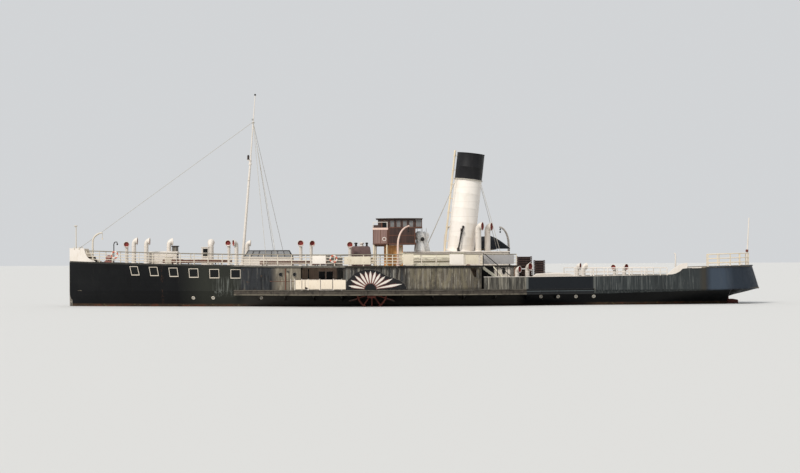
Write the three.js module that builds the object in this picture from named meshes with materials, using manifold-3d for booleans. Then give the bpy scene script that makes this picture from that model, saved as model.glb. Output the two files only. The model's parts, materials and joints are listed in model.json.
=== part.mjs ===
// A side-wheel paddle ferry of the 1930s as a half-size scale model.
// Sizes below are the real ship's, in metres: +X towards the stern, +Y to starboard, +Z up.
// The origin is amidships on the centreline, at the waterline.

import * as THREE from 'three';
import { mergeVertices } from 'three/addons/utils/BufferGeometryUtils.js';
import Module from 'manifold-3d';

const wasm = await Module();
wasm.setup();

// Driving dimensions
const modelRatio = 2; // the real ship is this many times larger
const unit = 1000 / modelRatio; // model millimetres for each real metre
const gap = 0.0008; // left between touching pieces, 0.4 mm on the model

const bowX = -31.85;
const keelBottom = -1.47;
const bodyBottom = -1.35;
const mainDeckUnder = 1.42;
const mainDeckTop = 1.5;
const promenadeTop = 3.6; // amidships; it rises towards the bow
const promenadeThickness = 0.1;
const bowSheer = 0.57;
const sheerStartX = -4;
const sideThickness = 0.08;
const houseHalf = 4.85; // half breadth of the main deckhouse
const houseEndX = 9.3;
const hullSidesEndX = -15.5;
const wideDeckEndX = 6.1;

const wheelX = -3.8;
const wheelZ = 1.15;
const floatCircle = 1.9; // reach of the arms
const wheelInner = 5.35;
const wheelOuter = 7.75;
const floatCount = 8;
const shaftRadius = 0.12;

const funnelRadius = 1.275;
const funnelFoot = new THREE.Vector3(4.33, 0, 4.92);
const funnelHead = new THREE.Vector3(5.34, 0, 13.96);
const casingTop = 4.9;
const bridgeTop = 5.6;
const wheelhouseTop = 7.88;
const poopX = 25.1;

const paints = {
  black: new THREE.MeshStandardMaterial({ color: 0x24262b, roughness: 0.5, metalness: 0.1 }),
  white: new THREE.MeshStandardMaterial({ color: 0xdcdad2, roughness: 0.5, metalness: 0.1 }),
  grey: new THREE.MeshStandardMaterial({ color: 0x77787a, roughness: 0.6, metalness: 0.1 }),
  planks: new THREE.MeshStandardMaterial({ color: 0x8a7d68, roughness: 0.8, metalness: 0 }),
  varnish: new THREE.MeshStandardMaterial({ color: 0x6b3a1e, roughness: 0.5, metalness: 0 }),
  darkWood: new THREE.MeshStandardMaterial({ color: 0x33211a, roughness: 0.6, metalness: 0 }),
  rust: new THREE.MeshStandardMaterial({ color: 0x6b2f22, roughness: 0.8, metalness: 0.3 }),
  iron: new THREE.MeshStandardMaterial({ color: 0x3a3a3c, roughness: 0.6, metalness: 0.6 }),
  wire: new THREE.MeshStandardMaterial({ color: 0x55524c, roughness: 0.5, metalness: 0.7 }),
};

// Interpolation in a table whose first column rises
function lookUp(table, x, column) {
  if (x <= table[0][0]) return table[0][column];
  for (let row = 1; row < table.length; row++) {
    const [before, after] = [table[row - 1], table[row]];
    if (x <= after[0]) {
      const share = (x - before[0]) / (after[0] - before[0]);
      return before[column] + share * (after[column] - before[column]);
    }
  }
  return table[table.length - 1][column];
}

// Body stations. Columns: x, bottom z, fullness of the section, half breadth at the main deck
const bodyStations = [
  [bowX, -0.9, 1.0, 0.09],
  [-31.2, -1.3, 1.0, 0.36],
  [-29.5, bodyBottom, 1.2, 1.25],
  [-27, bodyBottom, 1.5, 2.35],
  [-24, bodyBottom, 2.1, 3.45],
  [-20, bodyBottom, 3.2, 4.42],
  [-16, bodyBottom, 5.0, 4.93],
  [-10, bodyBottom, 9.0, 5.05],
  [12, bodyBottom, 9.0, 5.05],
  [16, bodyBottom, 5.0, 5.01],
  [20, bodyBottom, 2.6, 4.85],
  [25.1, bodyBottom, 1.1, 4.39],
  [28, bodyBottom, 0.6, 3.8],
  [28.75, bodyBottom, 0.5, 3.52],
  [28.9, 0.6, 0.9, 3.46],
  [29.6, 0.82, 0.9, 3.2],
  [30.7, 1.08, 1.0, 2.45],
  [31.4, 1.26, 1.0, 1.6],
  [31.8, 1.36, 1.0, 0.75],
  [31.92, 1.39, 1.0, 0.12],
];

// Side of the ship at the promenade deck. Columns: x, half breadth
const upperSide = [
  [bowX, 0.11], [-31.2, 0.62], [-29.5, 1.7], [-27, 2.9], [-24, 3.9],
  [-20, 4.65], [-16, 5.0], [-10, 5.05], [12, 5.05], [20, 4.8], [poopX, 4.28],
];

// Edge of the sponsons. Columns: x, half breadth
const sponsonEdge = [
  [-16.4, 4.96], [-13, 6.4], [-9.5, 8.0], [-6.3, 8.7], [4, 8.7],
  [8, 7.9], [11.5, 6.6], [14, 5.6], [16.3, 5.02],
];

// Stern. Columns: x and half breadth at the main deck, x and half breadth at the poop
const sternOutline = [
  [25.1, 4.39, 25.1, 4.28],
  [28.0, 3.8, 27.6, 3.7],
  [29.6, 3.2, 29.1, 3.0],
  [30.7, 2.45, 30.1, 2.2],
  [31.4, 1.6, 30.7, 1.4],
  [31.8, 0.75, 31.0, 0.65],
];

// Sheer of the promenade deck, straight between these stations
const sheerStations = [bowX, -28, -24, -20, -16, -12, -8, sheerStartX, houseEndX].map((x) => {
  const share = Math.max(0, (sheerStartX - x) / (sheerStartX - bowX));
  return [x, promenadeTop + bowSheer * share * share];
});

const promenadeAt = (x) => lookUp(sheerStations, x, 1);
const mainHalf = (x) => lookUp(bodyStations, x, 3);
const upperHalf = (x) => lookUp(upperSide, x, 1);
const edgeHalf = (x) => Math.max(lookUp(sponsonEdge, x, 1), x > 16.3 || x < -16.4 ? 0 : mainHalf(x));

// Solids
function solidOf(geometry) {
  geometry.deleteAttribute('normal');
  geometry.deleteAttribute('uv');
  geometry.scale(unit, unit, unit);
  const merged = mergeVertices(geometry, 0.001);
  const corners = merged.index.array;
  const kept = [];
  for (let i = 0; i < corners.length; i += 3) {
    const [a, b, c] = corners.slice(i, i + 3);
    if (a !== b && b !== c && a !== c) kept.push(a, b, c);
  }
  const mesh = new wasm.Mesh({
    numProp: 3,
    vertProperties: new Float32Array(merged.attributes.position.array),
    triVerts: new Uint32Array(kept),
  });
  return new wasm.Manifold(mesh);
}

const join = (...solids) => solids.flat().reduce((sum, next) => sum.add(next));
const cut = (solid, ...tools) => tools.flat().reduce((rest, tool) => rest.subtract(tool), solid);

function box(x0, x1, y0, y1, z0, z1) {
  const shape = new THREE.BoxGeometry(x1 - x0, y1 - y0, z1 - z0);
  shape.translate((x0 + x1) / 2, (y0 + y1) / 2, (z0 + z1) / 2);
  return solidOf(shape);
}

// A round bar between two points, tapered if the second radius differs
function bar(from, to, radius, sides = 8, endRadius = radius) {
  const start = new THREE.Vector3(...from);
  const run = new THREE.Vector3(...to).sub(start);
  const shape = new THREE.CylinderGeometry(endRadius, radius, run.length(), sides);
  shape.translate(0, run.length() / 2, 0);
  shape.applyQuaternion(new THREE.Quaternion().setFromUnitVectors(
    new THREE.Vector3(0, 1, 0), run.clone().normalize()));
  shape.translate(...start.toArray());
  return solidOf(shape);
}

// A solid of revolution about the line from a foot towards a head; profile is [radius, height]
function turned(profile, foot, head, sides = 16) {
  const shape = new THREE.LatheGeometry(profile.map(([r, h]) => new THREE.Vector2(r, h)), sides);
  const along = new THREE.Vector3().subVectors(head, foot).normalize();
  shape.applyQuaternion(new THREE.Quaternion().setFromUnitVectors(new THREE.Vector3(0, 1, 0), along));
  shape.translate(...foot.toArray());
  return outward(shape);
}

// An outline in plan, [x, y], raised from one height to another
function slab(outline, z0, z1) {
  const shape = new THREE.Shape(outline.map(([x, y]) => new THREE.Vector2(x, y)));
  const raised = new THREE.ExtrudeGeometry(shape, { depth: z1 - z0, bevelEnabled: false });
  raised.translate(0, 0, z0);
  return solidOf(raised);
}

// An outline in side view, [x, z], carried across from one y to another
function profileSlab(outline, y0, y1) {
  const shape = new THREE.Shape(outline.map(([x, z]) => new THREE.Vector2(x, z)));
  const raised = new THREE.ExtrudeGeometry(shape, { depth: y1 - y0, bevelEnabled: false });
  raised.rotateX(Math.PI / 2);
  raised.translate(0, y1, 0);
  return solidOf(raised);
}

// Turns a closed geometry inside out where its faces point inwards
function outward(geometry) {
  const place = geometry.attributes.position;
  const corners = [...geometry.index.array];
  const [a, b, c] = [new THREE.Vector3(), new THREE.Vector3(), new THREE.Vector3()];
  let volume = 0;
  for (let i = 0; i < corners.length; i += 3) {
    a.fromBufferAttribute(place, corners[i]);
    b.fromBufferAttribute(place, corners[i + 1]);
    c.fromBufferAttribute(place, corners[i + 2]);
    volume += a.dot(b.cross(c));
  }
  geometry.setIndex(volume < 0 ? corners.reverse() : corners);
  return solidOf(geometry);
}

// A skin over sections with equal numbers of points, [x, y, z], closed by flat ends
function loft(sections) {
  const count = sections[0].length;
  const corners = [];
  for (let s = 0; s < sections.length - 1; s++) {
    for (let i = 0; i < count; i++) {
      const a = s * count + i;
      const b = s * count + ((i + 1) % count);
      corners.push(a, b, b + count, a, b + count, a + count);
    }
  }
  for (const [start, reverse] of [[0, true], [(sections.length - 1) * count, false]]) {
    for (let i = 1; i < count - 1; i++) {
      const fan = [start, start + i, start + i + 1];
      corners.push(...(reverse ? fan.reverse() : fan));
    }
  }
  const geometry = new THREE.BufferGeometry();
  geometry.setAttribute('position', new THREE.Float32BufferAttribute(sections.flat(2), 3));
  geometry.setIndex(corners);
  return outward(geometry);
}

// A wall along a run of stations, each with an outer foot, an outer head and a thickness inwards
function wall(stations, thickness) {
  const inwards = stations.map((station, i) => {
    const before = stations[Math.max(0, i - 1)].foot;
    const after = stations[Math.min(stations.length - 1, i + 1)].foot;
    const run = new THREE.Vector2(after[0] - before[0], after[1] - before[1]).normalize();
    return [run.y * thickness, -run.x * thickness];
  });
  return loft(stations.map(({ foot, head }, i) => {
    const [dx, dy] = inwards[i];
    return [foot, head, [head[0] + dx, head[1] + dy, head[2]], [foot[0] + dx, foot[1] + dy, foot[2]]];
  }));
}

// A square bar along a line of points, at a height above them, mitred at the corners
function rail(line, height, half) {
  return loft(line.map(([x, y, z], i) => {
    const before = line[Math.max(0, i - 1)];
    const after = line[Math.min(line.length - 1, i + 1)];
    const arriving = new THREE.Vector2(x - before[0], y - before[1]).normalize();
    const leaving = new THREE.Vector2(after[0] - x, after[1] - y).normalize();
    const along = arriving.clone().add(leaving).normalize();
    const widen = half / Math.max(0.7, along.dot(i === 0 ? leaving : arriving));
    const [nx, ny] = [-along.y * widen, along.x * widen];
    const [low, high] = [z + height - half, z + height + half];
    return [[x - nx, y - ny, low], [x + nx, y + ny, low], [x + nx, y + ny, high], [x - nx, y - ny, high]];
  }));
}

function mirrored(solid) {
  const mesh = solid.getMesh();
  const across = Float32Array.from(mesh.vertProperties, (value, i) => (i % 3 === 1 ? -value : value));
  return new wasm.Manifold(new wasm.Mesh({
    numProp: 3, vertProperties: across, triVerts: Uint32Array.from(mesh.triVerts).reverse(),
  }));
}

const ship = new THREE.Group();

function piece(name, solid, material) {
  const mesh = solid.getMesh();
  const geometry = new THREE.BufferGeometry();
  geometry.setAttribute('position', new THREE.Float32BufferAttribute(mesh.vertProperties, 3));
  geometry.setIndex([...mesh.triVerts]);
  geometry.computeVertexNormals();
  const made = new THREE.Mesh(geometry, material);
  made.name = name;
  ship.add(made);
}

// The starboard solid is given; the port one is its mirror image
function pair(name, solid, material) {
  piece(`starboard_${name}`, solid, material);
  piece(`port_${name}`, mirrored(solid), material);
}

// Cutters that follow the sheer: what lies below the promenade deck's top, and above its underside
const far = 12;
const underPromenade = profileSlab([
  [-40, -5], [40, -5], [40, promenadeTop + gap],
  ...[...sheerStations].reverse().map(([x, z]) => [x, z + gap]), [-40, promenadeAt(bowX) + gap],
], -far, far);
const overPromenade = profileSlab([
  [-40, 40], [-40, promenadeAt(bowX) - promenadeThickness - gap],
  ...sheerStations.map(([x, z]) => [x, z - promenadeThickness - gap]),
  [40, promenadeTop - promenadeThickness - gap], [40, 40],
].reverse(), -far, far);

const onPromenade = (solid) => solid.subtract(underPromenade);
const belowPromenade = (solid) => solid.subtract(overPromenade);

// Hull below the main deck
function makeHull() {
  const heights = [0, 0.03, 0.08, 0.17, 0.32, 0.55, 0.78, 1];
  const sections = bodyStations.map(([x, bottom, fullness, half]) => {
    const side = heights.map((share) => [
      half * Math.pow(Math.max(share, 0.004), 1 / fullness), bottom + share * (mainDeckUnder - bottom),
    ]);
    return [
      ...side.map(([y, z]) => [x, y, z]),
      ...[...side].reverse().map(([y, z]) => [x, -y, z]),
    ];
  });
  const keel = box(-31, 28.8, -0.09, 0.09, keelBottom, bodyBottom + 0.1);
  const heel = box(28.7, 30.1, -0.09, 0.09, keelBottom, bodyBottom - 0.02);
  const knees = [-14, -11.6, -9, -6.5, -1.1, 1.6, 4.4, 7.2, 10, 12.6].flatMap((x) => {
    const reach = edgeHalf(x) - 0.35;
    const knee = loft([x - 0.06, x + 0.06].map((at) => [
      [at, 4.4, 0.45], [at, reach, 1.0 - gap - 0.06], [at, reach, 1.0 - gap], [at, 4.4, 1.0 - gap],
    ]));
    return [knee, mirrored(knee)];
  });
  const body = join(loft(sections), keel, heel, knees);
  const machinerySpace = box(-8, 8.6, -3.7, 3.7, -0.95, mainDeckUnder + 1);
  const shaftWay = bar([wheelX, -9, wheelZ], [wheelX, 9, wheelZ], shaftRadius + 0.05, 16);
  const rudderTrunk = bar([29.02, 0, 0], [29.02, 0, 1.2], 0.14, 16);
  return cut(body, machinerySpace, shaftWay, rudderTrunk);
}
piece('hull', makeHull(), paints.black);

piece('engine_block', cut(
  box(-6.6, -1.2, -2.3, 2.3, -0.95 + gap, 1.36),
  box(wheelX - 0.3, wheelX + 0.3, -3, 3, wheelZ - 0.3, 2),
), paints.iron);
piece('boiler_block', box(1.2, 7.6, -1.9, 1.9, -0.95 + gap, 1.36), paints.iron);

// A cowl ventilator: a stock, and a hollow bell with a rounded back that faces one way in plan
function cowl({ x, y, foot, head, radius, mouth, facing }) {
  const stock = bar([x, y, foot], [x, y, head], radius, 8);
  const bell = turned([
    [0, -radius], [radius * 0.85, -radius * 0.6], [radius * 1.1, 0], [mouth, mouth * 1.2],
    [mouth - 0.05, mouth * 1.2], [radius * 0.7, 0.08], [0, 0.08],
  ], new THREE.Vector3(x, y, head), new THREE.Vector3(x + Math.cos(facing), y + Math.sin(facing), head), 10);
  return join(stock, bell);
}

// Ways a cowl faces in plan
const astern = 0;
const ahead = Math.PI;
const toPort = -Math.PI / 2;
const toStarboard = Math.PI / 2;

// Ventilators on the after main deck. Columns: x, y, top of the stock, radius, mouth radius, facing
const mainDeckVents = [
  [10.3, -2.9, 3.38, 0.17, 0.32, astern - 0.7],
  [15.05, -1.2, 3.4, 0.15, 0.27, astern],
  [15.6, 1.2, 3.4, 0.15, 0.27, ahead],
  [18.3, -2.4, 3.32, 0.14, 0.25, toPort - 0.6],
  [19.2, -2.2, 3.32, 0.17, 0.28, toPort + 0.7],
];

function makeMainDeck() {
  const stations = bodyStations.map(([x]) => x).filter((x) => x < 25);
  const side = [
    ...stations.map((x) => [x, mainHalf(x)]), ...sternOutline.map(([x, y]) => [x, y]),
  ];
  const outline = [...side, ...[...side].reverse().map(([x, y]) => [x, -y])];
  const deck = slab(outline, mainDeckUnder + gap, mainDeckTop);
  const vents = mainDeckVents.map(([x, y, head, radius, mouth, facing]) => cowl({
    x, y, foot: mainDeckTop - 0.04, head, radius, mouth, facing,
  }));
  const hatch = box(12.4, 14.2, -1, 1, mainDeckTop - 0.04, 2.1);
  const capstan = turned([[0, 0], [0.32, 0], [0.22, 0.25], [0.2, 0.6], [0.3, 0.75], [0, 0.8]],
    new THREE.Vector3(22.6, 0, mainDeckTop - 0.04), new THREE.Vector3(22.6, 0, 3), 12);
  return join(deck, vents, hatch, capstan);
}
piece('main_deck', makeMainDeck(), paints.planks);

// Sponsons: the outboard decks that carry the wheels
const slotStart = wheelX - 2.35;
const slotEnd = wheelX + 2.35;

function makeSponson() {
  const stations = sponsonEdge.map(([x]) => x);
  const inner = [-16.3, -16, -10, 12, 16, 16.2].map((x) => [x, mainHalf(x) + gap * 2]);
  const outer = stations.map((x) => [x, edgeHalf(x)]).slice(1, -1).reverse();
  const deck = slab([...inner, ...outer], 1.32, mainDeckTop);
  const rim = stations.slice(1, -1).map((x) => [x, edgeHalf(x)]);
  const start = [-16.3, mainHalf(-16.3) + 0.05];
  const end = [16.2, mainHalf(16.2) + 0.05];
  const outside = [start, ...rim, end];
  const inside = [...outside].reverse().map(([x, y]) => [x, Math.max(y - 0.26, mainHalf(x) + 0.002)]);
  const fender = slab([...outside, ...inside.slice(1, -1)], 1.0, mainDeckTop);
  const bearing = box(wheelX - 0.4, wheelX + 0.4, 8.02, 8.5, 0.8, 1.4);
  const slot = box(slotStart, slotEnd, 5.2, 8.02, 0.5, 2);
  const holeRadius = (shaftRadius + gap) / Math.cos(Math.PI / 24);
  const hole = bar([wheelX, 7.9, wheelZ], [wheelX, 8.35, wheelZ], holeRadius, 24);
  return cut(join(deck, fender, bearing), slot, hole);
}
const sponson = makeSponson();
const sponsonVent = {
  x: 9.2, y: -5.45, foot: mainDeckTop - 0.04, head: 3.17, radius: 0.15, mouth: 0.28, facing: astern,
};
piece('starboard_sponson', sponson, paints.black);
piece('port_sponson', join(mirrored(sponson), cowl(sponsonVent)), paints.black);

// Forward sides of the ship, up to the promenade deck, with the saloon windows cut
const sideAt = (x, z) => {
  const share = (z - mainDeckTop) / (promenadeAt(x) - mainDeckTop);
  return mainHalf(x) + share * (upperHalf(x) - mainHalf(x));
};
const saloonWindows = [-25.64, -23.93, -22.16, -20.35, -18.48, -16.55];
const windowWidth = 0.76;
const windowHeight = 0.66;

function windowDrop(x) {
  return promenadeAt(x) - 0.47 - windowHeight;
}

function makeForwardSides() {
  const stations = [bowX, -31.2, -29.5, -28, -27, -24, -20, -16, hullSidesEndX];
  const side = wall(stations.map((x) => {
    const top = promenadeAt(x) - promenadeThickness + 0.04;
    return { foot: [x, sideAt(x, mainDeckTop), mainDeckTop + gap], head: [x, sideAt(x, top), top] };
  }), sideThickness);
  const stem = box(bowX - 0.04, -31.2, -0.1, 0.1, mainDeckTop + gap, 4.3);
  const openings = saloonWindows.map((x) => box(
    x - windowWidth / 2, x + windowWidth / 2, 1.5, 6, windowDrop(x), windowDrop(x) + windowHeight,
  ));
  const starboard = cut(side, openings);
  return belowPromenade(join(starboard, mirrored(starboard), stem));
}
piece('forward_hull_sides', makeForwardSides(), paints.black);

// Main deckhouse between the sponsons
function makeMainDeckhouse() {
  const tall = promenadeTop + 1;
  const outside = box(-15.4, houseEndX, -houseHalf, houseHalf, mainDeckTop + gap, tall);
  const inside = box(-15.3, houseEndX - 0.1, 0.1 - houseHalf, houseHalf - 0.1, 0, tall + 1);
  const doors = [-9.6, 7.4].map((x) => box(x, x + 0.9, -6, 6, 0, 3.35));
  const windows = [-8.2, -7.5].map((x) => box(x, x + 0.5, -6, 6, 2.45, 3.1));
  const afterDoor = box(houseEndX - 1, houseEndX + 1, -0.5, 0.5, 0, 3.3);
  return belowPromenade(cut(outside, inside, doors, windows, afterDoor));
}
piece('main_deckhouse', makeMainDeckhouse(), paints.varnish);

// Walls along the sponson's edge
const edgeInset = 0.1;

function edgeWall(from, to, top) {
  const between = sponsonEdge.map(([x]) => x).filter((x) => x > from && x < to);
  return wall([from, ...between, to].map((x) => {
    const y = edgeHalf(x) - edgeInset;
    return { foot: [x, y, mainDeckTop + gap], head: [x, y, top] };
  }), sideThickness);
}

function crossWall(x, top) {
  return box(x, x + 0.08, houseHalf + gap, edgeHalf(x) - edgeInset - 0.01, mainDeckTop + gap, top);
}

const wallTop = promenadeTop + 1;
const gangwayStart = -10.1;
const gangwayEnd = -6.4;

pair('forward_house', belowPromenade(join(
  edgeWall(-15.6, gangwayStart, wallTop), crossWall(gangwayStart - 0.08, wallTop),
)), paints.grey);

// Fan on the paddle box: a hub and rays, longer towards the stern
const fan = { x: wheelX - 0.1, hub: 0.52, rays: 11, foot: 1.56, firstTurn: 9.5, step: 16.1, reach: 1.63 };

function fanReach(angle) {
  const level = Math.cos(angle);
  return fan.reach + (level > 0 ? 1.35 * level ** 9 : 0.34 * level ** 2);
}

function makeFan(y) {
  const rays = [];
  for (let i = 0; i < fan.rays; i++) {
    const angle = THREE.MathUtils.degToRad(fan.firstTurn + fan.step * i);
    const [cx, cz] = [Math.cos(angle), Math.sin(angle)];
    const reach = fanReach(angle);
    const [widest, half] = [0.3 + reach * 0.55, 0.1];
    rays.push(profileSlab([
      [fan.x + cx * 0.4, fan.foot + cz * 0.4],
      [fan.x + cx * widest + cz * half, fan.foot + cz * widest - cx * half],
      [fan.x + cx * reach, fan.foot + cz * reach],
      [fan.x + cx * widest - cz * half, fan.foot + cz * widest + cx * half],
    ], y - 0.03, y + 0.04));
  }
  const arc = [];
  for (let i = 0; i <= 12; i++) {
    const angle = (Math.PI * i) / 12;
    arc.push([fan.x + Math.cos(angle) * fan.hub, fan.foot + Math.sin(angle) * fan.hub]);
  }
  return join(profileSlab(arc, y - 0.03, y + 0.06), rays);
}

const boxEndX = -0.85;
function makePaddleBox() {
  const face = 8.7 - edgeInset;
  return belowPromenade(join(
    edgeWall(-6.3, boxEndX, wallTop), makeFan(face), crossWall(-6.3, wallTop), crossWall(-1.43, wallTop),
  ));
}
pair('paddle_box', makePaddleBox(), paints.grey);

pair('after_house', belowPromenade(cut(
  join(edgeWall(boxEndX + gap, 5.9, wallTop), crossWall(5.82, wallTop)),
  box(5.5, 6.2, 5.6, 6.5, 0, 3.3),
)), paints.grey);

// Gangway: posts, rails and canvas panels at the sponson's edge, with a hinged gate
const gangwaySlope = Math.atan2(edgeHalf(gangwayEnd) - edgeHalf(-9.5), gangwayEnd + 9.5);
const gangwaySill = 1.53;
const gatePost = -8.32;
const gateWidth = 1.02;
const gangwayY = (x) => edgeHalf(x) - 0.16;

function makeGangwayRail() {
  const posts = [-10, -9.42, gatePost - 0.06, -7.16, -6.42];
  const parts = posts.map((x) => box(x - 0.04, x + 0.04, gangwayY(x) - 0.04, gangwayY(x) + 0.04,
    mainDeckTop + gap, 2.5));
  const panels = [[posts[0], posts[1]], [posts[1], posts[2]], [posts[3], posts[4]]];
  for (const [a, b] of panels) {
    parts.push(loft([a, b].map((x) => [
      [x, gangwayY(x) - 0.015, 1.56], [x, gangwayY(x) + 0.015, 1.56],
      [x, gangwayY(x) + 0.015, 2.4], [x, gangwayY(x) - 0.015, 2.4],
    ])));
  }
  parts.push(loft([posts[2], posts[3]].map((x) => [
    [x, gangwayY(x) - 0.03, mainDeckTop + gap], [x, gangwayY(x) + 0.03, mainDeckTop + gap],
    [x, gangwayY(x) + 0.03, gangwaySill], [x, gangwayY(x) - 0.03, gangwaySill],
  ])));
  return join(parts);
}
pair('gangway_rail', makeGangwayRail(), paints.white);

function makeGate() {
  const hingeX = gatePost + 0.04;
  const start = hingeX + 0.005;
  const end = start + gateWidth;
  const y = (x) => gangwayY(gatePost) + (x - gatePost) * Math.tan(gangwaySlope);
  const panel = loft([start, end].map((x) => [
    [x, y(x) - 0.02, 1.56], [x, y(x) + 0.02, 1.56], [x, y(x) + 0.02, 2.4], [x, y(x) - 0.02, 2.4],
  ]));
  const pin = bar([hingeX, y(hingeX), gangwaySill + gap], [hingeX, y(hingeX), 2.44], 0.02, 8);
  return join(panel, pin);
}
pair('gangway_gate', makeGate(), paints.white);

// Bulwarks from the after houses to the poop
pair('after_bulwark', wall([wideDeckEndX, 8, 11.5, 14, 16.2, 20, poopX - 0.06].map((x) => {
  const y = (x < 16.2 ? edgeHalf(x) : mainHalf(x)) - 0.03;
  return { foot: [x, y, mainDeckTop + gap], head: [x, y - (x > 16 ? 0.03 : 0), 2.7] };
}), sideThickness), paints.black);

// Stern above the main deck, and the poop deck on it
const poopTop = (x) => 3.36 + ((x - poopX) / 6) * 0.17;
const poopThickness = 0.12;

const overPoop = profileSlab([
  [24, poopTop(24) - poopThickness - gap], [33, poopTop(33) - poopThickness - gap], [33, 9], [24, 9],
], -far, far);
const underPoop = profileSlab([
  [24, 2], [33, 2], [33, poopTop(33) + gap], [24, poopTop(24) + gap],
], -far, far);

function makeSternSides() {
  const run = [
    ...sternOutline.map(([fx, fy, hx, hy]) => [fx, fy, hx, hy]),
    [31.92, 0, 31.1, 0],
    ...[...sternOutline].reverse().map(([fx, fy, hx, hy]) => [fx, -fy, hx, -hy]),
  ];
  const sides = wall(run.map(([fx, fy, hx, hy]) => ({
    foot: [fx - 0.01, fy, mainDeckTop + gap], head: [hx, hy, poopTop(hx) - poopThickness],
  })), sideThickness);
  const front = cut(
    box(poopX, poopX + 0.1, -4.25, 4.25, mainDeckTop + gap, poopTop(poopX)),
    box(poopX - 1, poopX + 1, 0.9, 1.7, 0, 3.0),
  );
  return join(sides, front).subtract(overPoop);
}
piece('stern_sides', makeSternSides(), paints.grey);

function makePoopDeck() {
  const side = [[poopX - 0.05, 4.3], ...sternOutline.slice(1).map((row) => [row[2] + 0.04, row[3] + 0.03])];
  const plan = slab([...side, ...[...side].reverse().map(([x, y]) => [x, -y])], 2, 5);
  const edge = profileSlab([
    [poopX - 1, poopTop(poopX - 1) - poopThickness], [33, poopTop(33) - poopThickness],
    [33, poopTop(33)], [poopX - 1, poopTop(poopX - 1)],
  ], -far, far);
  const bitts = [-2.6, 2.6].flatMap((y) => [27.6, 28.2].map((x) => bar([x, y, 3.4], [x, y, 3.85], 0.12, 10)));
  return join(plan.intersect(edge), bitts);
}
piece('poop_deck', makePoopDeck(), paints.planks);

// Promenade deck with its ventilators, small houses and benches
// Columns: x, y, top of the stock, radius, mouth radius, facing
const promenadeVents = [
  [-26.6, 1.3, 5.68, 0.13, 0.26, toPort],
  [-25.8, -0.9, 5.9, 0.17, 0.3, astern],
  [-24.6, -1.35, 5.86, 0.17, 0.3, astern],
  [-22.85, 1.35, 5.84, 0.16, 0.3, toStarboard],
  [-18.9, 0.9, 5.8, 0.16, 0.3, toStarboard],
  [-17.25, 1.4, 5.7, 0.14, 0.28, toPort - 0.25],
  [-16.3, -1.5, 5.68, 0.16, 0.29, ahead],
  [-15.6, 2.2, 5.7, 0.16, 0.29, astern],
  [-10.38, -1.8, 5.63, 0.15, 0.28, toPort],
  [-9.6, 1.8, 5.63, 0.14, 0.28, toPort + 0.5],
  [-5.86, -2.2, 5.48, 0.15, 0.27, toPort],
];

function makePromenadeDeck() {
  const forward = upperSide.filter(([x]) => x < -16.1).map(([x, y]) => [x, y + 0.01]);
  const wide = sponsonEdge.filter(([x]) => x > -16 && x < wideDeckEndX).map(([x, y]) => [x, y + 0.02]);
  const side = [
    ...forward, [-16.4, 5.02], ...wide, [wideDeckEndX, edgeHalf(wideDeckEndX) + 0.02],
    [wideDeckEndX, 5.12], [houseEndX, 5.12],
  ];
  const plan = slab([...side, ...[...side].reverse().map(([x, y]) => [x, -y])], 2, 6);
  const layer = profileSlab([
    ...sheerStations.map(([x, z]) => [x, z - promenadeThickness]),
    ...[...sheerStations].reverse().map(([x, z]) => [x, z]),
  ], -far, far);
  const sink = 0.06;
  const vents = promenadeVents.map(([x, y, head, radius, mouth, facing]) => cowl({
    x, y, foot: promenadeAt(x) - sink, head, radius, mouth, facing,
  }));
  const smallHouse = box(-19.6, -18.95, -1.2, -0.5, promenadeAt(-19.3) - sink, 5.35);
  const windlass = box(-28.6, -27.9, -0.6, 0.6, promenadeAt(-28.2) - sink, 4.75);
  const locker = box(-22.7, -22.0, -3.2, -2.6, promenadeAt(-22) - sink, 4.5);
  const stoveHouse = box(-5.95, -3.95, -1.6, 1.6, promenadeTop - sink, 5.3);
  const benchInset = 1.1;
  const benches = [[-13.9, -9.3], [-9.1, -6.8]].map(([x0, x1]) => {
    const z = promenadeAt(x0);
    const [y0, y1] = [x0, x1].map((x) => edgeHalf(x) - benchInset);
    const feet = [x0 + 0.2, x1 - 0.3].map((x) => {
      const y = y0 + ((x - x0) / (x1 - x0)) * (y1 - y0);
      return box(x, x + 0.1, y - 0.2, y + 0.2, promenadeAt(x) - sink, z + 0.36);
    });
    return join(loft([[x0, y0], [x1, y1]].map(([x, y]) => [
      [x, y - 0.25, z + 0.32], [x, y + 0.25, z + 0.32], [x, y + 0.25, z + 0.4], [x, y - 0.25, z + 0.4],
    ])), feet);
  }).flatMap((bench) => [bench, mirrored(bench)]);
  const emptySocket = box(4.6, 4.9, -8.15, -7.85, promenadeTop - sink, 4.5);
  return join(plan.intersect(layer), vents, emptySocket, smallHouse, windlass, locker, stoveHouse, benches);
}
piece('promenade_deck', makePromenadeDeck(), paints.planks);

// Bow bulwark and jackstaff
function makeBowBulwark() {
  const stations = [bowX, -31.2, -30.3];
  const side = wall(stations.map((x) => {
    const foot = promenadeAt(x) + gap;
    const head = 5.5 - (x - bowX) * 0.1;
    return { foot: [x, sideAt(x, foot) - 0.005, foot], head: [x, sideAt(x, head), head] };
  }), 0.06);
  const stem = box(bowX, -31.35, -0.1, 0.1, promenadeAt(bowX) + gap, 5.5);
  const staff = bar([-31.45, 0, 5.4], [-31.45, 0, 7.5], 0.05, 8, 0.03);
  return join(side, mirrored(side), onPromenade(stem), staff);
}
piece('bow_bulwark', makeBowBulwark(), paints.white);

// Rails along the promenade deck
const railHeight = 1.02;

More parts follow.
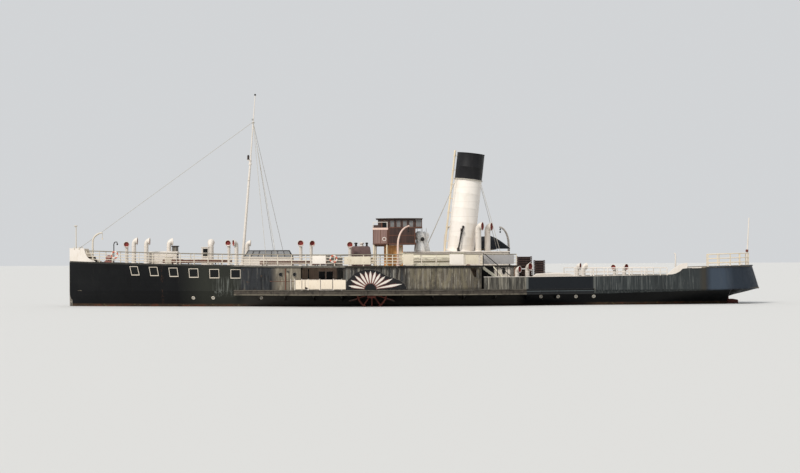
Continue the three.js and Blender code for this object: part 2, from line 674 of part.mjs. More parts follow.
function makePromenadeRail() {
  const inset = 0.14;
  const bayLength = 2.56;
  const line = [];
  for (let x = -30.1; x < 5.2; x += bayLength) {
    line.push([x, (x < -16.4 ? upperHalf(x) : edgeHalf(x)) - inset, promenadeAt(x)]);
  }
  const turnX = wideDeckEndX - 0.14;
  line.push([turnX, edgeHalf(turnX) - inset, promenadeTop], [turnX, 5.0, promenadeTop]);
  line.push([7.6, 5.0, promenadeTop], [houseEndX - 0.12, 5.0, promenadeTop]);
  const posts = line.map(([x, y, z]) => box(
    x - 0.03, x + 0.03, y - 0.03, y + 0.03, z - 0.05, z + railHeight - 0.03));
  return onPromenade(join(posts, rail(line, railHeight - 0.03, 0.035)));
}
pair('promenade_rail', makePromenadeRail(), paints.white);

// Skylight over the saloon, and the forward companion
function ridge(x0, x1, half, coaming, top, foot) {
  return onPromenade(loft([x0, x1].map((x) => [
    [x, -half, foot], [x, half, foot], [x, half, coaming], [x, 0.12, top], [x, -0.12, top], [x, -half, coaming],
  ])));
}
piece('saloon_skylight', ridge(-15.55, -11.15, 1.35, 4.42, 5.08, 3.5), paints.white);
piece('forward_companion', ridge(-24.45, -21.8, 0.9, 4.95, 5.05, 3.5), paints.white);

// Boiler casing with two tall ventilators and the engine skylight
function makeBoilerCasing() {
  const casing = box(-0.9, 8.7, -1.7, 1.7, promenadeTop + gap, casingTop - 0.04);
  const roof = box(-1.0, 8.8, -1.8, 1.8, casingTop - 0.1, casingTop);
  const tall = [[6.0, -1.1], [6.85, 1.1]].map(([x, y]) => cowl({
    x, y, foot: casingTop - 0.05, head: 7.2, radius: 0.31, mouth: 0.5, facing: astern,
  }));
  const bulbs = [[0.64, -0.9], [1.14, 0.9]].map(([x, y]) => turned(
    [[0, 0], [0.36, 0], [0.42, 0.45], [0.26, 0.95], [0.42, 1.45], [0.3, 1.9], [0, 2.0]],
    new THREE.Vector3(x, y, casingTop - 0.05), new THREE.Vector3(x, y, 9), 12));
  const pole = bar([4.35, -1.5, casingTop - 0.05], [4.6, -1.5, 7.0], 0.05, 8);
  return join(casing, roof, tall, bulbs, pole);
}
piece('boiler_casing', makeBoilerCasing(), paints.white);

// Funnel, raked, with its black top and a band that carries the stays
const funnelRun = new THREE.Vector3().subVectors(funnelHead, funnelFoot);
const funnelLength = funnelRun.length();
const blackFrom = funnelLength * 0.735;
const onFunnel = (height, ahead = 0, side = 0) => {
  const along = funnelRun.clone().normalize();
  const across = new THREE.Vector3(along.z, 0, -along.x);
  return funnelFoot.clone().addScaledVector(along, height).addScaledVector(across, ahead)
    .add(new THREE.Vector3(0, side, 0));
};
const funnelSeat = box(2, 8, -2, 2, 3, casingTop + gap);
piece('funnel', turned([
  [0, -0.2], [funnelRadius, -0.2], [funnelRadius, blackFrom - gap], [funnelRadius - 0.08, blackFrom - gap],
  [funnelRadius - 0.08, 0.4], [0, 0.4],
], funnelFoot, funnelHead, 24).subtract(funnelSeat), paints.white);
piece('funnel_top', turned([
  [funnelRadius - 0.08, blackFrom], [funnelRadius, blackFrom], [funnelRadius, funnelLength],
  [funnelRadius - 0.08, funnelLength], [funnelRadius - 0.08, blackFrom],
], funnelFoot, funnelHead, 24), paints.black);

function makeFunnelStays() {
  const bandFrom = blackFrom - 0.1;
  const inner = (funnelRadius + gap) / Math.cos(Math.PI / 24);
  const band = turned([
    [inner, bandFrom], [inner + 0.06, bandFrom], [inner + 0.06, bandFrom + 0.08],
    [inner, bandFrom + 0.08], [inner, bandFrom],
  ], funnelFoot, funnelHead, 24);
  // Columns: way round the band from ahead in degrees, foot x, foot y, foot z
  const stays = [
    [35, 0.4, 2.7, promenadeTop], [-35, 0.4, -2.7, promenadeTop],
    [145, 8.2, 2.6, promenadeTop], [-145, 8.2, -2.6, promenadeTop],
  ].map(([turn, x, y, z]) => {
    const angle = THREE.MathUtils.degToRad(turn);
    const ring = inner + 0.04;
    const lug = onFunnel(bandFrom + 0.04, -Math.cos(angle) * ring, Math.sin(angle) * ring);
    return bar(lug.toArray(), [x, y, z - 0.3], 0.03, 6);
  });
  return onPromenade(join(band, stays));
}
piece('funnel_stays', makeFunnelStays(), paints.wire);

function makeSteamPipe() {
  const foot = onFunnel(0, -funnelRadius - 0.22);
  const head = onFunnel(funnelLength + 0.15, -funnelRadius - 0.22);
  const pipe = bar([foot.x, 0, casingTop - 0.4], head.toArray(), 0.1, 10);
  return pipe.subtract(box(0, 8, -2, 2, 3, casingTop + gap));
}
piece('steam_pipe', makeSteamPipe(), paints.grey);

// Bridge on posts
const wing = { x0: -3.7, x1: -2.35, half: 8.2 };
function makeBridgeDeck() {
  const under = bridgeTop - 0.1;
  const across = box(wing.x0, wing.x1, -wing.half, wing.half, under, bridgeTop);
  const middle = box(wing.x0, 0.2, -2.5, 2.5, under, bridgeTop);
  const posts = [-8.05, -5.2, 5.2, 8.05].flatMap((y) => [wing.x0 + 0.1, wing.x1 - 0.1].map((x) => bar(
    [x, y, promenadeTop + gap], [x, y, under + 0.05], 0.06, 8)));
  return join(across, middle, posts);
}
piece('bridge_deck', makeBridgeDeck(), paints.darkWood);

piece('bridge_deckhouse', cut(
  box(-2.75, -1.02, -1.9, 1.9, promenadeTop + gap, bridgeTop - 0.1 - gap),
  box(-2.67, -1.1, -1.82, 1.82, promenadeTop + 0.05, bridgeTop - 0.2),
  box(-2.2, -1.5, -2.5, -1.5, promenadeTop + 0.1, 5.3),
), paints.varnish);

// Wheelhouse
const house = { x0: -3.3, x1: 0.12, half: 2.05, wall: 0.08 };
const door = { x0: -3.02, x1: -2.37 };
function makeWheelhouse() {
  const { x0, x1, half, wall: thick } = house;
  const shell = cut(
    box(x0, x1, -half, half, bridgeTop + gap, wheelhouseTop),
    box(x0 + thick, x1 - thick, thick - half, half - thick, bridgeTop - 1, wheelhouseTop + 1),
  );
  const sill = 7.12;
  const head = 7.76;
  const sideWindows = [-2.2, -1.62, -1.04, -0.46].map((x) => box(x, x + 0.42, -3, 3, sill, head));
  const frontWindows = [-1.9, -1.1, -0.3, 0.5, 1.3].map((y) => box(x0 - 1, x1 + 1, y, y + 0.6, sill, head));
  const doorway = box(door.x0, door.x1, -3, 3, bridgeTop - 1, 7.8);
  return cut(shell, sideWindows, frontWindows, doorway);
}
piece('wheelhouse', makeWheelhouse(), paints.darkWood);
piece('wheelhouse_roof', loft([[-3.5, 0.02], [-1.35, 0.14], [0.8, 0.02]].map(([x, rise]) => [
  [x, -2.3, wheelhouseTop + gap], [x, 2.3, wheelhouseTop + gap],
  [x, 2.3, wheelhouseTop + 0.1], [x, 0, wheelhouseTop + 0.1 + rise], [x, -2.3, wheelhouseTop + 0.1],
])), paints.darkWood);
pair('wheelhouse_door', cut(
  join(
    box(door.x0 + 0.012, door.x1 - 0.012, house.half - 0.06, house.half, bridgeTop + 0.03, 7.78),
    bar([door.x0 + 0.012, house.half, bridgeTop + gap], [door.x0 + 0.012, house.half, 5.8], 0.011, 8),
  ),
  box(door.x0 + 0.12, door.x1 - 0.12, 1, 3, 7.12, 7.66),
), paints.varnish);

// Bridge wings: screens to breast height
pair('bridge_wing', cut(
  join(
    box(wing.x0 + 0.02, wing.x1 - 0.02, wing.half - 2.2, wing.half - 0.02, bridgeTop + gap, 6.9),
    box(wing.x0, wing.x1, wing.half - 2.25, wing.half, 6.9, 7.0),
    [[wing.x0 + 0.06, wing.half - 0.06], [wing.x1 - 0.06, wing.half - 0.06]].map(([x, y]) => bar(
      [x, y, 6.9], [x, y, 7.5], 0.04, 6)),
  ),
  box(wing.x0 + 0.1, wing.x1 - 0.1, wing.half - 2.6, wing.half - 0.1, 5, 8),
), paints.varnish);

// Mast and its rigging
const mastFoot = new THREE.Vector3(-15.98, 0, promenadeAt(-15.98));
const mastLower = new THREE.Vector3(-15.2, 0, 13.3);
const mastTop = new THREE.Vector3(-14.7, 0, 19.5);
const mastAt = (z) => (z < mastLower.z
  ? mastFoot.clone().lerp(mastLower, (z - mastFoot.z) / (mastLower.z - mastFoot.z))
  : mastLower.clone().lerp(mastTop, (z - mastLower.z) / (mastTop.z - mastLower.z)));
function makeMast() {
  const foot = mastAt(3.4);
  const lower = bar(foot.toArray(), mastLower.toArray(), 0.2, 12, 0.15);
  const cap = bar([mastLower.x - 0.04, 0, 13.0], [mastLower.x + 0.02, 0, 13.4], 0.24, 12);
  const upper = bar([mastLower.x - 0.03, 0, 13.1], mastTop.toArray(), 0.12, 10, 0.05);
  const ball = turned([[0, -0.12], [0.11, -0.06], [0.11, 0.06], [0, 0.12]], mastTop,
    mastTop.clone().add(new THREE.Vector3(0, 0, 1)), 10);
  const lantern = bar([mastLower.x - 0.35, 0, 13.3], [mastLower.x - 0.35, 0, 13.75], 0.13, 10);
  const bracket = box(mastLower.x - 0.4, mastLower.x + 0.1, -0.05, 0.05, 13.2, 13.35);
  return onPromenade(join(lower, cap, upper, ball, lantern, bracket));
}
piece('mast', makeMast(), paints.varnish);

function makeMastStays() {
  const at = mastAt(16.9);
  const radius = 0.2;
  const band = turned([[0.105, -0.05], [radius, -0.05], [radius, 0.05], [0.105, 0.05], [0.105, -0.05]],
    at, mastAt(17.9), 12);
  const foreFoot = [-31.15, 0, 5.2];
  const forestay = bar([at.x - 0.15, 0, at.z], foreFoot, 0.03, 6);
  const shrouds = [[-13.2, 1], [-12.2, 1], [-13.2, -1], [-12.2, -1]].map(([x, side]) => bar(
    [at.x, side * 0.15, at.z], [x, side * (edgeHalf(x) - 0.25), promenadeAt(x) - 0.3], 0.03, 6));
  return onPromenade(join(band, forestay, shrouds));
}
piece('mast_stays', makeMastStays(), paints.wire);

// Lifeboats: clinker hulls, one open and one under its cover
function boatSections(length, half, depth, inset) {
  return [0, 0.06, 0.2, 0.4, 0.6, 0.8, 0.94, 1].map((share) => {
    const fullness = Math.pow(Math.sin(Math.PI * (0.03 + 0.94 * share)), 0.55);
    const x = length * (share - 0.5) * (1 - inset / length);
    const sheer = 0.16 * Math.pow(2 * share - 1, 2);
    const beam = Math.max(half * fullness - inset, 0.03);
    return [
      [x, 0, inset], [x, beam * 0.55, inset + 0.06], [x, beam * 0.9, depth * 0.45],
      [x, beam, depth + sheer + inset], [x, -beam, depth + sheer + inset],
      [x, -beam * 0.9, depth * 0.45], [x, -beam * 0.55, inset + 0.06],
    ];
  });
}

function makeBoat(centre, length, half, depth, covered) {
  const shift = (sections) => sections.map((ring) => ring.map(([x, y, z]) => [
    x + centre[0], y + centre[1], z + centre[2]]));
  const hull = loft(shift(boatSections(length, half, depth, 0)));
  if (covered) {
    const cover = loft(shift([-0.5, -0.25, 0, 0.25, 0.5].map((share) => [
      [share * length * 0.96, 0.12 - half * (1 - 2.6 * share * share), depth + 0.05],
      [share * length * 0.96, half * (1 - 2.6 * share * share) - 0.12, depth + 0.05],
      [share * length * 0.96, 0.03, depth + 0.5 - share * share * 0.6],
    ])));
    return join(hull, cover);
  }
  const thwarts = [-1.5, -0.3, 0.9, 1.8].map((x) => box(centre[0] + x, centre[0] + x + 0.2,
    centre[1] - half * 0.85, centre[1] + half * 0.85, centre[2] + depth - 0.22, centre[2] + depth - 0.16));
  return join(hull.subtract(loft(shift(boatSections(length, half, depth, 0.07)))), thwarts);
}

const portBoat = { x: 1.65, y: -7.05, z: promenadeTop + 0.16 };
const starboardBoat = { x: 6.05, y: 3.7, z: 5.02 };

function chocks(x, y, foot, top, spread) {
  return [x - spread, x + spread].map((at) => box(at - 0.08, at + 0.08, y - 0.42, y + 0.42, foot, top));
}

piece('port_lifeboat', join(
  makeBoat([portBoat.x, portBoat.y, portBoat.z], 5.5, 0.85, 0.82, false),
  chocks(portBoat.x, portBoat.y, promenadeTop + gap, portBoat.z + 0.1, 1.3),
), paints.white);
piece('starboard_lifeboat', join(
  makeBoat([starboardBoat.x, starboardBoat.y, starboardBoat.z], 5.5, 0.85, 0.82, true),
  [starboardBoat.x - 1.3, starboardBoat.x + 1.3].map((x) => box(x - 0.1, x + 0.1, starboardBoat.y - 0.5,
    starboardBoat.y + 0.5, promenadeTop + gap, starboardBoat.z + 0.12)),
), paints.black);

// Radial davits: a post, a bent head that reaches over the boat, and a hanging block
function makeDavit({ x, y, reachX, reachY, top }) {
  const foot = promenadeTop + gap;
  const points = [
    [0, 0, foot], [0, 0, top - 1.7], [0.06, 0.06, top - 1.15], [0.26, 0.26, top - 0.6],
    [0.6, 0.6, top - 0.2], [1, 1, top],
  ].map(([sx, sy, z]) => new THREE.Vector3(x + sx * reachX, y + sy * reachY, z));
  const round = [];
  for (let i = 0; i < 8; i++) {
    const angle = (Math.PI * 2 * i) / 8;
    round.push(new THREE.Vector2(Math.cos(angle) * 0.09, Math.sin(angle) * 0.09));
  }
  const path = new THREE.CatmullRomCurve3(points, false, 'catmullrom', 0.2);
  const arm = solidOf(new THREE.ExtrudeGeometry(new THREE.Shape(round), {
    steps: 14, extrudePath: path, bevelEnabled: false,
  }));
  const base = bar([x, y, foot], [x, y, foot + 0.25], 0.17, 12);
  const head = points[points.length - 1];
  const block = box(head.x - 0.08, head.x + 0.08, head.y - 0.08, head.y + 0.08, head.z - 0.55, head.z + 0.05);
  return join(arm, base, block);
}
const davits = {
  port_forward_davit: { x: -1.47, y: -8.3, reachX: 0.95, reachY: 1.2, top: 7.25 },
  starboard_forward_davit: { x: 2.95, y: 4.85, reachX: 0.75, reachY: -1.1, top: 7.5 },
  starboard_after_davit: { x: 9.05, y: 4.75, reachX: -0.85, reachY: -1.0, top: 7.5 },
};
for (const [name, sizes] of Object.entries(davits)) piece(name, makeDavit(sizes), paints.iron);

// Stairs from the promenade deck to the after deck
function makeStair() {
  const [x0, x1, y0, y1] = [wideDeckEndX + 0.03, 8.75, 5.45, 6.25];
  const slope = (promenadeTop - 0.1 - mainDeckTop) / (x1 - x0);
  const stringers = [y0, y1 - 0.05].map((y) => loft([y, y + 0.05].map((at) => [
    [x0, at, promenadeTop - 0.02], [x0, at, promenadeTop - 0.36], [x1 - 0.25, at, mainDeckTop + gap],
    [x1, at, mainDeckTop + gap], [x1, at, mainDeckTop + 0.16],
  ])));
  const treads = [];
  for (let i = 1; i < 9; i++) {
    const x = x0 + ((x1 - x0) * i) / 9;
    const z = promenadeTop - 0.1 - (x - x0) * slope;
    treads.push(box(x - 0.13, x + 0.13, y0 + 0.01, y1 - 0.01, z - 0.06, z - 0.02));
  }
  return join(stringers, treads);
}
pair('stair', makeStair(), paints.white);

// Stacked seats behind the deckhouse
piece('stacked_seats', join(
  box(9.5, 11.1, -2.3, -0.5, mainDeckTop + gap, 3.3),
  box(9.6, 11.0, -2.2, -0.6, 3.2, 4.45),
  box(11.0, 12.0, -2.1, -0.7, mainDeckTop + gap, 4.1),
), paints.darkWood);

// Stern rail and ensign staff
function makeSternRail() {
  const side = sternOutline.map((row) => [row[2] - 0.14, row[3] - 0.14]);
  side[0] = [poopX + 0.2, 4.1];
  const run = [...side, ...[...side].reverse().map(([x, y]) => [x, -y])].map(([x, y]) => [x, y, poopTop(x)]);
  const height = 0.98;
  const posts = run.map(([x, y, z]) => box(
    x - 0.03, x + 0.03, y - 0.03, y + 0.03, z - 0.05, z + height - 0.03));
  const aftermost = run[side.length][0];
  const staff = bar([aftermost, 0, poopTop(aftermost) - 0.1], [aftermost + 0.2, 0, 7.9], 0.06, 8, 0.035);
  return join(posts, rail(run, height - 0.03, 0.03), staff).subtract(underPoop);
}
piece('stern_rail', makeSternRail(), paints.white);

// Anchor davit on the forward deck
function makeAnchorDavit() {
  const points = [[-29.7, 4.0], [-29.7, 5.95], [-29.35, 6.55], [-28.8, 6.75]]
    .map(([x, z]) => new THREE.Vector3(x, -1.05, z));
  const round = [];
  for (let i = 0; i < 8; i++) {
    const angle = (Math.PI * 2 * i) / 8;
    round.push(new THREE.Vector2(Math.cos(angle) * 0.09, Math.sin(angle) * 0.09));
  }
  const arm = solidOf(new THREE.ExtrudeGeometry(new THREE.Shape(round), {
    steps: 10, extrudePath: new THREE.CatmullRomCurve3(points, false, 'catmullrom', 0.2), bevelEnabled: false,
  }));
  const block = box(-28.92, -28.76, -1.13, -0.97, 6.15, 6.75);
  return onPromenade(join(arm, block));
}
piece('anchor_davit', makeAnchorDavit(), paints.iron);

// Rudder on its stock, stepped in the heel
function makeRudder() {
  const stock = bar([29.02, 0, bodyBottom - 0.02 + gap], [29.02, 0, 1.1], 0.1, 12);
  const blade = loft([[28.98, 0.08], [29.3, 0.09], [30.0, 0.03]].map(([x, half]) => [
    [x, -half, -1.32], [x, half, -1.32], [x, half, 0.42], [x, -half, 0.42],
  ]));
  return join(stock, blade);
}
piece('rudder', makeRudder(), paints.rust);

// Paddle shaft and wheels
piece('paddle_shaft', join(
  bar([wheelX, -wheelInner + gap, wheelZ], [wheelX, wheelInner - gap, wheelZ], shaftRadius, 24),
), paints.iron);

function makeWheel() {
  const ring = (y, outer, inner) => {
    const hoop = new THREE.Shape().absarc(0, 0, outer, 0, Math.PI * 2);
    hoop.holes.push(new THREE.Path().absarc(0, 0, inner, 0, Math.PI * 2, true));
    const raised = new THREE.ExtrudeGeometry(hoop, { depth: 0.08, bevelEnabled: false, curveSegments: 8 });
    raised.rotateX(Math.PI / 2);
    raised.translate(wheelX, y + 0.08, wheelZ);
    return solidOf(raised);
  };
  // A flat bar or board whose middle is at a radius on the wheel, lying at a slant, from one y to another
  const plate = (angle, radius, halfLength, halfThickness, slant, y0, y1) => {
    const [mx, mz] = [wheelX + Math.cos(angle) * radius, wheelZ + Math.sin(angle) * radius];
    const [ax, az] = [Math.cos(slant) * halfLength, Math.sin(slant) * halfLength];
    const [tx, tz] = [-Math.sin(slant) * halfThickness, Math.cos(slant) * halfThickness];
    return profileSlab([
      [mx - ax - tx, mz - az - tz], [mx + ax - tx, mz + az - tz],
      [mx + ax + tx, mz + az + tz], [mx - ax + tx, mz - az + tz],
    ], y0, y1);
  };
  const frames = [wheelInner + 0.3, wheelOuter - 0.38];
  const parts = [bar([wheelX, wheelInner, wheelZ], [wheelX, wheelOuter, wheelZ], 0.3, 12)];
  parts.push(bar([wheelX, wheelOuter - 0.1, wheelZ], [wheelX, 8.3, wheelZ], shaftRadius, 24));
  for (const y of frames) parts.push(ring(y, 1.34, 1.22));
  for (let i = 0; i < floatCount; i++) {
    const angle = (Math.PI * 2 * (i + 0.5)) / floatCount;
    const arm = (y) => plate(angle, floatCircle / 2, floatCircle / 2, 0.05, angle, y + 0.01, y + 0.07);
    parts.push(...frames.map(arm));
    const lean = 0.28 * Math.sin(angle);
    parts.push(plate(angle, floatCircle - 0.14, 0.36, 0.03, angle + lean, wheelInner, wheelOuter));
  }
  return join(parts);
}
pair('paddle_wheel', makeWheel(), paints.rust);

export default ship;
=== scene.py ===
# Looks of the half-size paddle ferry: finer shapes, paint, planks, weathering, rails and rigging.
# Lengths here are the real ship's metres; newPiece brings them to the model's half size.
import json
import random
import bmesh
import bpy
from math import atan, atan2, ceil, cos, floor, pi, radians, sin, tau
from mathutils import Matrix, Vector


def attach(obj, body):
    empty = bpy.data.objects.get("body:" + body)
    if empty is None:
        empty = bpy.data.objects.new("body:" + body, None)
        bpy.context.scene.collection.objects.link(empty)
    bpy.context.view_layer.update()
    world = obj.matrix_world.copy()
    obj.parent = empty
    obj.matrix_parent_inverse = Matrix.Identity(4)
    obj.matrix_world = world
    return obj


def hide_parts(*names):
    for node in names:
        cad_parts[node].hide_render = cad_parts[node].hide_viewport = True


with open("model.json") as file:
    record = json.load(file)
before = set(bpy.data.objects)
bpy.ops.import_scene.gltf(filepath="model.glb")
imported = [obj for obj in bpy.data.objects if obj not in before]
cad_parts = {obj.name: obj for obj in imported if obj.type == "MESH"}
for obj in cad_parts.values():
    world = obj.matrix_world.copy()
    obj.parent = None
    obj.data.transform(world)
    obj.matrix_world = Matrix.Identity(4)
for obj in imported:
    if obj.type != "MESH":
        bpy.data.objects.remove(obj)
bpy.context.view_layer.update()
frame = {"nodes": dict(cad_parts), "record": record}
print("frame loaded:", len(frame["nodes"]), "nodes")

shipScale = 0.5
bothSides = (-1, 1)  # port, starboard


# Reading short tables whose first column rises: straight, or smooth without overshoot
def straightAt(table, x, column=1):
    if x <= table[0][0]:
        return table[0][column]
    for a, b in zip(table, table[1:]):
        if x <= b[0]:
            return a[column] + (b[column] - a[column]) * (x - a[0]) / (b[0] - a[0])
    return table[-1][column]


def smoothAt(table, x, column=1):
    if x <= table[0][0]:
        return table[0][column]
    if x >= table[-1][0]:
        return table[-1][column]
    steps = [(b[column] - a[column]) / (b[0] - a[0]) for a, b in zip(table, table[1:])]
    inner = [0 if m * n <= 0 else 2 * m * n / (m + n) for m, n in zip(steps, steps[1:])]
    slopes = [steps[0]] + inner + [steps[-1]]
    i = max(k for k in range(len(table) - 1) if table[k][0] <= x)
    a, b = table[i], table[i + 1]
    span = b[0] - a[0]
    t = (x - a[0]) / span
    start = (2 * t ** 3 - 3 * t ** 2 + 1) * a[column] + (t ** 3 - 2 * t ** 2 + t) * span * slopes[i]
    return start + (3 * t ** 2 - 2 * t ** 3) * b[column] + (t ** 3 - t ** 2) * span * slopes[i + 1]


def spread(low, high, count):
    return [low + (high - low) * i / (count - 1) for i in range(count)]


ship = {
    "bow": -31.85, "keelBottom": -1.47, "bodyBottom": -1.35,
    "mainDeck": 1.5, "mainDeckUnder": 1.42,
    "promenade": 3.6, "promenadeThickness": 0.1, "bowSheer": 0.57, "sheerStart": -4.0,
    "poop": 25.1,
}

# Heights just clear of the decks, where pieces stand
onMainDeck, onPromenade, onBridge = 1.503, 3.602, 5.602

# Body. Columns: x, bottom z, fullness of the section, half breadth at the main deck
bodyStations = [
    (-31.85, -0.9, 1.0, 0.09), (-31.2, -1.3, 1.0, 0.36), (-29.5, -1.35, 1.2, 1.25),
    (-27, -1.35, 1.5, 2.35), (-24, -1.35, 2.1, 3.45), (-20, -1.35, 3.2, 4.42),
    (-16, -1.35, 5.0, 4.93), (-10, -1.35, 9.0, 5.05), (12, -1.35, 9.0, 5.05),
    (16, -1.35, 5.0, 5.01), (20, -1.35, 2.6, 4.85), (25.1, -1.35, 1.1, 4.39),
    (28, -1.35, 0.6, 3.8), (28.75, -1.35, 0.5, 3.52), (28.9, 0.6, 0.9, 3.46),
    (29.6, 0.82, 0.9, 3.2), (30.7, 1.08, 1.0, 2.45), (31.4, 1.26, 1.0, 1.6),
    (31.8, 1.36, 1.0, 0.75), (31.92, 1.39, 1.0, 0.12),
]

# Side at the promenade deck. Columns: x, half breadth
upperSide = [
    (-31.85, 0.11), (-31.2, 0.62), (-29.5, 1.7), (-27, 2.9), (-24, 3.9),
    (-20, 4.65), (-16, 5.0), (-10, 5.05), (12, 5.05), (20, 4.8), (25.1, 4.28),
]

# Sponson. Columns: x, half breadth
sponsonEdge = [
    (-16.4, 4.96), (-13, 6.4), (-9.5, 8.0), (-6.3, 8.7), (4, 8.7),
    (8, 7.9), (11.5, 6.6), (14, 5.6), (16.3, 5.02),
]

# Stern. Columns: step, x and half breadth at the main deck, x and half breadth at the poop
sternOutline = [
    (0, 25.1, 4.39, 25.1, 4.28), (1, 28.0, 3.8, 27.6, 3.7), (2, 29.6, 3.2, 29.1, 3.0),
    (3, 30.7, 2.45, 30.1, 2.2), (4, 31.4, 1.6, 30.7, 1.4), (5, 31.8, 0.75, 31.0, 0.65),
    (6, 31.92, 0.0, 31.1, 0.0),
]
sternCurve = [[smoothAt(sternOutline, 6 * i / 48, c) for c in (1, 2, 3, 4)] for i in range(49)]


def sheerAt(x):
    share = max(0.0, (ship["sheerStart"] - x) / (ship["sheerStart"] - ship["bow"]))
    return ship["promenade"] + ship["bowSheer"] * share ** 2


sheerStations = [(x, sheerAt(x)) for x in (-31.85, -28, -24, -20, -16, -12, -8, -4, 9.3)]


def promenadeAt(x):
    return straightAt(sheerStations, x)


def mainHalf(x):
    return straightAt(sternCurve, x) if x > ship["poop"] else smoothAt(bodyStations, x, 3)


def upperHalf(x):
    return smoothAt(upperSide, x)


def edgeHalf(x):
    return max(straightAt(sponsonEdge, x), mainHalf(x)) if -16.4 <= x <= 16.3 else mainHalf(x)


def deckEdge(x):
    return upperHalf(x) + 0.01 if x < -16.4 else edgeHalf(x) + 0.02


def sideAt(x, z):
    share = (z - ship["mainDeck"]) / (promenadeAt(x) - ship["mainDeck"])
    return mainHalf(x) + share * (upperHalf(x) - mainHalf(x))


def poopAt(x):
    return 3.36 + (x - ship["poop"]) / 6 * 0.17


# The shape in hand, emptied by newPiece. A tone is the face's place in the piece's paints
# What is added while its side is -1 lands mirrored, on the port side
shape = {"points": [], "faces": [], "tones": [], "weld": False, "side": 1}


def onSide(point):
    return Vector((point[0], shape["side"] * point[1], point[2]))


def addFaces(points, faces, tone=0, mirrored=True):
    start = len(shape["points"])
    side = shape["side"] if mirrored else 1
    shape["points"] += [(x, side * y, z) for x, y, z in points]
    shape["faces"] += [tuple(start + i for i in face) for face in faces]
    shape["tones"] += [tone] * len(faces)


boxFaces = [(0, 3, 2, 1), (4, 5, 6, 7), (0, 1, 5, 4), (1, 2, 6, 5), (2, 3, 7, 6), (3, 0, 4, 7)]


def addBox(low, high, tone=0, place=None):
    (x0, y0, z0), (x1, y1, z1) = low, high
    corners = [(x0, y0, z0), (x1, y0, z0), (x1, y1, z0), (x0, y1, z0), (x0, y0, z1), (x1, y0, z1),
        (x1, y1, z1), (x0, y1, z1)]
    addFaces([place(*c) for c in corners] if place else corners, boxFaces, tone)


def addLoft(rings, tone=0, loop=False, mirrored=True):
    count = len(rings[0])
    faces = []
    for s in range(len(rings) if loop else len(rings) - 1):
        following = (s + 1) % len(rings)
        for i in range(count):
            j = (i + 1) % count
            faces.append((s * count + i, s * count + j, following * count + j, following * count + i))
    if not loop:
        faces.append(tuple(reversed(range(count))))
        faces.append(tuple((len(rings) - 1) * count + i for i in range(count)))
    addFaces([p for ring in rings for p in ring], faces, tone, mirrored)


def circle(sides):
    return [(cos(tau * k / sides), sin(tau * k / sides)) for k in range(sides)]


# Cross frames along a path, carried without twist
def pathFrames(path, loop=False):
    path = [Vector(p) for p in path]
    count = len(path)
    normal = None
    frames = []
    for i, point in enumerate(path):
        before = path[i - 1] if i or loop else path[0]
        after = path[(i + 1) % count] if i < count - 1 or loop else path[-1]
        along = (after - before).normalized()
        if normal is None:
            normal = along.orthogonal().normalized()
        normal = (normal - along * normal.dot(along)).normalized()
        frames.append((point, normal, along.cross(normal)))
    return frames


def ringAt(crossFrame, radius, sides):
    point, normal, across = crossFrame
    return [point + radius * (c * normal + s * across) for c, s in circle(sides)]


def addTube(path, radius, sides=8, loop=False, tone=0, mirrored=True):
    frames = pathFrames([onSide(p) if mirrored else p for p in path], loop)
    radii = radius if isinstance(radius, (list, tuple)) else [radius] * len(frames)
    addLoft([ringAt(f, r, sides) for f, r in zip(frames, radii)], tone, loop, False)


# Turned round a line from a foot; profile rows are radius, height
def addTurned(profile, foot, towards=(0, 0, 1), sides=24, tone=0):
    foot, along = onSide(foot), onSide(towards).normalized()
    side = Vector((0, 0, 1)) if abs(along.z) < 0.5 else Vector((1, 0, 0))
    side = (side - along * side.dot(along)).normalized()
    other = along.cross(side)
    rings = []
    for c, s in circle(sides):
        out = c * side + s * other
        rings.append([foot + out * r + along * h for r, h in profile])
    count = len(profile)
    faces = []
    for k in range(sides):
        following = (k + 1) % sides
        for i in range(count - 1):
            faces.append((k * count + i, following * count + i, following * count + i + 1, k * count + i + 1))
    addFaces([p for ring in rings for p in ring], faces, tone, False)
    shape["weld"] = True


# Turned profiles: a closed hoop, and a plain drum
def hoop(inner, outer, low, high):
    return [(inner, low), (outer, low), (outer, high), (inner, high), (inner, low)]


def drum(radius, low, high):
    return [(0, low), (radius, low), (radius, high), (0, high)]


def addDisc(centre, towards, radius, depth, tone=0, sides=20):
    addTurned(drum(radius, 0, depth), centre, towards, sides, tone)


def addRing(centre, towards, radius, thickness, tone=0, sides=20, section=6):
    along = onSide(towards).normalized()
    side = along.orthogonal().normalized()
    path = ringAt((onSide(centre), side, along.cross(side)), radius, sides)
    addTube(path, thickness, section, True, tone, False)


def addPost(x, y, z0, z1, radius, sides=8, tone=0):
    addTube([(x, y, z0), (x, y, z1)], radius, sides, tone=tone)


# Collar round a post's foot
def addCollar(point, inner, outer, low, high, sides=10, tone=0):
    addTurned([(inner, 0), (outer, 0), (outer, low), (inner, high)], point, sides=sides, tone=tone)


def placed(name, data):
    obj = bpy.data.objects.new(name, data)
    bpy.context.scene.collection.objects.link(obj)
    return obj


def setInputs(node, **values):
    for name, value in values.items():
        node.inputs[" ".join(name.split("_"))].default_value = value


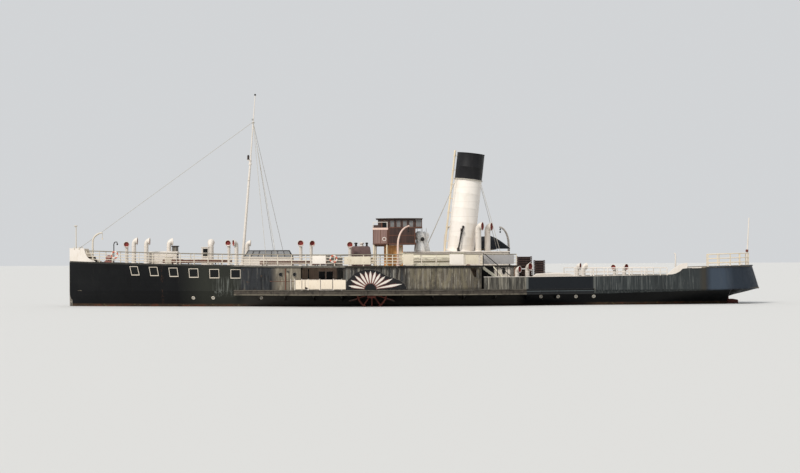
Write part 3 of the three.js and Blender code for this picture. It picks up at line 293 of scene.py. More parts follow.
def newPiece(name, paint, slot, body="ship", replaces=(), sharpness=35, bevel=0.0):
    mesh = bpy.data.meshes.new(name)
    mesh.from_pydata([tuple(shipScale * c for c in p) for p in shape["points"]], [], shape["faces"])
    names = paint if isinstance(paint, (list, tuple)) else [paint]
    for each in names:
        mesh.materials.append(paints[each])
    for face, tone in zip(mesh.polygons, shape["tones"]):
        face.material_index = tone
    work = bmesh.new()
    work.from_mesh(mesh)
    if shape["weld"]:
        bmesh.ops.remove_doubles(work, verts=work.verts, dist=2e-5)
        bmesh.ops.dissolve_degenerate(work, edges=work.edges, dist=1e-6)
    bmesh.ops.recalc_face_normals(work, faces=work.faces)
    work.to_mesh(mesh)
    work.free()
    mesh.shade_smooth()
    mesh.set_sharp_from_angle(angle=radians(sharpness))
    obj = placed(name, mesh)
    if bevel:
        softEdges = obj.modifiers.new("softEdges", "BEVEL")
        softEdges.width = bevel * shipScale
        softEdges.segments = 2
        softEdges.limit_method = "ANGLE"
        softEdges.angle_limit = radians(40)
    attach(obj, body)
    if replaces:
        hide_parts(*replaces)
    shape.update(points=[], faces=[], tones=[], weld=False, side=1)
    return obj


# Paints: a base colour under layers of streaks, patches, boards, plates and bands
def linear(r, g, b):
    return tuple(((c / 255 + 0.055) / 1.055) ** 2.4 if c > 10 else c / 255 / 12.92
        for c in (r, g, b)) + (1.0,)


class Paint:
    def __init__(self, name, color, roughness=0.5, metallic=0.0, gloss=0.5):
        self.material = bpy.data.materials.new(name)
        self.material.use_nodes = True
        self.material.diffuse_color = linear(*color)
        self.tree = self.material.node_tree
        self.shader = self.tree.nodes["Principled BSDF"]
        setInputs(self.shader, Roughness=roughness, Metallic=metallic, Specular_IOR_Level=gloss)
        self.base = linear(*color)
        self.color = None
        self.height = None
        self.seed = sum(map(ord, name)) % 97
        place = self.tree.nodes.new("ShaderNodeTexCoord")
        size = self.node("ShaderNodeVectorMath", operation="SCALE")
        size.inputs["Scale"].default_value = 1 / shipScale  # back to the real ship's metres
        self.link(place.outputs["Object"], size.inputs[0])
        self.place = size.outputs[0]
        axes = self.node("ShaderNodeSeparateXYZ")
        self.link(self.place, axes.inputs[0])
        self.axes = dict(zip("xyz", axes.outputs))

    def node(self, kind, **settings):
        made = self.tree.nodes.new(kind)
        for key, value in settings.items():
            setattr(made, key, value)
        return made

    def link(self, out, into):
        self.tree.links.new(out, into)

    def math(self, operation, a, b=None):
        made = self.node("ShaderNodeMath", operation=operation)
        for socket, value in zip(made.inputs, (a, b)):
            if isinstance(value, (int, float)):
                socket.default_value = value
            elif value is not None:
                self.link(value, socket)
        return made.outputs[0]

    def times(self, a, b):
        return self.math("MULTIPLY", a, b)

    def ramp(self, value, low, high, start=0.0, end=1.0):
        made = self.node("ShaderNodeMapRange", clamp=True)
        setInputs(made, From_Min=low, From_Max=high, To_Min=start, To_Max=end)
        self.link(value, made.inputs["Value"])
        return made.outputs[0]

    # Noise with its own grain size along each axis, each call from another place
    def noise(self, grain, detail=4):
        self.seed += 1
        mapping = self.node("ShaderNodeMapping")
        setInputs(mapping, Scale=[1 / g for g in grain], Location=[self.seed * c for c in (7.3, 3.1, 5.7)])
        self.link(self.place, mapping.inputs["Vector"])
        made = self.node("ShaderNodeTexNoise")
        setInputs(made, Scale=1, Detail=detail, Roughness=0.6)
        self.link(mapping.outputs[0], made.inputs["Vector"])
        return made.outputs["Fac"]

    def cover(self, color, mask, amount=1.0, within=None):
        if amount != 1.0:
            mask = self.times(mask, amount)
        if within is not None:
            mask = self.times(mask, within)
        mix = self.node("ShaderNodeMix", data_type="RGBA")
        mix.inputs["B"].default_value = linear(*color)
        if self.color is None:
            mix.inputs["A"].default_value = self.base
        else:
            self.link(self.color, mix.inputs["A"])
        self.link(mask, mix.inputs["Factor"])
        self.color = mix.outputs["Result"]
        return self

    # 1 between two places along an axis, fading at each end
    def zone(self, axis, low, high, soft=0.05):
        rising = self.ramp(self.axes[axis], low - soft, low + soft)
        falling = self.ramp(self.axes[axis], high - soft, high + soft, 1.0, 0.0)
        return self.times(rising, falling)

    # Runs of dirt or wear, long along one axis
    def streaks(self, color, low=0.5, high=0.7, width=0.2, length=2.5, amount=1.0, axis="z", within=None):
        grain = [width] * 3
        grain["xyz".index(axis)] = length
        return self.cover(color, self.ramp(self.noise(grain), low, high), amount, within)

    def patches(self, color, low=0.5, high=0.65, size=1.0, amount=1.0, within=None):
        return self.cover(color, self.ramp(self.noise([size] * 3, 6), low, high), amount, within)

    def band(self, color, axis, low, high, soft=0.03, amount=1.0, within=None):
        return self.cover(color, self.zone(axis, low, high, soft), amount, within)

    # Boards side by side along an axis, each lighter or darker, with a dark seam between
    def boards(self, axis, width, dark, light, amount=0.4, seam=0.012, within=None):
        share = self.math("DIVIDE", self.axes[axis], width)
        number = self.math("FLOOR", share)
        white = self.node("ShaderNodeTexWhiteNoise", noise_dimensions="1D")
        self.link(self.math("ADD", number, 13.7 + self.seed), white.inputs["W"])
        self.cover(dark, self.ramp(white.outputs["Value"], 0.5, 0.0), amount, within)
        self.cover(light, self.ramp(white.outputs["Value"], 0.5, 1.0), amount, within)
        middle = self.math("ABSOLUTE", self.math("SUBTRACT", self.math("SUBTRACT", share, number), 0.5))
        edge = self.ramp(middle, 0.5 - seam / width, 0.5 - seam / width * 0.3)
        self.addHeight(self.math("SUBTRACT", 1.0, edge), 0.6)
        return self.cover(dark, edge, 0.85, within)

    # Lap or butt lines of plating
    def plates(self, axis, width, line, color, amount=0.5, offset=0.0, within=None):
        share = self.math("DIVIDE", self.math("ADD", self.axes[axis], offset), width)
        part = self.math("SUBTRACT", share, self.math("FLOOR", share))
        mask = self.math("LESS_THAN", part, line / width)
        self.addHeight(self.math("SUBTRACT", 1.0, mask), 0.3)
        return self.cover(color, mask, amount, within)

    def addHeight(self, value, weight):
        part = self.times(value, weight)
        self.height = part if self.height is None else self.math("ADD", self.height, part)

    def finish(self, low=0.4, high=0.7, grain=0.4, bump=0.15):
        rough = self.noise([grain] * 3, 5)
        self.addHeight(rough, 0.4)
        self.link(self.ramp(rough, 0.3, 0.7, low, high), self.shader.inputs["Roughness"])
        if self.color is not None:
            self.link(self.color, self.shader.inputs["Base Color"])
        else:
            self.shader.inputs["Base Color"].default_value = self.base
        relief = self.node("ShaderNodeBump")
        setInputs(relief, Strength=bump, Distance=0.02)
        self.link(self.height, relief.inputs["Height"])
        self.link(relief.outputs[0], self.shader.inputs["Normal"])
        return self.material


# Weathered sides abaft the sponson: navy, then grey with pale runs, then blue round the stern
def afterSides(paint, within):
    def part(low, high, soft):
        return paint.times(within, paint.zone("x", low, high, soft))

    paint.cover((22, 26, 31), within)
    paint.cover((48, 52, 53), part(16.15, 26.1, 0.25))
    paint.streaks((112, 116, 114), 0.52, 0.66, 0.11, 3.4, 0.45, within=part(16.2, 25.6, 0.3))
    paint.streaks((24, 27, 29), 0.52, 0.68, 0.25, 3.0, 0.6, within=part(16.2, 25.6, 0.3))
    paint.streaks((150, 152, 146), 0.63, 0.72, 0.08, 1.4, 0.45, within=part(16.0, 25.0, 0.2))
    paint.cover((110, 112, 108), part(16.1, 16.3, 0.03), 0.6)
    paint.cover((62, 58, 50), part(25.9, 26.5, 0.2), 0.7)
    paint.cover((58, 68, 80), part(26.6, 33, 0.3))
    paint.streaks((84, 88, 94), 0.5, 0.75, 0.9, 4, 0.4, within=part(26.5, 33, 0.3))
    paint.cover((30, 37, 46), part(28.6, 33, 0.5), 0.8)
    paint.streaks((22, 27, 33), 0.52, 0.72, 0.6, 4, 0.4, within=part(28.0, 33, 0.3))


def hullPaint():
    paint = Paint("hullPaint", (15, 16, 18), gloss=0.14)
    paint.patches((28, 29, 30), 0.5, 0.75, 3.0, 0.5)
    paint.streaks((50, 48, 43), 0.6, 0.8, 0.25, 3.5, 0.35)
    paint.streaks((8, 8, 9), 0.55, 0.75, 0.5, 4, 0.6)
    paint.plates("x", 2.4, 0.03, (6, 6, 7), 0.5)
    paint.plates("z", 1.16, 0.02, (36, 35, 34), 0.3, 0.1)
    mossy = paint.zone("x", -20.2, -15.2, 1.2)
    paint.cover((60, 62, 54), mossy, 0.5)
    low = paint.times(paint.zone("x", -18.1, -15.3, 0.1), paint.zone("z", 1.1, 2.5, 0.3))
    paint.streaks((140, 144, 138), 0.5, 0.62, 0.1, 6.0, 0.5, within=low)
    paint.streaks((104, 70, 48), 0.56, 0.66, 0.06, 2.6, 0.8, within=paint.zone("x", -22.95, -22.75, 0.05))
    paint.cover((9, 10, 11), paint.zone("x", 11.0, 40, 2.0), 0.9)
    # Under the sponson the black is lifted to a lighter grey, as painted light in the sponson's shadow, and
    # the boot-top's rust fades to a trace between the sponson's ends, as painted shade
    below = paint.times(paint.zone("x", -15.5, 9.5, 0.4), paint.zone("z", 0.1, 1.02, 0.05))
    paint.cover((70, 67, 62), below, 0.7)
    bootTop = paint.zone("z", -0.06, 0.24, 0.04)
    ends = paint.math("SUBTRACT", 1.0, paint.zone("x", -15.5, 15.8, 0.6))
    bootTop = paint.times(bootTop, paint.ramp(ends, 0.0, 1.0, 0.12, 1.0))
    paint.cover((72, 56, 42), bootTop, 0.85)
    paint.streaks((112, 62, 42), 0.52, 0.64, 1.4, 0.5, 0.6, within=bootTop)
    paint.streaks((126, 114, 76), 0.6, 0.68, 0.3, 0.4, 0.5, within=bootTop)
    paint.streaks((34, 28, 24), 0.54, 0.7, 0.8, 0.2, 0.8, within=bootTop)
    slant = paint.math("SUBTRACT", paint.axes["z"], paint.times(paint.axes["x"], 0.022))
    edge = paint.math("ADD", slant, paint.times(paint.noise([0.5] * 3, 5), 0.12))
    afterSides(paint, paint.times(paint.ramp(edge, 0.715, 0.755), paint.zone("x", 16.15, 40, 0.03)))
    paint.band((72, 30, 25), "z", -3, -0.05, 0.04)
    paint.patches((58, 60, 44), 0.5, 0.7, 0.8, 0.7, paint.zone("z", -3, -0.06, 0.05))
    return paint.finish(0.3, 0.6, 0.9, 0.12)


def stemPaint():
    paint = Paint("wornStem", (122, 116, 106))
    paint.streaks((44, 42, 40), 0.45, 0.6, 0.1, 1.2, 0.9)
    paint.patches((190, 182, 168), 0.55, 0.7, 0.3, 0.7)
    return paint.finish(0.5, 0.8, 0.2, 0.2)


def fenderPaint():
    paint = Paint("fenderTimber", (72, 66, 59), gloss=0.2)
    paint.streaks((96, 90, 80), 0.5, 0.72, 0.08, 2.4, 0.6, "x")
    paint.streaks((28, 27, 25), 0.5, 0.7, 0.3, 0.8, 0.7)
    paint.band((122, 116, 102), "z", 1.02, 1.1, 0.01, 0.7)
    paint.band((96, 92, 84), "z", 1.41, 1.485, 0.01, 0.5)
    paint.streaks((50, 46, 42), 0.5, 0.66, 0.7, 0.3, 0.7)
    paint.plates("x", 4.2, 0.025, (16, 15, 14), 0.8)
    after = paint.zone("x", 9.95, 40, 0.05)
    paint.cover((25, 28, 31), after, 0.94)
    paint.band((96, 104, 106), "z", 1.27, 1.33, 0.01, 0.7, after)
    return paint.finish(0.6, 0.9, 0.3, 0.3)


# Steel of the forward houses: black forward, bare grey-beige towards the gangway
def forwardHousePaint():
    paint = Paint("wornSteelHouse", (42, 44, 47), gloss=0.2)
    bare = paint.zone("x", -12.45, -9.0, 0.35)
    paint.streaks((104, 104, 98), 0.54, 0.68, 0.16, 1.8, 0.5)
    paint.streaks((16, 17, 19), 0.5, 0.66, 0.3, 2.0, 0.8)
    paint.cover((116, 108, 95), bare, 0.9)
    paint.streaks((176, 168, 150), 0.52, 0.7, 0.25, 1.2, 0.7, within=bare)
    paint.streaks((62, 58, 52), 0.55, 0.7, 0.14, 1.6, 0.8, within=bare)
    paint.patches((96, 70, 48), 0.62, 0.74, 0.35, 0.6)
    paint.plates("z", 1.02, 0.025, (26, 25, 24), 0.6, 0.6)
    paint.plates("x", 1.9, 0.02, (26, 25, 24), 0.5, 0.3)
    return paint.finish(0.55, 0.85, 0.4, 0.25)


# Bare boards of the paddle boxes and after houses
def boxPaint():
    paint = Paint("weatheredBoards", (78, 73, 67), gloss=0.2)
    paint.boards("x", 0.21, (24, 24, 25), (150, 145, 134), 0.6, 0.014)
    paint.streaks((66, 74, 80), 0.5, 0.66, 0.3, 2.4, 0.4)
    paint.streaks((188, 184, 172), 0.56, 0.68, 0.1, 1.8, 0.8)
    paint.streaks((18, 18, 19), 0.5, 0.62, 0.14, 2.2, 0.85)
    after = paint.zone("x", -0.4, 5.6, 0.5)
    paint.cover((124, 115, 100), after, 0.35)
    paint.streaks((128, 120, 98), 0.46, 0.62, 0.35, 1.4, 0.6, within=after)
    paint.streaks((176, 168, 146), 0.6, 0.7, 0.12, 0.8, 0.7, within=after)
    paint.patches((26, 26, 26), 0.54, 0.72, 0.9, 0.6)
    paint.band((38, 36, 34), "z", 1.2, 1.66, 0.1, 0.5)
    paint.band((30, 29, 28), "z", 3.36, 3.8, 0.06, 0.5)
    return paint.finish(0.65, 0.95, 0.12, 0.35)


# After bulwark: boards abreast of the stair, then dark sides with grey runs
def bulwarkPaint():
    paint = Paint("afterBulwarkPaint", (44, 48, 52), gloss=0.2)
    afterSides(paint, paint.zone("x", 9.9, 40, 0.04))
    boards = paint.zone("x", 5.0, 9.9, 0.03)
    paint.cover((120, 122, 118), paint.zone("x", 9.9, 10.1, 0.03), 0.7)
    paint.cover((90, 87, 80), boards)
    paint.boards("x", 0.2, (30, 30, 30), (156, 150, 136), 0.6, 0.014, boards)
    paint.streaks((20, 20, 20), 0.5, 0.62, 0.14, 1.8, 0.8, within=boards)
    paint.streaks((170, 166, 154), 0.58, 0.7, 0.1, 1.4, 0.7, within=boards)
    paint.plates("x", 2.3, 0.02, (20, 22, 24), 0.4, 0.4, paint.zone("x", 10.2, 25, 0.08))
    return paint.finish(0.4, 0.7, 0.3, 0.15)


def deckPaint():
    paint = Paint("deckPlanks", (126, 116, 100))
    paint.boards("y", 0.13, (42, 36, 30), (164, 154, 134), 0.35, 0.012)
    paint.patches((72, 64, 54), 0.5, 0.75, 2.2, 0.5)
    paint.streaks((92, 84, 72), 0.5, 0.7, 0.1, 2.0, 0.4, "x")
    return paint.finish(0.7, 0.95, 0.2, 0.25)


# The promenade deck's edge: grey forward, mossy brown over the wheels, then black
def deckEdgePaint():
    paint = Paint("deckEdgePaint", (120, 118, 112), gloss=0.2)
    paint.streaks((164, 160, 150), 0.5, 0.7, 0.1, 1.5, 0.6, "x")
    paint.cover((34, 33, 31), paint.zone("x", -40, -16.2, 0.4), 0.92)
    paint.cover((70, 66, 60), paint.zone("x", -16.2, -6.2, 0.4), 0.6)
    paint.streaks((54, 52, 48), 0.52, 0.7, 0.3, 0.6, 0.7)
    paint.band((44, 41, 35), "x", -6.15, -1.55, 0.08)
    paint.band((30, 29, 28), "x", -1.55, 40, 0.08)
    paint.streaks((112, 106, 96), 0.6, 0.72, 0.12, 1.2, 0.5, "x")
    return paint.finish(0.6, 0.9, 0.2, 0.25)


def agedWhite(name="whitePaint", color=(222, 214, 205), dirt=0.4, rust=0.45):
    paint = Paint(name, color)
    paint.streaks((178, 164, 140), 0.56, 0.78, 0.18, 1.0, dirt)
    paint.patches((146, 104, 68), 0.64, 0.76, 0.22, rust)
    paint.patches((206, 196, 180), 0.5, 0.7, 0.8, dirt)
    return paint.finish(0.35, 0.6, 0.3, 0.1)


def funnelPaint():
    paint = Paint("funnelPaint", (240, 233, 225))
    paint.streaks((222, 208, 186), 0.5, 0.75, 0.6, 5, 0.5)
    paint.streaks((150, 112, 80), 0.68, 0.8, 0.1, 2.5, 0.5)
    paint.patches((200, 190, 172), 0.55, 0.8, 1.2, 0.35)
    paint.plates("z", 1.35, 0.02, (176, 166, 152), 0.5)
    return paint.finish(0.3, 0.5, 0.5, 0.08)


def blackPaint():
    paint = Paint("funnelBlack", (27, 27, 29), gloss=0.2)
    paint.streaks((50, 48, 46), 0.55, 0.75, 0.4, 2, 0.6)
    paint.patches((14, 14, 15), 0.5, 0.7, 0.9, 0.6)
    return paint.finish(0.35, 0.6, 0.4, 0.1)


def varnish(name, base, light, dark, board=0.12, axis="x"):
    paint = Paint(name, base)
    paint.boards(axis, board, dark, light, 0.25, 0.008)
    paint.streaks(light, 0.5, 0.75, 0.05, 0.9, 0.4)
    paint.streaks(dark, 0.5, 0.72, 0.08, 1.4, 0.5)
    return paint.finish(0.3, 0.6, 0.15, 0.15)


def metalPaint(name, color, wear, metallic=0.3, amount=0.6):
    paint = Paint(name, color, metallic=metallic)
    paint.patches(wear, 0.56, 0.74, 0.25, amount)
    paint.streaks(tuple(c * 0.55 for c in color), 0.55, 0.72, 0.12, 0.7, 0.5)
    return paint.finish(0.45, 0.8, 0.2, 0.2)


def redLeadPaint():
    paint = Paint("redLead", (108, 50, 38))
    paint.patches((56, 34, 27), 0.45, 0.65, 0.35, 0.8)
    paint.patches((168, 108, 74), 0.6, 0.72, 0.16, 0.7)
    return paint.finish(0.6, 0.95, 0.2, 0.3)


def canvasPaint(name, color, dirt=(140, 130, 112), amount=0.45, specks=0.0):
    paint = Paint(name, color)
    paint.streaks(dirt, 0.54, 0.76, 0.22, 0.8, amount)
    paint.patches((132, 84, 50), 0.62, 0.7, 0.14, specks)
    paint.addHeight(paint.noise([0.02] * 3, 2), 0.6)
    return paint.finish(0.8, 0.95, 0.3, 0.2)


def glassPaint(name, color, roughness=0.1, gloss=0.8):
    paint = Paint(name, color, gloss=gloss)
    paint.patches(tuple(min(255, c * 1.9) for c in color), 0.55, 0.75, 0.6, 0.35)
    return paint.finish(roughness, roughness + 0.15, 0.5, 0.02)


def plainPaint(name, color, shade, low=0.4, high=0.7):
    paint = Paint(name, color)
    paint.patches(shade, 0.5, 0.72, 0.3, 0.6)
    return paint.finish(low, high, 0.2, 0.12)


paints = {
    "hull": hullPaint(),
    "stem": stemPaint(),
    "fender": fenderPaint(),
    "forwardHouse": forwardHousePaint(),
    "box": boxPaint(),
    "bulwark": bulwarkPaint(),
    "deck": deckPaint(),
    "deckEdge": deckEdgePaint(),
    "white": agedWhite(),
    "worn": agedWhite("wornWhite", (212, 202, 186), 0.8, 0.9),
    "cream": agedWhite("creamPaint", (226, 210, 182), 0.6, 0.6),
    "pinkish": agedWhite("fadedPinkWhite", (222, 192, 178), 0.7, 0.9),
    "funnel": funnelPaint(),
    "black": blackPaint(),
    # orangeVarnish is painted lighter than the varnish itself, as painted sunlight on the house under the
    # bridge, which lies in shade
    "orange": varnish("orangeVarnish", (240, 176, 104), (252, 214, 160), (204, 132, 66)),
    "teak": varnish("teak", (104, 66, 50), (150, 104, 82), (48, 28, 22)),
    "dark": varnish("darkVarnish", (60, 40, 34), (104, 72, 62), (26, 17, 15)),
    "roof": varnish("roofPaint", (58, 42, 32), (84, 64, 50), (30, 22, 18), 0.3, "y"),
    "pinkBrown": varnish("pinkBrownPanel", (128, 100, 92), (160, 130, 120), (84, 60, 54), 0.4),
    # gangwayBrown is painted far lighter than the brown boards, as painted light in the shade under the
    # promenade deck
    "brownWall": varnish("gangwayBrown", (214, 182, 158), (240, 210, 186), (130, 108, 94), 0.3),
    "greyBoards": varnish("greyBoards", (112, 108, 102), (156, 150, 140), (54, 52, 50), 0.16),
    "redTrim": plainPaint("redTrim", (150, 98, 90), (112, 66, 60)),
    "darkRed": plainPaint("darkRedInside", (132, 44, 38), (80, 26, 24)),
    "stove": varnish("stovePurple", (96, 72, 70), (122, 96, 92), (62, 44, 42), 0.5),
    "iron": metalPaint("darkIron", (46, 44, 43), (92, 60, 40)),
    # greyGearCover is painted near white, lighter than the grey canvas, as painted light against the shade
    # between the two covers
    "greyGear": plainPaint("greyGearCover", (250, 249, 247), (226, 224, 222), 0.7, 0.9),
    "redLead": redLeadPaint(),
    "wetTimber": varnish("wetTimber", (66, 50, 42), (110, 88, 74), (30, 24, 22), 0.2, "y"),
    "railWood": varnish("railWood", (128, 120, 104), (164, 154, 136), (76, 70, 60), 0.9),
    "gangCanvas": canvasPaint("gangwayCanvas", (222, 209, 190), (196, 180, 150), 0.45, 0.3),
    "creamCanvas": canvasPaint("creamCanvas", (212, 202, 182), (182, 168, 138), 0.4, 0.7),
    "whiteCanvas": canvasPaint("whiteCanvas", (226, 218, 208), (190, 180, 166), 0.3),
    "greyCanvas": canvasPaint("greyCanvas", (158, 156, 156), (112, 110, 110), 0.5),
    "tarpaulin": canvasPaint("tarpaulin", (34, 38, 44), (60, 64, 70), 0.4),
    "glass": glassPaint("windowGlass", (17, 19, 20), 0.3, 0.2),
    "skyGlass": glassPaint("skylightGlass", (112, 112, 112), 0.2),
    "wire": metalPaint("wireRope", (176, 170, 158), (104, 96, 84), 0.2),
    "rope": canvasPaint("manilaRope", (64, 54, 44), (100, 86, 68), 0.5),
    "buoyOrange": plainPaint("lifebuoyOrange", (196, 104, 80), (160, 78, 60)),
    "brass": metalPaint("oldBrass", (150, 118, 60), (84, 66, 40), 0.8),
    "lampGlass": glassPaint("lampGlass", (150, 150, 146), 0.1),
    "creamBoat": agedWhite("boatPaint", (242, 236, 214), 0.25, 0.3),
    "boatWood": plainPaint("boatGunwale", (196, 190, 168), (164, 158, 138)),
}
print("paints mixed:", len(paints))

random.seed(11)  # boards' depths and small dents, the same each run
sideWords = {-1: "port", 1: "starboard"}


# One piece a side; {} in a node or body stands for port or starboard
def sidePieces(name, make, paint, slot, replaces=(), body="ship", **looks):
    for side, word in sideWords.items():
        shape["side"] = side
        make()
        newPiece(word + name, paint, slot, body.format(word), [n.format(word) for n in replaces], **looks)


# A panel on columns and rows with a thickness, open in the cells that openCells names
def addPanel(columns, rows, place, openCells=(), tone=0):
    points = []
    index = {}

    def corner(i, j, back):
        if (i, j, back) not in index:
            index[(i, j, back)] = len(points)
            points.append(place(columns[i], rows[j], back))
        return index[(i, j, back)]

    cells = {(i, j) for i in range(len(columns) - 1) for j in range(len(rows) - 1)} - set(openCells)
    faces = []
    for i, j in sorted(cells):
        ring = [(i, j), (i + 1, j), (i + 1, j + 1), (i, j + 1)]
        faces.append(tuple(corner(a, b, False) for a, b in ring))
        faces.append(tuple(corner(a, b, True) for a, b in reversed(ring)))
        for (di, dj), (a, b) in zip([(0, -1), (1, 0), (0, 1), (-1, 0)], zip(ring, ring[1:] + ring[:1])):
            if (i + di, j + dj) not in cells:
                faces.append((corner(*b, False), corner(*a, False), corner(*a, True), corner(*b, True)))
    addFaces(points, faces, tone)


def insideCells(columns, rows, openings):
    cells = []
    for i in range(len(columns) - 1):
        for j in range(len(rows) - 1):
            x, z = (columns[i] + columns[i + 1]) / 2, (rows[j] + rows[j + 1]) / 2
            if any(x0 < x < x1 and z0 < z < z1 for x0, x1, z0, z1 in openings):
                cells.append((i, j))
    return cells


# Hull below the main deck
hullShares = [0, 0.015, 0.04, 0.08, 0.13, 0.2, 0.3, 0.42, 0.56, 0.7, 0.85, 1]


def bodyHalf(x, z):
    bottom = straightAt(bodyStations, x)
    share = min(max((z - bottom) / (ship["mainDeckUnder"] - bottom), 0.004), 1)
    return mainHalf(x) * share ** (1 / smoothAt(bodyStations, x, 2))


def makeHull():
    places = spread(-31.85, 28.75, 100) + [s[0] for s in bodyStations] + spread(28.9, 31.92, 16)
    rings = []
    for x in sorted(set(places)):
        bottom = straightAt(bodyStations, x)
        heights = [bottom + t * (ship["mainDeckUnder"] - bottom) for t in hullShares]
        rings.append([(x, bodyHalf(x, z), z) for z in heights]
            + [(x, -bodyHalf(x, z), z) for z in reversed(heights)])
    addLoft(rings)
    newPiece("hullSkin", "hull", "hull_black", replaces=["hull"], sharpness=40)

    addBox((-31, -0.09, ship["keelBottom"]), (28.8, 0.09, ship["bodyBottom"] + 0.02))
    addBox((28.7, -0.09, ship["keelBottom"]), (30.1, 0.09, ship["bodyBottom"] - 0.02))
    newPiece("barKeel", "hull", "hull_black", bevel=0.02)


# Knees under the sponsons, a bracket of plate with a flange along its lower edge
knees = {"places": [-14, -11.6, -9, -6.5, -1.1, 1.6, 4.4, 7.2, 10, 12.6], "from": 4.4, "foot": 0.45,
    "short": 0.35}


def makeKnees():
    for x in knees["places"]:
        reach = edgeHalf(x) - knees["short"]
        for half, drop in ((0.02, 0.0), (0.06, 0.05)):
            low, high = knees["foot"], 0.995
            inner = (low + 0.05, high) if drop == 0 else (low, low + drop)
            outer = (high - 0.05, high) if drop == 0 else (high - 0.06, high - 0.06 + drop)
            addLoft([[(x + h, knees["from"], inner[0]), (x + h, reach, outer[0]), (x + h, reach, outer[1]),
                (x + h, knees["from"], inner[1])] for h in (-half, half)])


scuttles = {"radius": 0.13, "z": 0.79, "places": [-19.98, -18.16, -13.8, 11.38, 12.92, 14.53, 16.14]}


def addScuttles():
    for x in scuttles["places"]:
        z = scuttles["z"]
        lean = (bodyHalf(x + 0.1, z) - bodyHalf(x - 0.1, z)) / 0.2
        rise = (bodyHalf(x, z + 0.1) - bodyHalf(x, z - 0.1)) / 0.2
        out = Vector((-lean, 1, -rise)).normalized()
        centre = Vector((x, bodyHalf(x, z), z))
        addDisc(centre - out * 0.02, out, scuttles["radius"] * 0.78, 0.035, tone=1)
        addRing(centre + out * 0.01, out, scuttles["radius"], 0.035)


# Ship's sides forward, from the main deck to the promenade deck, with leaning saloon windows
# Columns: x, lean of the top forward, height of the middle, width
saloonWindows = [(-25.4, 0.17, 3.26, 0.66), (-23.58, 0.13, 3.2, 0.68), (-21.75, 0.1, 3.12, 0.71),
    (-19.9, 0.05, 3.04, 0.76), (-18.01, 0.03, 2.98, 0.78), (-16.08, 0.0, 2.95, 0.8)]
saloon = {"height": 0.7, "wall": 0.08, "frame": 0.055, "sill": 0.075, "foot": 1.412}


def saloonMiddle(x):
    return straightAt(saloonWindows, x, 2)


def leaned(x, z):
    up = min(max((z - saloonMiddle(x)) / saloon["height"], -0.5), 0.5)
    return x - straightAt(saloonWindows, x) * up


def makeForwardSide():
    edges = [w + sign * width / 2 for w, _, _, width in saloonWindows for sign in bothSides]
    columns = [x for x in spread(-31.85, -15.5, 60) if min(abs(x - e) for e in edges) > 0.06]
    columns = sorted(columns + edges)

    def place(x, row, back):
        middle, half = saloonMiddle(x), saloon["height"] / 2
        levels = [saloon["foot"], 1.9, 2.3, middle - half, middle + half,
            promenadeAt(x) - ship["promenadeThickness"]]
        z = levels[row]
        at = leaned(x, z) if x > -27 else x
        y = max(sideAt(at, z) + 0.006 - (saloon["wall"] if back else 0), 0.01)
        return (at, y, z)

    openCells = []
    for i, (a, b) in enumerate(zip(columns, columns[1:])):
        if any(abs((a + b) / 2 - w) < width / 2 for w, _, _, width in saloonWindows):
            openCells.append((i, 3))
    addPanel(columns, list(range(6)), place, openCells)


def addSaloonWindows():
    for x, _, _, width in saloonWindows:
        middle = saloonMiddle(x)

        def place(u, d, w):
            at = leaned(x, middle + w) + u
            return (at, sideAt(at, middle + w) + d, middle + w)

        w, h, f = width / 2, saloon["height"] / 2, saloon["frame"]
        for u0, u1, low, high, out in ((-w - f, -w, -h - f, h + f, 0.03), (w, w + f, -h - f, h + f, 0.03),
                (-w, w, h, h + f, 0.03), (-w - f, w + f, -h - saloon["sill"], -h, 0.05)):
            addBox((u0, -0.05, low), (u1, out, high), 0, place)
        addBox((-w, -0.05, -h), (w, -0.025, h), 1, place)


# Stem bar, its edge worn to bare metal
def makeStem():
    # Columns: z, x of the stem's face, half breadth
    heights = [(-0.95, -31.78, 0.05), (-0.3, -31.86, 0.07), (1.5, -31.885, 0.09), (4.05, -31.885, 0.1)]
    rings = []
    for z, x, half in heights:
        rings.append([(x + 0.26, -half * 1.5, z), (x + 0.05, -half, z), (x, -half * 0.5, z),
            (x, half * 0.5, z), (x + 0.05, half, z), (x + 0.26, half * 1.5, z)])
    addLoft(rings)
    newPiece("stemBar", "stem", "rusty_iron", sharpness=60)


# Bow bulwark, white, its after edge curved down to the deck
bulwark = {"top": 5.33, "fall": 0.03, "curveFrom": -30.33, "end": -29.2, "wall": 0.05}


def bulwarkTop(x):
    straight = bulwark["top"] - (x - ship["bow"]) * bulwark["fall"]
    if x < bulwark["curveFrom"]:
        return straight
    t = (x - bulwark["curveFrom"]) / (bulwark["end"] - bulwark["curveFrom"])
    foot = promenadeAt(x) + 0.05
    return foot + (straight - foot) * (1 - t) / (1 + 4.5 * t)


def makeBowBulwark():
    columns = spread(ship["bow"], bulwark["curveFrom"], 12) + spread(-30.35, bulwark["end"], 12)

    def place(x, share, back):
        foot = promenadeAt(x) + 0.002
        z = foot + share * (bulwarkTop(x) - foot)
        flare = 0.06 * share
        y = sideAt(x, foot) + flare - (bulwark["wall"] if back else 0)
        return (x, max(y, 0.012 if back else 0.02), z)

    def lining(x, share, back):
        _, y, z = place(x, share, True)
        return (x, max(abs(y) - (0.012 if back else 0.002), 0.01), z - 0.002)

    addPanel(columns, spread(0, 1, 6), place)
    addPanel(columns[2:], spread(0, 1, 6), lining, tone=1)
    addTube([(x, max(sideAt(x, promenadeAt(x)) + 0.03, 0.03), bulwarkTop(x)) for x in columns], 0.035, 8)


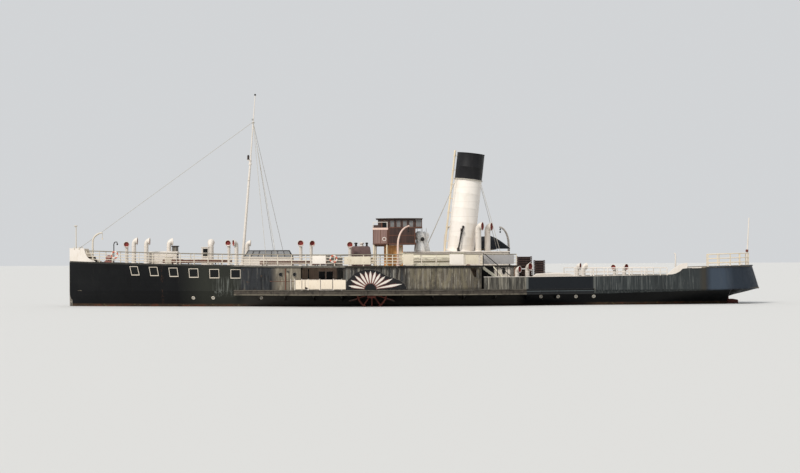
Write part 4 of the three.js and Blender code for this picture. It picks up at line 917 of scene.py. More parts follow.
def makeBowFittings():
    addTube([(-31.27, 0, 4.2), (-31.27, 0, 7.4)], [0.055, 0.04], 10)
    addTurned([(0, 0), (0.06, 0.02), (0.16, 0.1), (0.16, 0.14), (0.05, 0.17), (0, 0.17)], (-31.3, 0, 7.3),
        sides=14)
    lamp = [(-27.78, 0, 4.0), (-27.78, 0, 5.7), (-27.74, 0, 5.85), (-27.66, 0, 5.91), (-27.5, 0, 5.91),
        (-27.46, 0, 5.8)]
    addTube(lamp, 0.045, 8, tone=2)
    addTurned([(0, 0), (0.07, 0.02), (0.07, 0.14), (0, 0.18)], (-27.46, 0, 5.62), sides=12, tone=2)
    addRing((-31.37, -0.3, 4.86), (0.3, -1, 0), 0.1, 0.03, sides=20)
    for shape["side"] in bothSides:  # horn-shaped fairleads on the rail
        for x in (-31.25, -30.75):
            y = sideAt(x, 4.1) + 0.03
            addTube([(x - 0.1, y, 5.26), (x - 0.08, y, 5.4), (x - 0.14, y, 5.48)], [0.05, 0.045, 0.03], 8)
    newPiece("bowFittings", ["worn", "worn", "iron"], "white_paint")
    addBox((-31.85, -0.09, 4.1), (-31.62, 0.09, 5.3))
    newPiece("bulwarkStem", "worn", "white_paint", bevel=0.02)


# Sponsons: deck strips with the wheels' slots, a moulded fender, rubbing blocks and the outer bearings
sponson = {"slotStart": -6.15, "slotEnd": -1.45, "slotInner": 5.2, "slotOuter": 8.02, "wheelX": -3.8}
# Columns: out from the edge, z
fenderProfile = [(-0.26, 1.0), (-0.02, 1.0), (0.0, 1.02), (0.0, 1.1), (-0.05, 1.13), (-0.05, 1.37),
    (0.0, 1.4), (0.0, 1.48), (-0.02, 1.5), (-0.26, 1.5)]


def sponsonEdgeAt(x):
    return max(straightAt(sponsonEdge, x), mainHalf(x) + 0.04)


def makeFender():
    stations = sorted(set(spread(-16.25, 16.15, 60) + [s[0] for s in sponsonEdge[1:-1]]))
    rings = []
    for x in stations:
        rings.append([(x, max(sponsonEdgeAt(x) + out, mainHalf(x) + 0.002), z) for out, z in fenderProfile])
    addLoft(rings)
    for i in range(19):  # vertical rubbing blocks in the groove
        x = -14.4 + i * 1.6
        y = sponsonEdgeAt(x)
        addBox((x - 0.06, y - 0.06, 1.09), (x + 0.06, y - 0.012, 1.41))


def makeSponsonDeck():
    columns = sorted(set(spread(-16.2, 16.1, 40) + [sponson["slotStart"], sponson["slotEnd"]]
        + [s[0] for s in sponsonEdge[1:-1]]))

    def place(x, row, back):
        inner, outer = mainHalf(x) + 0.002, sponsonEdgeAt(x) - 0.25
        wanted = {"inner": inner, "slotInner": sponson["slotInner"], "slotOuter": sponson["slotOuter"],
            "outer": outer}
        y = min(max(wanted[row], inner), max(outer, inner))
        if row == "slotInner" and not sponson["slotStart"] <= x <= sponson["slotEnd"]:
            y = inner + (outer - inner) * 0.1
        if row == "slotOuter" and not sponson["slotStart"] <= x <= sponson["slotEnd"]:
            y = inner + (outer - inner) * 0.85
        return (x, y, 1.32 if back else 1.496)

    openCells = [(i, 1) for i, (a, b) in enumerate(zip(columns, columns[1:]))
        if sponson["slotStart"] < (a + b) / 2 < sponson["slotEnd"]]
    addPanel(columns, ["inner", "slotInner", "slotOuter", "outer"], place, openCells)


def makeBearing():
    x = sponson["wheelX"]
    addBox((x - 0.4, 8.03, 0.82), (x + 0.4, 8.32, 0.9))
    for end in (-0.3, 0.3):
        addBox((x + end - 0.1, 8.05, 0.9), (x + end + 0.1, 8.3, 1.4))
    addTurned(hoop(0.14, 0.3, 0, 0.24), (x, 8.04, 1.15), (0, 1, 0), 24)
    addBox((x - 0.4, 8.03, 1.38), (x + 0.4, 8.45, 1.42))


def makeHullPieces():
    makeHull()
    sidePieces("SponsonKnees", makeKnees, "hull", "hull_black", bevel=0.006)
    sidePieces("Scuttles", addScuttles, ["worn", "lampGlass"], "white_paint")
    for shape["side"] in bothSides:
        makeForwardSide()
    newPiece("forwardSides", "hull", "hull_black", replaces=["forward_hull_sides"], sharpness=25)
    for shape["side"] in bothSides:
        addSaloonWindows()
    newPiece("saloonWindows", ["worn", "glass"], "white_paint", bevel=0.008)
    makeStem()
    for shape["side"] in bothSides:
        makeBowBulwark()
    newPiece("bowBulwark", ["white", "worn"], "white_paint", replaces=["bow_bulwark"])
    makeBowFittings()
    sidePieces("Fender", makeFender, "fender", "hull_black", ["{}_sponson"], sharpness=30, bevel=0.01)
    sidePieces("SponsonDeck", makeSponsonDeck, "deck", "deck_planks")
    sidePieces("WheelBearing", makeBearing, "redLead", "rusty_iron", bevel=0.01)
    print("hull, bow and sponsons made")


makeHullPieces()


# Walls of upright boards along the sponson's edge: paddle boxes and after houses
boards = {"width": 0.21, "gap": 0.009, "inset": 0.1, "proud": 0.02, "thickness": 0.09, "foot": onMainDeck,
    "head": 3.492}


def addBoards(start, end, headAt=None):
    number = floor(start / boards["width"] + 1e-6)
    while number * boards["width"] < end - 0.02:
        x0 = max(number * boards["width"], start) + boards["gap"] / 2
        x1 = min((number + 1) * boards["width"], end) - boards["gap"] / 2
        depth = random.uniform(-0.007, 0.007)
        lower = boards["foot"]
        upper = [boards["head"] if headAt is None else headAt(x) for x in (x0, x1)]
        y0, y1 = (edgeHalf(x) - boards["inset"] + boards["proud"] + depth for x in (x0, x1))
        back = boards["thickness"]
        addFaces([(x0, y0 - back, lower), (x1, y1 - back, lower), (x1, y1, lower), (x0, y0, lower),
            (x0, y0 - back, upper[0]), (x1, y1 - back, upper[1]), (x1, y1, upper[1]), (x0, y0, upper[0])],
            boxFaces)
        number += 1


def addCrossBoards(x, inner, outer):
    count = round((outer - inner) / boards["width"])
    for i in range(count):
        y0, y1 = (inner + (outer - inner) * (i + k) / count for k in (0, 1))
        shift = random.uniform(-0.006, 0.006)
        addBox((x + shift, y0 + 0.004, onMainDeck), (x + 0.07 + shift, y1 - 0.004, boards["head"]))


def makePaddleBox():
    addBoards(-6.3, -0.85)
    for x in (-6.295, -1.43):
        addCrossBoards(x, 4.86, edgeHalf(x) - 0.19)
    for x in (-6.3, -0.93):  # corner posts
        y = edgeHalf(x) - 0.1
        addBox((x, y - 0.05, onMainDeck), (x + 0.08, y + 0.045, boards["head"]))
    addBox((-6.2, 8.6, 3.3), (-0.95, 8.65, 3.38))


# After house: its boards slope down from the deck to the bulwark, with a post in the opening
# Columns: x, top of the boards
houseSlope = [(4.8, 3.49), (5.18, 2.6), (5.86, 2.36)]


def houseHead(x):
    return straightAt(houseSlope, x)


def makeAfterHouse():
    addBoards(-0.84, houseSlope[-1][0], houseHead)
    y = edgeHalf(5.4)
    addBox((4.7, y - 0.2, 3.36), (5.95, y - 0.08, 3.49))
    addBox((5.45, y - 0.28, onMainDeck), (5.72, y - 0.2, 3.36))
    addTube([(x, edgeHalf(x) - 0.11, z + 0.01) for x, z in houseSlope], 0.045, 6)
    addCrossBoards(5.82, 6.5, edgeHalf(5.82) - 0.19)
    addCrossBoards(5.82, 4.87, 5.6)
    addBox((5.8, edgeHalf(5.8) - 0.17, onMainDeck), (5.9, edgeHalf(5.8) - 0.07, boards["head"]))


# Fan on the paddle box: rays longer towards the stern, round a hub, on a black backing
fan = {"x": -3.9, "z": 1.55, "hub": 0.52, "rays": 11, "firstTurn": 9.5, "step": 16.1, "reach": 1.63,
    "ray": 0.1, "back": 8.625, "face": 8.655, "rayFace": 8.69, "hubFace": 8.705}


def fanReach(angle):
    level = cos(angle)
    return fan["reach"] + (1.35 * level ** 9 if level > 0 else 0.34 * level ** 2)


def fanBacking(angle):
    level = cos(angle)
    wing = 0.1 * level ** 30 if level > 0 else 0.45 * level ** 20
    return min(fanReach(angle) + 0.13 + wing, (fan["x"] + 5.98) / max(-level, 1e-6) if level < 0 else 9)


def fanPoint(angle, radius, y, across=0.0):
    c, s = cos(angle), sin(angle)
    return (fan["x"] + c * radius - s * across, y, fan["z"] + s * radius + c * across)


def addFanSector(outline, y0, y1, tone):
    addLoft([[(x, y, z) for x, z in outline] for y in (y0, y1)], tone)


def makeFan():
    angles = spread(0.0, pi, 49)
    backing = [(fan["x"], fan["z"] - 0.02)] + [
        (fan["x"] + cos(a) * fanBacking(a), fan["z"] + sin(a) * fanBacking(a)) for a in angles]
    addFanSector(backing, fan["back"], fan["face"], 0)
    for i in range(fan["rays"]):
        turn = radians(fan["firstTurn"] + fan["step"] * i)
        reach = fanReach(turn)
        widest = 0.3 + 0.55 * reach
        # Share along the ray and share of its greatest half breadth
        edge = [(0.58, 0.22), (widest * 0.75, 0.68), (widest, 1.0), ((widest + reach) / 2, 0.72),
            (reach, 0.06)]
        up = [fanPoint(turn, r, 0, w * fan["ray"]) for r, w in edge]
        down = [fanPoint(turn, r, 0, -w * fan["ray"]) for r, w in reversed(edge)]
        addFanSector([(p[0], p[2]) for p in up + down], fan["face"] - 0.01, fan["rayFace"], 1)
        for sign in (-1, 1):  # thin red line beside the ray
            inner, outer = 0.56, min(widest * 1.25, reach)
            line = [fanPoint(turn, r, 0, sign * w) for r, w in (
                (inner, 0.04), (widest, fan["ray"] + 0.012), (outer, fan["ray"] * 0.85 + 0.012),
                (outer, fan["ray"] * 0.85 + 0.04), (widest, fan["ray"] + 0.04), (inner, 0.075))]
            addFanSector([(p[0], p[2]) for p in line], fan["face"] - 0.01, fan["face"] + 0.012, 2)
    hub = [(fan["x"] + cos(a) * fan["hub"], fan["z"] + sin(a) * fan["hub"]) for a in spread(0, pi, 25)]
    addFanSector(hub, fan["face"] - 0.01, fan["hubFace"], 0)
    path = [fanPoint(a, fan["hub"] + 0.015, fan["hubFace"] - 0.012) for a in spread(0, pi, 25)]
    addTube(path, 0.018, 6, tone=2)
    rim = [fanPoint(a, fanBacking(a) - 0.02, fan["face"]) for a in spread(0.0, pi * 0.5, 40)]
    addTube(rim, 0.01, 6, tone=3)


def makeSideHouses():
    sidePieces("BoxBoards", makePaddleBox, "box", "grey_plating", ["{}_paddle_box"], bevel=0.006)
    sidePieces("AfterHouseBoards", makeAfterHouse, "box", "grey_plating", ["{}_after_house"], bevel=0.006)
    sidePieces("PaddleBoxFan", makeFan, ["black", "white", "redTrim", "stem"], "white_paint")
    print("paddle boxes and after houses made")


makeSideHouses()


# Promenade deck: planks with the sheer, and a moulded edge
promenade = {"turnX": 5.96, "railEnd": 9.18, "railInset": 0.14}


def makePromenadeDeck():
    for x0, x1, inner in ((-31.83, 6.09, None), (6.09, 9.29, 5.08)):
        columns = spread(x0, x1, 70 if inner is None else 6)

        def place(x, share, back):
            half = deckEdge(x) - 0.04 if inner is None else inner
            return (x, share * half, promenadeAt(x) - (ship["promenadeThickness"] - 0.002 if back else 0.002))

        addPanel(columns, [-1, -0.5, 0, 0.5, 1], place)
    newPiece("promenadePlanks", "deck", "deck_planks", replaces=["promenade_deck"])


# Columns: out from the deck's edge, up from its top
edgeProfile = [(-0.1, -0.14), (-0.012, -0.14), (0.0, -0.12), (0.0, -0.02), (-0.02, 0.015), (-0.1, 0.015)]


def makeDeckEdge():
    line = [(x, deckEdge(x)) for x in spread(-31.8, 6.08, 90)]
    addLoft([[(x, max(y + out, 0.02), promenadeAt(x) + up) for out, up in edgeProfile] for x, y in line])
    for x0, x1, y0, y1 in ((6.02, 6.1, 5.1, deckEdge(6.08) - 0.05), (6.1, 9.3, 5.04, 5.12)):
        addBox((x0, y0, 3.46), (x1, y1, 3.615))


# Cowl ventilators: a stock with a foot ring, an elbow that widens to a rolled mouth, dark red inside
def addCowl(x, y, foot, head, radius, mouth, facing, sides=20):
    out = Vector((cos(facing), sin(facing), 0))
    up = Vector((0, 0, 1))
    across = out.cross(up)
    middle = head + 0.26 * mouth
    reach = radius + 0.36 * mouth

    def ring(centre, along, r):
        return ringAt((centre, across.cross(along), across), r, sides)

    start, corner = Vector((x, y, middle - 1.15 * mouth)), Vector((x, y, middle))
    end = corner + out * reach
    rings = [ring(Vector((x, y, foot)), up, radius)]
    for i in range(10):
        t = i / 9
        along = ((1 - t) * (corner - start) + t * (end - corner)).normalized()
        centre = (1 - t) ** 2 * start + 2 * t * (1 - t) * corner + t * t * end
        rings.append(ring(centre, along, radius + (mouth - radius) * t ** 2.2))
    outside = len(rings)
    rings += [ring(end - out * back, out, r) for back, r in ((0, mouth - 0.03), (0.35 * mouth, mouth * 0.7))]
    first = len(shape["tones"])
    addLoft(rings)
    for i in range(first + outside * sides, len(shape["tones"]) - 2):
        shape["tones"][i] = 1
    shape["tones"][-1] = 1
    addRing(end, out, mouth - 0.005, 0.028, sides=sides)
    addTurned([(radius, 0), (radius + 0.05, 0), (radius + 0.05, 0.05), (radius, 0.09)], (x, y, foot),
        sides=16)
    addRing(start - up * 0.1, up, radius, 0.018, sides=sides)


astern, ahead, toPort, toStarboard = 0, pi, -pi / 2, pi / 2
# Columns: x, y, top of the stock, radius, mouth radius, facing
promenadeVents = [
    (-26.77, 1.3, 5.62, 0.15, 0.26, toPort), (-25.8, -0.9, 5.9, 0.2, 0.33, astern),
    (-24.6, -1.35, 5.86, 0.2, 0.33, astern), (-22.85, 1.35, 5.84, 0.2, 0.33, astern + 0.4),
    (-18.9, 0.9, 5.76, 0.27, 0.31, toStarboard), (-17.25, 1.4, 5.7, 0.14, 0.28, toPort - 0.25),
    (-16.3, -1.5, 5.68, 0.18, 0.3, ahead + 0.45), (-15.6, 2.2, 5.7, 0.2, 0.29, astern),
    (-10.38, -1.8, 5.63, 0.15, 0.28, toPort), (-9.6, 1.8, 5.63, 0.14, 0.28, toPort + 0.5),
    (-5.86, -2.2, 5.48, 0.15, 0.27, toPort),
]
# Columns: x, y, top of the stock, radius, mouth radius, facing
afterVents = [
    (10.3, -2.9, 3.38, 0.2, 0.35, astern - 0.7), (15.0, -1.2, 3.4, 0.19, 0.3, astern - 0.4),
    (15.8, 1.2, 3.4, 0.19, 0.3, astern + 0.4), (18.3, -2.4, 3.32, 0.14, 0.25, toPort - 0.6),
    (19.2, -2.2, 3.32, 0.17, 0.28, toPort + 0.7), (9.2, -5.45, 3.17, 0.18, 0.29, astern - 0.6),
]


def makeVents():
    for group, rows in (("promenade", promenadeVents), ("after", afterVents)):
        for i, (x, y, head, radius, mouth, facing) in enumerate(rows):
            foot = promenadeAt(x) if group == "promenade" else ship["mainDeck"]
            addCowl(x, y, foot, head, radius, mouth, facing)
            newPiece(f"{group}Ventilator{i + 1}", ["white", "darkRed"], "white_paint", sharpness=50)


# Box with a plinth and an overhanging top
def addLocker(low, high, lid=0.05, tone=0, lidTone=0):
    addBox(low, (high[0], high[1], high[2] - lid), tone)
    addBox((low[0] - lid / 2, low[1] - lid / 2, high[2] - lid),
        (high[0] + lid / 2, high[1] + lid / 2, high[2]), lidTone)
    addBox((low[0] - 0.02, low[1] - 0.02, low[2]), (high[0] + 0.02, high[1] + 0.02, low[2] + 0.08), tone)


companion = {"x0": -24.43, "x1": -21.82, "half": 0.88, "eaves": 4.88, "top": 5.04}


def makeForwardCompanion():
    x0, x1, half, eaves, top = companion.values()
    foot = promenadeAt(-23.2) - 0.12
    addBox((x0 + 0.05, -half + 0.04, foot), (x1 - 0.05, half - 0.04, eaves))
    rings = []
    for x in (x0, x1):
        rings.append([(x, -half, eaves), (x, half, eaves), (x, half, eaves + 0.04), (x, 0.4, top - 0.02),
            (x, 0, top), (x, -0.4, top - 0.02), (x, -half, eaves + 0.04)])
    addLoft(rings)
    for shape["side"] in bothSides:
        for x in (-24.0, -23.35, -22.7):  # raised panels
            addBox((x, half - 0.05, foot + 0.28), (x + 0.5, half - 0.02, 4.72))
        addBox((x0 + 0.04, half - 0.06, foot), (x1 - 0.04, half, foot + 0.12))
    addBox((x1 - 0.07, -0.45, foot + 0.15), (x1 - 0.02, -0.02, 4.78), 1)
    addBox((x1 - 0.07, 0.02, foot + 0.15), (x1 - 0.02, 0.45, 4.78), 1)
    addBox((-22.35, -0.35, top - 0.05), (-21.85, 0.4, 5.46), 2)
    addBox((-22.43, -0.42, 5.46), (-21.77, 0.47, 5.54), 3)
    newPiece("forwardCompanion", ["white", "teak", "stem", "iron"], "white_paint",
        replaces=["forward_companion"], bevel=0.012)


# Saloon skylight: white coaming and hipped roof lights with bars
skylight = {"x0": -15.7, "x1": -11.17, "half": 1.33, "coaming": 4.42, "top": 5.06, "panes": 7, "lean": 0.35}


def makeSaloonSkylight():
    x0, x1, half, coaming, top, panes, lean = skylight.values()
    foot = promenadeAt(-13.4) - 0.1
    for x, y, z0, z1 in ((0.04, 0.04, foot, coaming - 0.05), (0, 0, coaming - 0.05, coaming),
            (0.02, 0.02, foot, foot + 0.14)):
        addBox((x0 + x, -half + y, z0), (x1 - x, half - y, z1), 3)
    # Glass body, hipped at both ends
    inner = half - 0.06
    low = [(x0 + 0.06, -inner), (x1 - 0.06, -inner), (x1 - 0.06, inner), (x0 + 0.06, inner)]
    high = [(x0 + lean, -0.14), (x1 - lean, -0.14), (x1 - lean, 0.14), (x0 + lean, 0.14)]
    zLow, zHigh = coaming - 0.01, top - 0.05
    addLoft([[(x, y, zLow) for x, y in low], [(x, y, zHigh) for x, y in high]], 1)
    bars = []
    for a, b in zip(low, high):
        bars.append(((*a, zLow + 0.02), (*b, zHigh + 0.02)))
    for side in (0, 2):
        a0, a1, b0, b1 = low[side], low[side + 1], high[side], high[side + 1]
        for i in range(1, panes):
            t = i / panes
            start = (a0[0] + (a1[0] - a0[0]) * t, a0[1], zLow + 0.02)
            bars.append((start, (b0[0] + (b1[0] - b0[0]) * t, b0[1], zHigh + 0.02)))
    for a, b in zip(low[:2], high):
        bars.append(((a[0], 0, zLow + 0.02), (b[0], 0, zHigh + 0.02)))
    for start, end in bars:
        addTube([start, end], 0.03, 6)
    for shape["side"] in bothSides:
        addTube([(x0 + 0.1, inner, zLow + 0.02), (x1 - 0.1, inner, zLow + 0.02)], 0.035, 6)
    addTube([(x0 + lean - 0.03, 0, zHigh + 0.02), (x1 - lean + 0.03, 0, zHigh + 0.02)], 0.06, 8, tone=2)
    newPiece("saloonSkylight", ["iron", "skyGlass", "iron", "white"], "white_paint",
        replaces=["saloon_skylight"], bevel=0.006)


# Small deck houses and gear forward of the bridge
def makeDeckGear():
    foot = promenadeAt(-19.3) - 0.02
    addLocker((-19.55, -1.15, foot), (-18.88, -0.55, 5.42), 0.07)
    addBox((-19.41, -1.175, 4.5), (-18.98, -1.145, 5.26), 1)
    for z in (4.48, 4.86, 5.25):
        addBox((-19.44, -1.19, z), (-18.95, -1.14, z + 0.03))
    newPiece("smallHouse", ["white", "glass"], "white_paint", bevel=0.012)

    foot = promenadeAt(-22.35) - 0.03
    addLocker((-22.66, -3.16, foot), (-22.04, -2.64, 4.5), 0.05)
    newPiece("deckLocker", "worn", "white_paint", bevel=0.012)

    foot = ship["promenade"]
    addLoft([[(x0, -y, z), (x1, -y, z), (x1, y, z), (x0, y, z)]
        for x0, x1, y, z in ((-5.92, -3.98, 1.57, foot), (-5.92, -3.98, 1.57, 4.7), (-5.72, -4.08, 1.4, 5.34),
        (-5.62, -4.2, 1.2, 5.42))])
    for shape["side"] in bothSides:
        for x in (-5.7, -5.05, -4.4):
            addBox((x - 0.02, 1.55, 3.75), (x + 0.02, 1.6, 4.7))
    for x, radius, tone in ((-5.35, 0.12, 1), (-4.82, 0.17, 2), (-4.35, 0.1, 1)):
        addTurned([(0, 0), (radius, 0), (radius * 0.85, 0.3), (radius * 1.3, 0.3), (radius * 1.3, 0.4),
            (0, 0.44)], (x, -0.6, 5.33), sides=16, tone=tone)
    newPiece("stoveHouse", ["stove", "iron", "white"], "varnished_wood", sharpness=40, bevel=0.012)

    # Windlass: bed, drum, warping ends and cheeks
    z = promenadeAt(-28.2)
    addBox((-28.58, -0.58, z - 0.02), (-27.92, 0.58, z + 0.12))
    for y in (-0.42, 0.0, 0.42):
        addLoft([[(-28.5, y + d, z + 0.1), (-28.0, y + d, z + 0.1), (-28.08, y + d, z + 0.55),
            (-28.25, y + d, z + 0.68), (-28.42, y + d, z + 0.55)] for d in (-0.04, 0.04)])
    addTurned([(0, 0), (0.2, 0), (0.2, 0.06), (0.12, 0.12), (0.12, 1.08), (0.2, 1.14), (0.2, 1.2), (0, 1.2)],
        (-28.25, -0.6, z + 0.42), (0, 1, 0), 20)
    newPiece("windlass", "redTrim", "dark_iron", bevel=0.01)

    # Socket left by the port after davit
    addTurned([(0.08, 0.9), (0.15, 0.9), (0.15, 0.86), (0.12, 0.82), (0.12, 0.1), (0.2, 0.06), (0.2, 0),
        (0, 0), (0, 0.5), (0.08, 0.5), (0.08, 0.9)], (4.75, -8.0, 3.6), sides=18)
    newPiece("emptyDavitSocket", "pinkish", "white_paint")

    # Coil of mooring rope by the bulwark
    z = promenadeAt(-29.6)
    for i in range(5):
        radius = 0.5 - 0.03 * i
        addRing((-29.9, 0.1, z + 0.06 + 0.09 * i), (0, 0, 1), radius, 0.055, sides=28, section=8)
    newPiece("mooringCoil", "rope", "rope")


# Slatted seats along the promenade deck. Columns: start x, end x
seats = {"rows": [(-22.9, -21.7), (-21.5, -17.2), (-13.9, -9.3), (-9.1, -7.95)], "inset": 1.1}


def makeSeats():
    for x0, x1 in seats["rows"]:
        y0, y1 = (edgeHalf(x) - seats["inset"] for x in (x0, x1))
        z = promenadeAt(x0)

        def place(x, y, h):
            share = (x - x0) / (x1 - x0)
            return (x, y0 + (y1 - y0) * share + y, z + h)

        for k in range(5):
            addBox((x0, -0.24 + 0.1 * k, 0.37), (x1, -0.16 + 0.1 * k, 0.405), 0, place)
        for y in (-0.27, 0.26):
            addBox((x0, y, 0.1), (x1, y + 0.025, 0.38), 0, place)
        for x in spread(x0 + 0.25, x1 - 0.3, 4):
            addBox((x, -0.25, 0.32), (x + 0.06, 0.24, 0.37), 1, place)
            for y in (-0.2, 0.15):
                addBox((x, y, -0.02), (x + 0.06, y + 0.06, 0.34), 1, place)


# Promenade rails: wooden top rail, three bars, stanchions with balls at the bars
rail = {"height": 1.0, "bars": [0.76, 0.5, 0.25], "bay": 1.28, "post": 0.042, "bar": 0.032, "top": 0.044}


def railPoint(x, side):
    half = upperHalf(x) if x < -16.4 else edgeHalf(x)
    return Vector((x, side * (half - promenade["railInset"]), promenadeAt(x)))


def railLine(side):
    line = [railPoint(-30.1 + rail["bay"] * i, side) for i in range(29)]
    line = [p for p in line if p.x < 5.2]
    turn = railPoint(promenade["turnX"], side)
    line.append(turn)
    line += [Vector((turn.x, side * y, turn.z)) for y in spread(abs(turn.y), 5.0, 4)[1:]]
    line += [Vector((x, side * 5.0, turn.z)) for x in spread(turn.x, promenade["railEnd"], 4)[1:]]
    return line


def addRails(line, height, bars, tones=(0, 0)):
    up = Vector((0, 0, 1))
    addTube([p + up * height for p in line], rail["top"], 8, tone=tones[1])
    for bar in bars:
        addTube([p + up * bar for p in line], rail["bar"], 6, tone=tones[0])
    for p in line:
        addTube([p - up * 0.01, p + up * height], rail["post"], 8, tone=tones[0])
        addCollar(p, 0.028, 0.07, 0.03, 0.05, sides=10, tone=tones[0])
        for bar in bars:
            addTurned([(0.0, -0.045), (0.036, -0.025), (0.045, 0), (0.036, 0.025), (0, 0.045)], p + up * bar,
                sides=8, tone=tones[0])


def makePromenadeRail():
    addRails(railLine(1), rail["height"], rail["bars"], (0, 1))


# Canvas dodgers laced inside the rails. Columns: name, start x, end x, foot, head, panels, canvas
dodgers = [
    ("PlainDodger", -9.04, -7.84, 3.82, 4.56, 1, "whiteCanvas"),
    ("CreamDodger", -6.2, -3.87, 3.74, 4.46, 3, "creamCanvas"),
    ("ForeBoatDodger", -1.03, -0.1, 3.7, 4.64, 1, "creamCanvas"),
    ("AfterBoatDodger", 3.07, 4.32, 3.7, 4.62, 1, "whiteCanvas"),
    ("BoatDodger", 4.5, 5.65, 3.74, 4.56, 1, "creamCanvas"),
]


# A hung cloth between two feet: bellied a little, its edge drawn in between the lacings
def newCloth(name, start, end, foot, head, panels, canvas, out, belly=0.03, torn=False):
    start, end = Vector(start), Vector(end)
    width = (end - start).length
    columns = max(8, round(width / 0.07)) + 1
    rows = 11
    grid = []
    for j in range(rows):
        v = j / (rows - 1)
        row = []
        for i in range(columns):
            u = i / (columns - 1)
            panel = (u * panels) % 1 if i < columns - 1 else 1
            swell = sin(pi * panel) * sin(pi * v)
            ripple = 0.008 * sin(31 * u * width + 5 * v) * sin(pi * v)
            drop = 0.012 * abs(sin(pi * u * width / 0.3)) * (1 if v in (0, 1) else 0)
            z = foot + (head - foot) * v + (drop if v == 0 else -drop)
            if torn and v < 0.35 and u < 0.3:
                z += (0.35 - v) * max(0.0, 0.3 - u) * 2.2
            point = start.lerp(end, u) + Vector(out) * (belly * swell + ripple)
            row.append((point.x, point.y, z))
        grid.append(row)
    addFaces([p for row in grid for p in row],
        [(j * columns + i, j * columns + i + 1, (j + 1) * columns + i + 1, (j + 1) * columns + i)
        for j in range(rows - 1) for i in range(columns - 1)])
    cloth = newPiece(name, canvas, "canvas", sharpness=80)
    return cloth


def makeDodgers():
    for side, word in sideWords.items():
        for name, x0, x1, foot, head, panels, canvas in dodgers:
            a, b = (railPoint(x, side) for x in (x0, x1))
            a, b = (Vector((p.x, p.y + side * 0.055, 0)) for p in (a, b))
            newCloth(word + name, a, b, foot, head, panels, canvas, (0, side, 0))
        y = side * 5.05
        newCloth(word + "StairDodger", (6.02, y, 0), (8.95, y, 0), 3.72, 4.56, 3, "greyCanvas",
            (0, side, 0))
        y0, y1 = edgeHalf(5.96) - 0.2, 6.35
        newCloth(word + "HeadDodger", (6.02, side * y0, 0), (6.02, side * y1, 0), 3.72, 4.56, 1,
            "creamCanvas", (1, 0, 0))


# Lifebuoys on the rails. Columns: x, z of the middle
lifebuoys = [(-27.3, 4.7), (-7.15, 4.24)]


def makeLifebuoys():
    for x, z in lifebuoys:
        centre = railPoint(x, -1)
        centre = Vector((centre.x, centre.y - 0.07, z))
        path = [centre + Vector((c, 0, s)) * 0.29 for c, s in circle(32)]
        start = len(shape["tones"])
        addTube(path, 0.07, 10, loop=True)
        for i in range(start, len(shape["tones"])):
            if ((i - start) // 10 // 4) % 2:
                shape["tones"][i] = 1
        for turn in range(4):
            c, s = cos(tau * (turn + 0.5) / 4), sin(tau * (turn + 0.5) / 4)
            addTube([centre + Vector((c * r, 0, s * r)) for r in (0.2, 0.37)], 0.02, 6, tone=1)
    newPiece("lifebuoys", ["buoyOrange", "white"], "white_paint")


# Not mirrored, because the lid's overhang follows the order of its corners
def makeSideLocker():
    side = shape["side"]
    shape["side"] = 1
    addLocker((-7.75, side * 7.95, onPromenade), (-6.85, side * 7.4, 4.46), 0.05)


# Gangways: posts, canvas panels and a hinged gate
gangway = {"posts": [-10, -9.42, -8.38, -7.16, -6.42], "foot": 1.56, "head": 2.4, "hinge": -8.28,
    "sill": 1.53}


def gangwayY(x):
    return edgeHalf(x) - 0.16


# The gate's own line, along its bars
def gateY(x):
    slope = (gangwayY(-7.16) - gangwayY(-8.38)) / 1.22
    return gangwayY(-8.32) + (x + 8.32) * slope


def makeGangwayRail():
    for x in gangway["posts"]:
        y = gangwayY(x)
        addPost(x, y, 1.5, 2.46, 0.034, 10)
        addCollar((x, y, 2.45), 0, 0.05, 0.03, 0.045, sides=12)
        addCollar((x, y, 1.5), 0.03, 0.08, 0.03, 0.05, sides=12)
    for a, b in ((0, 1), (1, 2), (3, 4)):
        xs = [gangway["posts"][k] for k in (a, b)]
        for z in (2.41, 1.56):
            addTube([(x, gangwayY(x), z) for x in xs], 0.016, 6)
        addTube([(x, gangwayY(x), 1.98) for x in xs], 0.012, 6)
    xs = gangway["posts"][2:4]
    addLoft([[(x, gangwayY(x) + d, z)
        for d, z in ((-0.03, 1.502), (0.03, 1.502), (0.03, 1.525), (-0.03, 1.525))] for x in xs])


def makeGate():
    hinge = gangway["hinge"]
    ends = (hinge + 0.01, hinge + 1.015)
    for z in (1.58, 1.98, 2.4):
        addTube([(x, gateY(x), z) for x in ends], 0.016, 8)
    for x in ends:
        addPost(x, gateY(x), 1.57, 2.42, 0.018, 8)
    addPost(hinge, gateY(hinge), gangway["sill"] + 0.003, 2.44, 0.02, 10)


def makeGangways():
    sidePieces("GangwayRail", makeGangwayRail, "white", "white_paint", ["{}_gangway_rail"])
    sidePieces("GangwayGate", makeGate, "white", "white_paint", ["{}_gangway_gate"], body="{}_gate")
    for side, word in sideWords.items():
        for i, (x0, x1, out, torn) in enumerate(((-9.97, -9.71, 0, False), (-9.67, -8.34, 0, True),
                (-7.2, -6.08, 0.15, False))):
            start = (x0, side * (gangwayY(x0) + 0.045), 0)
            end = (x1, side * (gangwayY(x1) + 0.045 + out), 0)
            newCloth(f"{word}GangwayCloth{i + 1}", start, end, gangway["foot"],
                gangway["head"], 1, "gangCanvas", (0, side, 0), 0.02, torn and side < 0)
        start, end = ((x, side * (edgeHalf(x) - 0.03), 0) for x in (-10.56, -10.01))
        newCloth(word + "HouseCloth", start, end, gangway["foot"], gangway["head"],
            1, "gangCanvas", (0, side, 0), 0.01)
        start, end = ((x, side * (gateY(x) + 0.03), 0) for x in (-8.27, -7.27))
        cloth = newCloth(word + "GateCloth", start, end, gangway["foot"] + 0.02,
            gangway["head"], 1, "gangCanvas", (0, side, 0), 0.015)
        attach(cloth, word + "_gate")
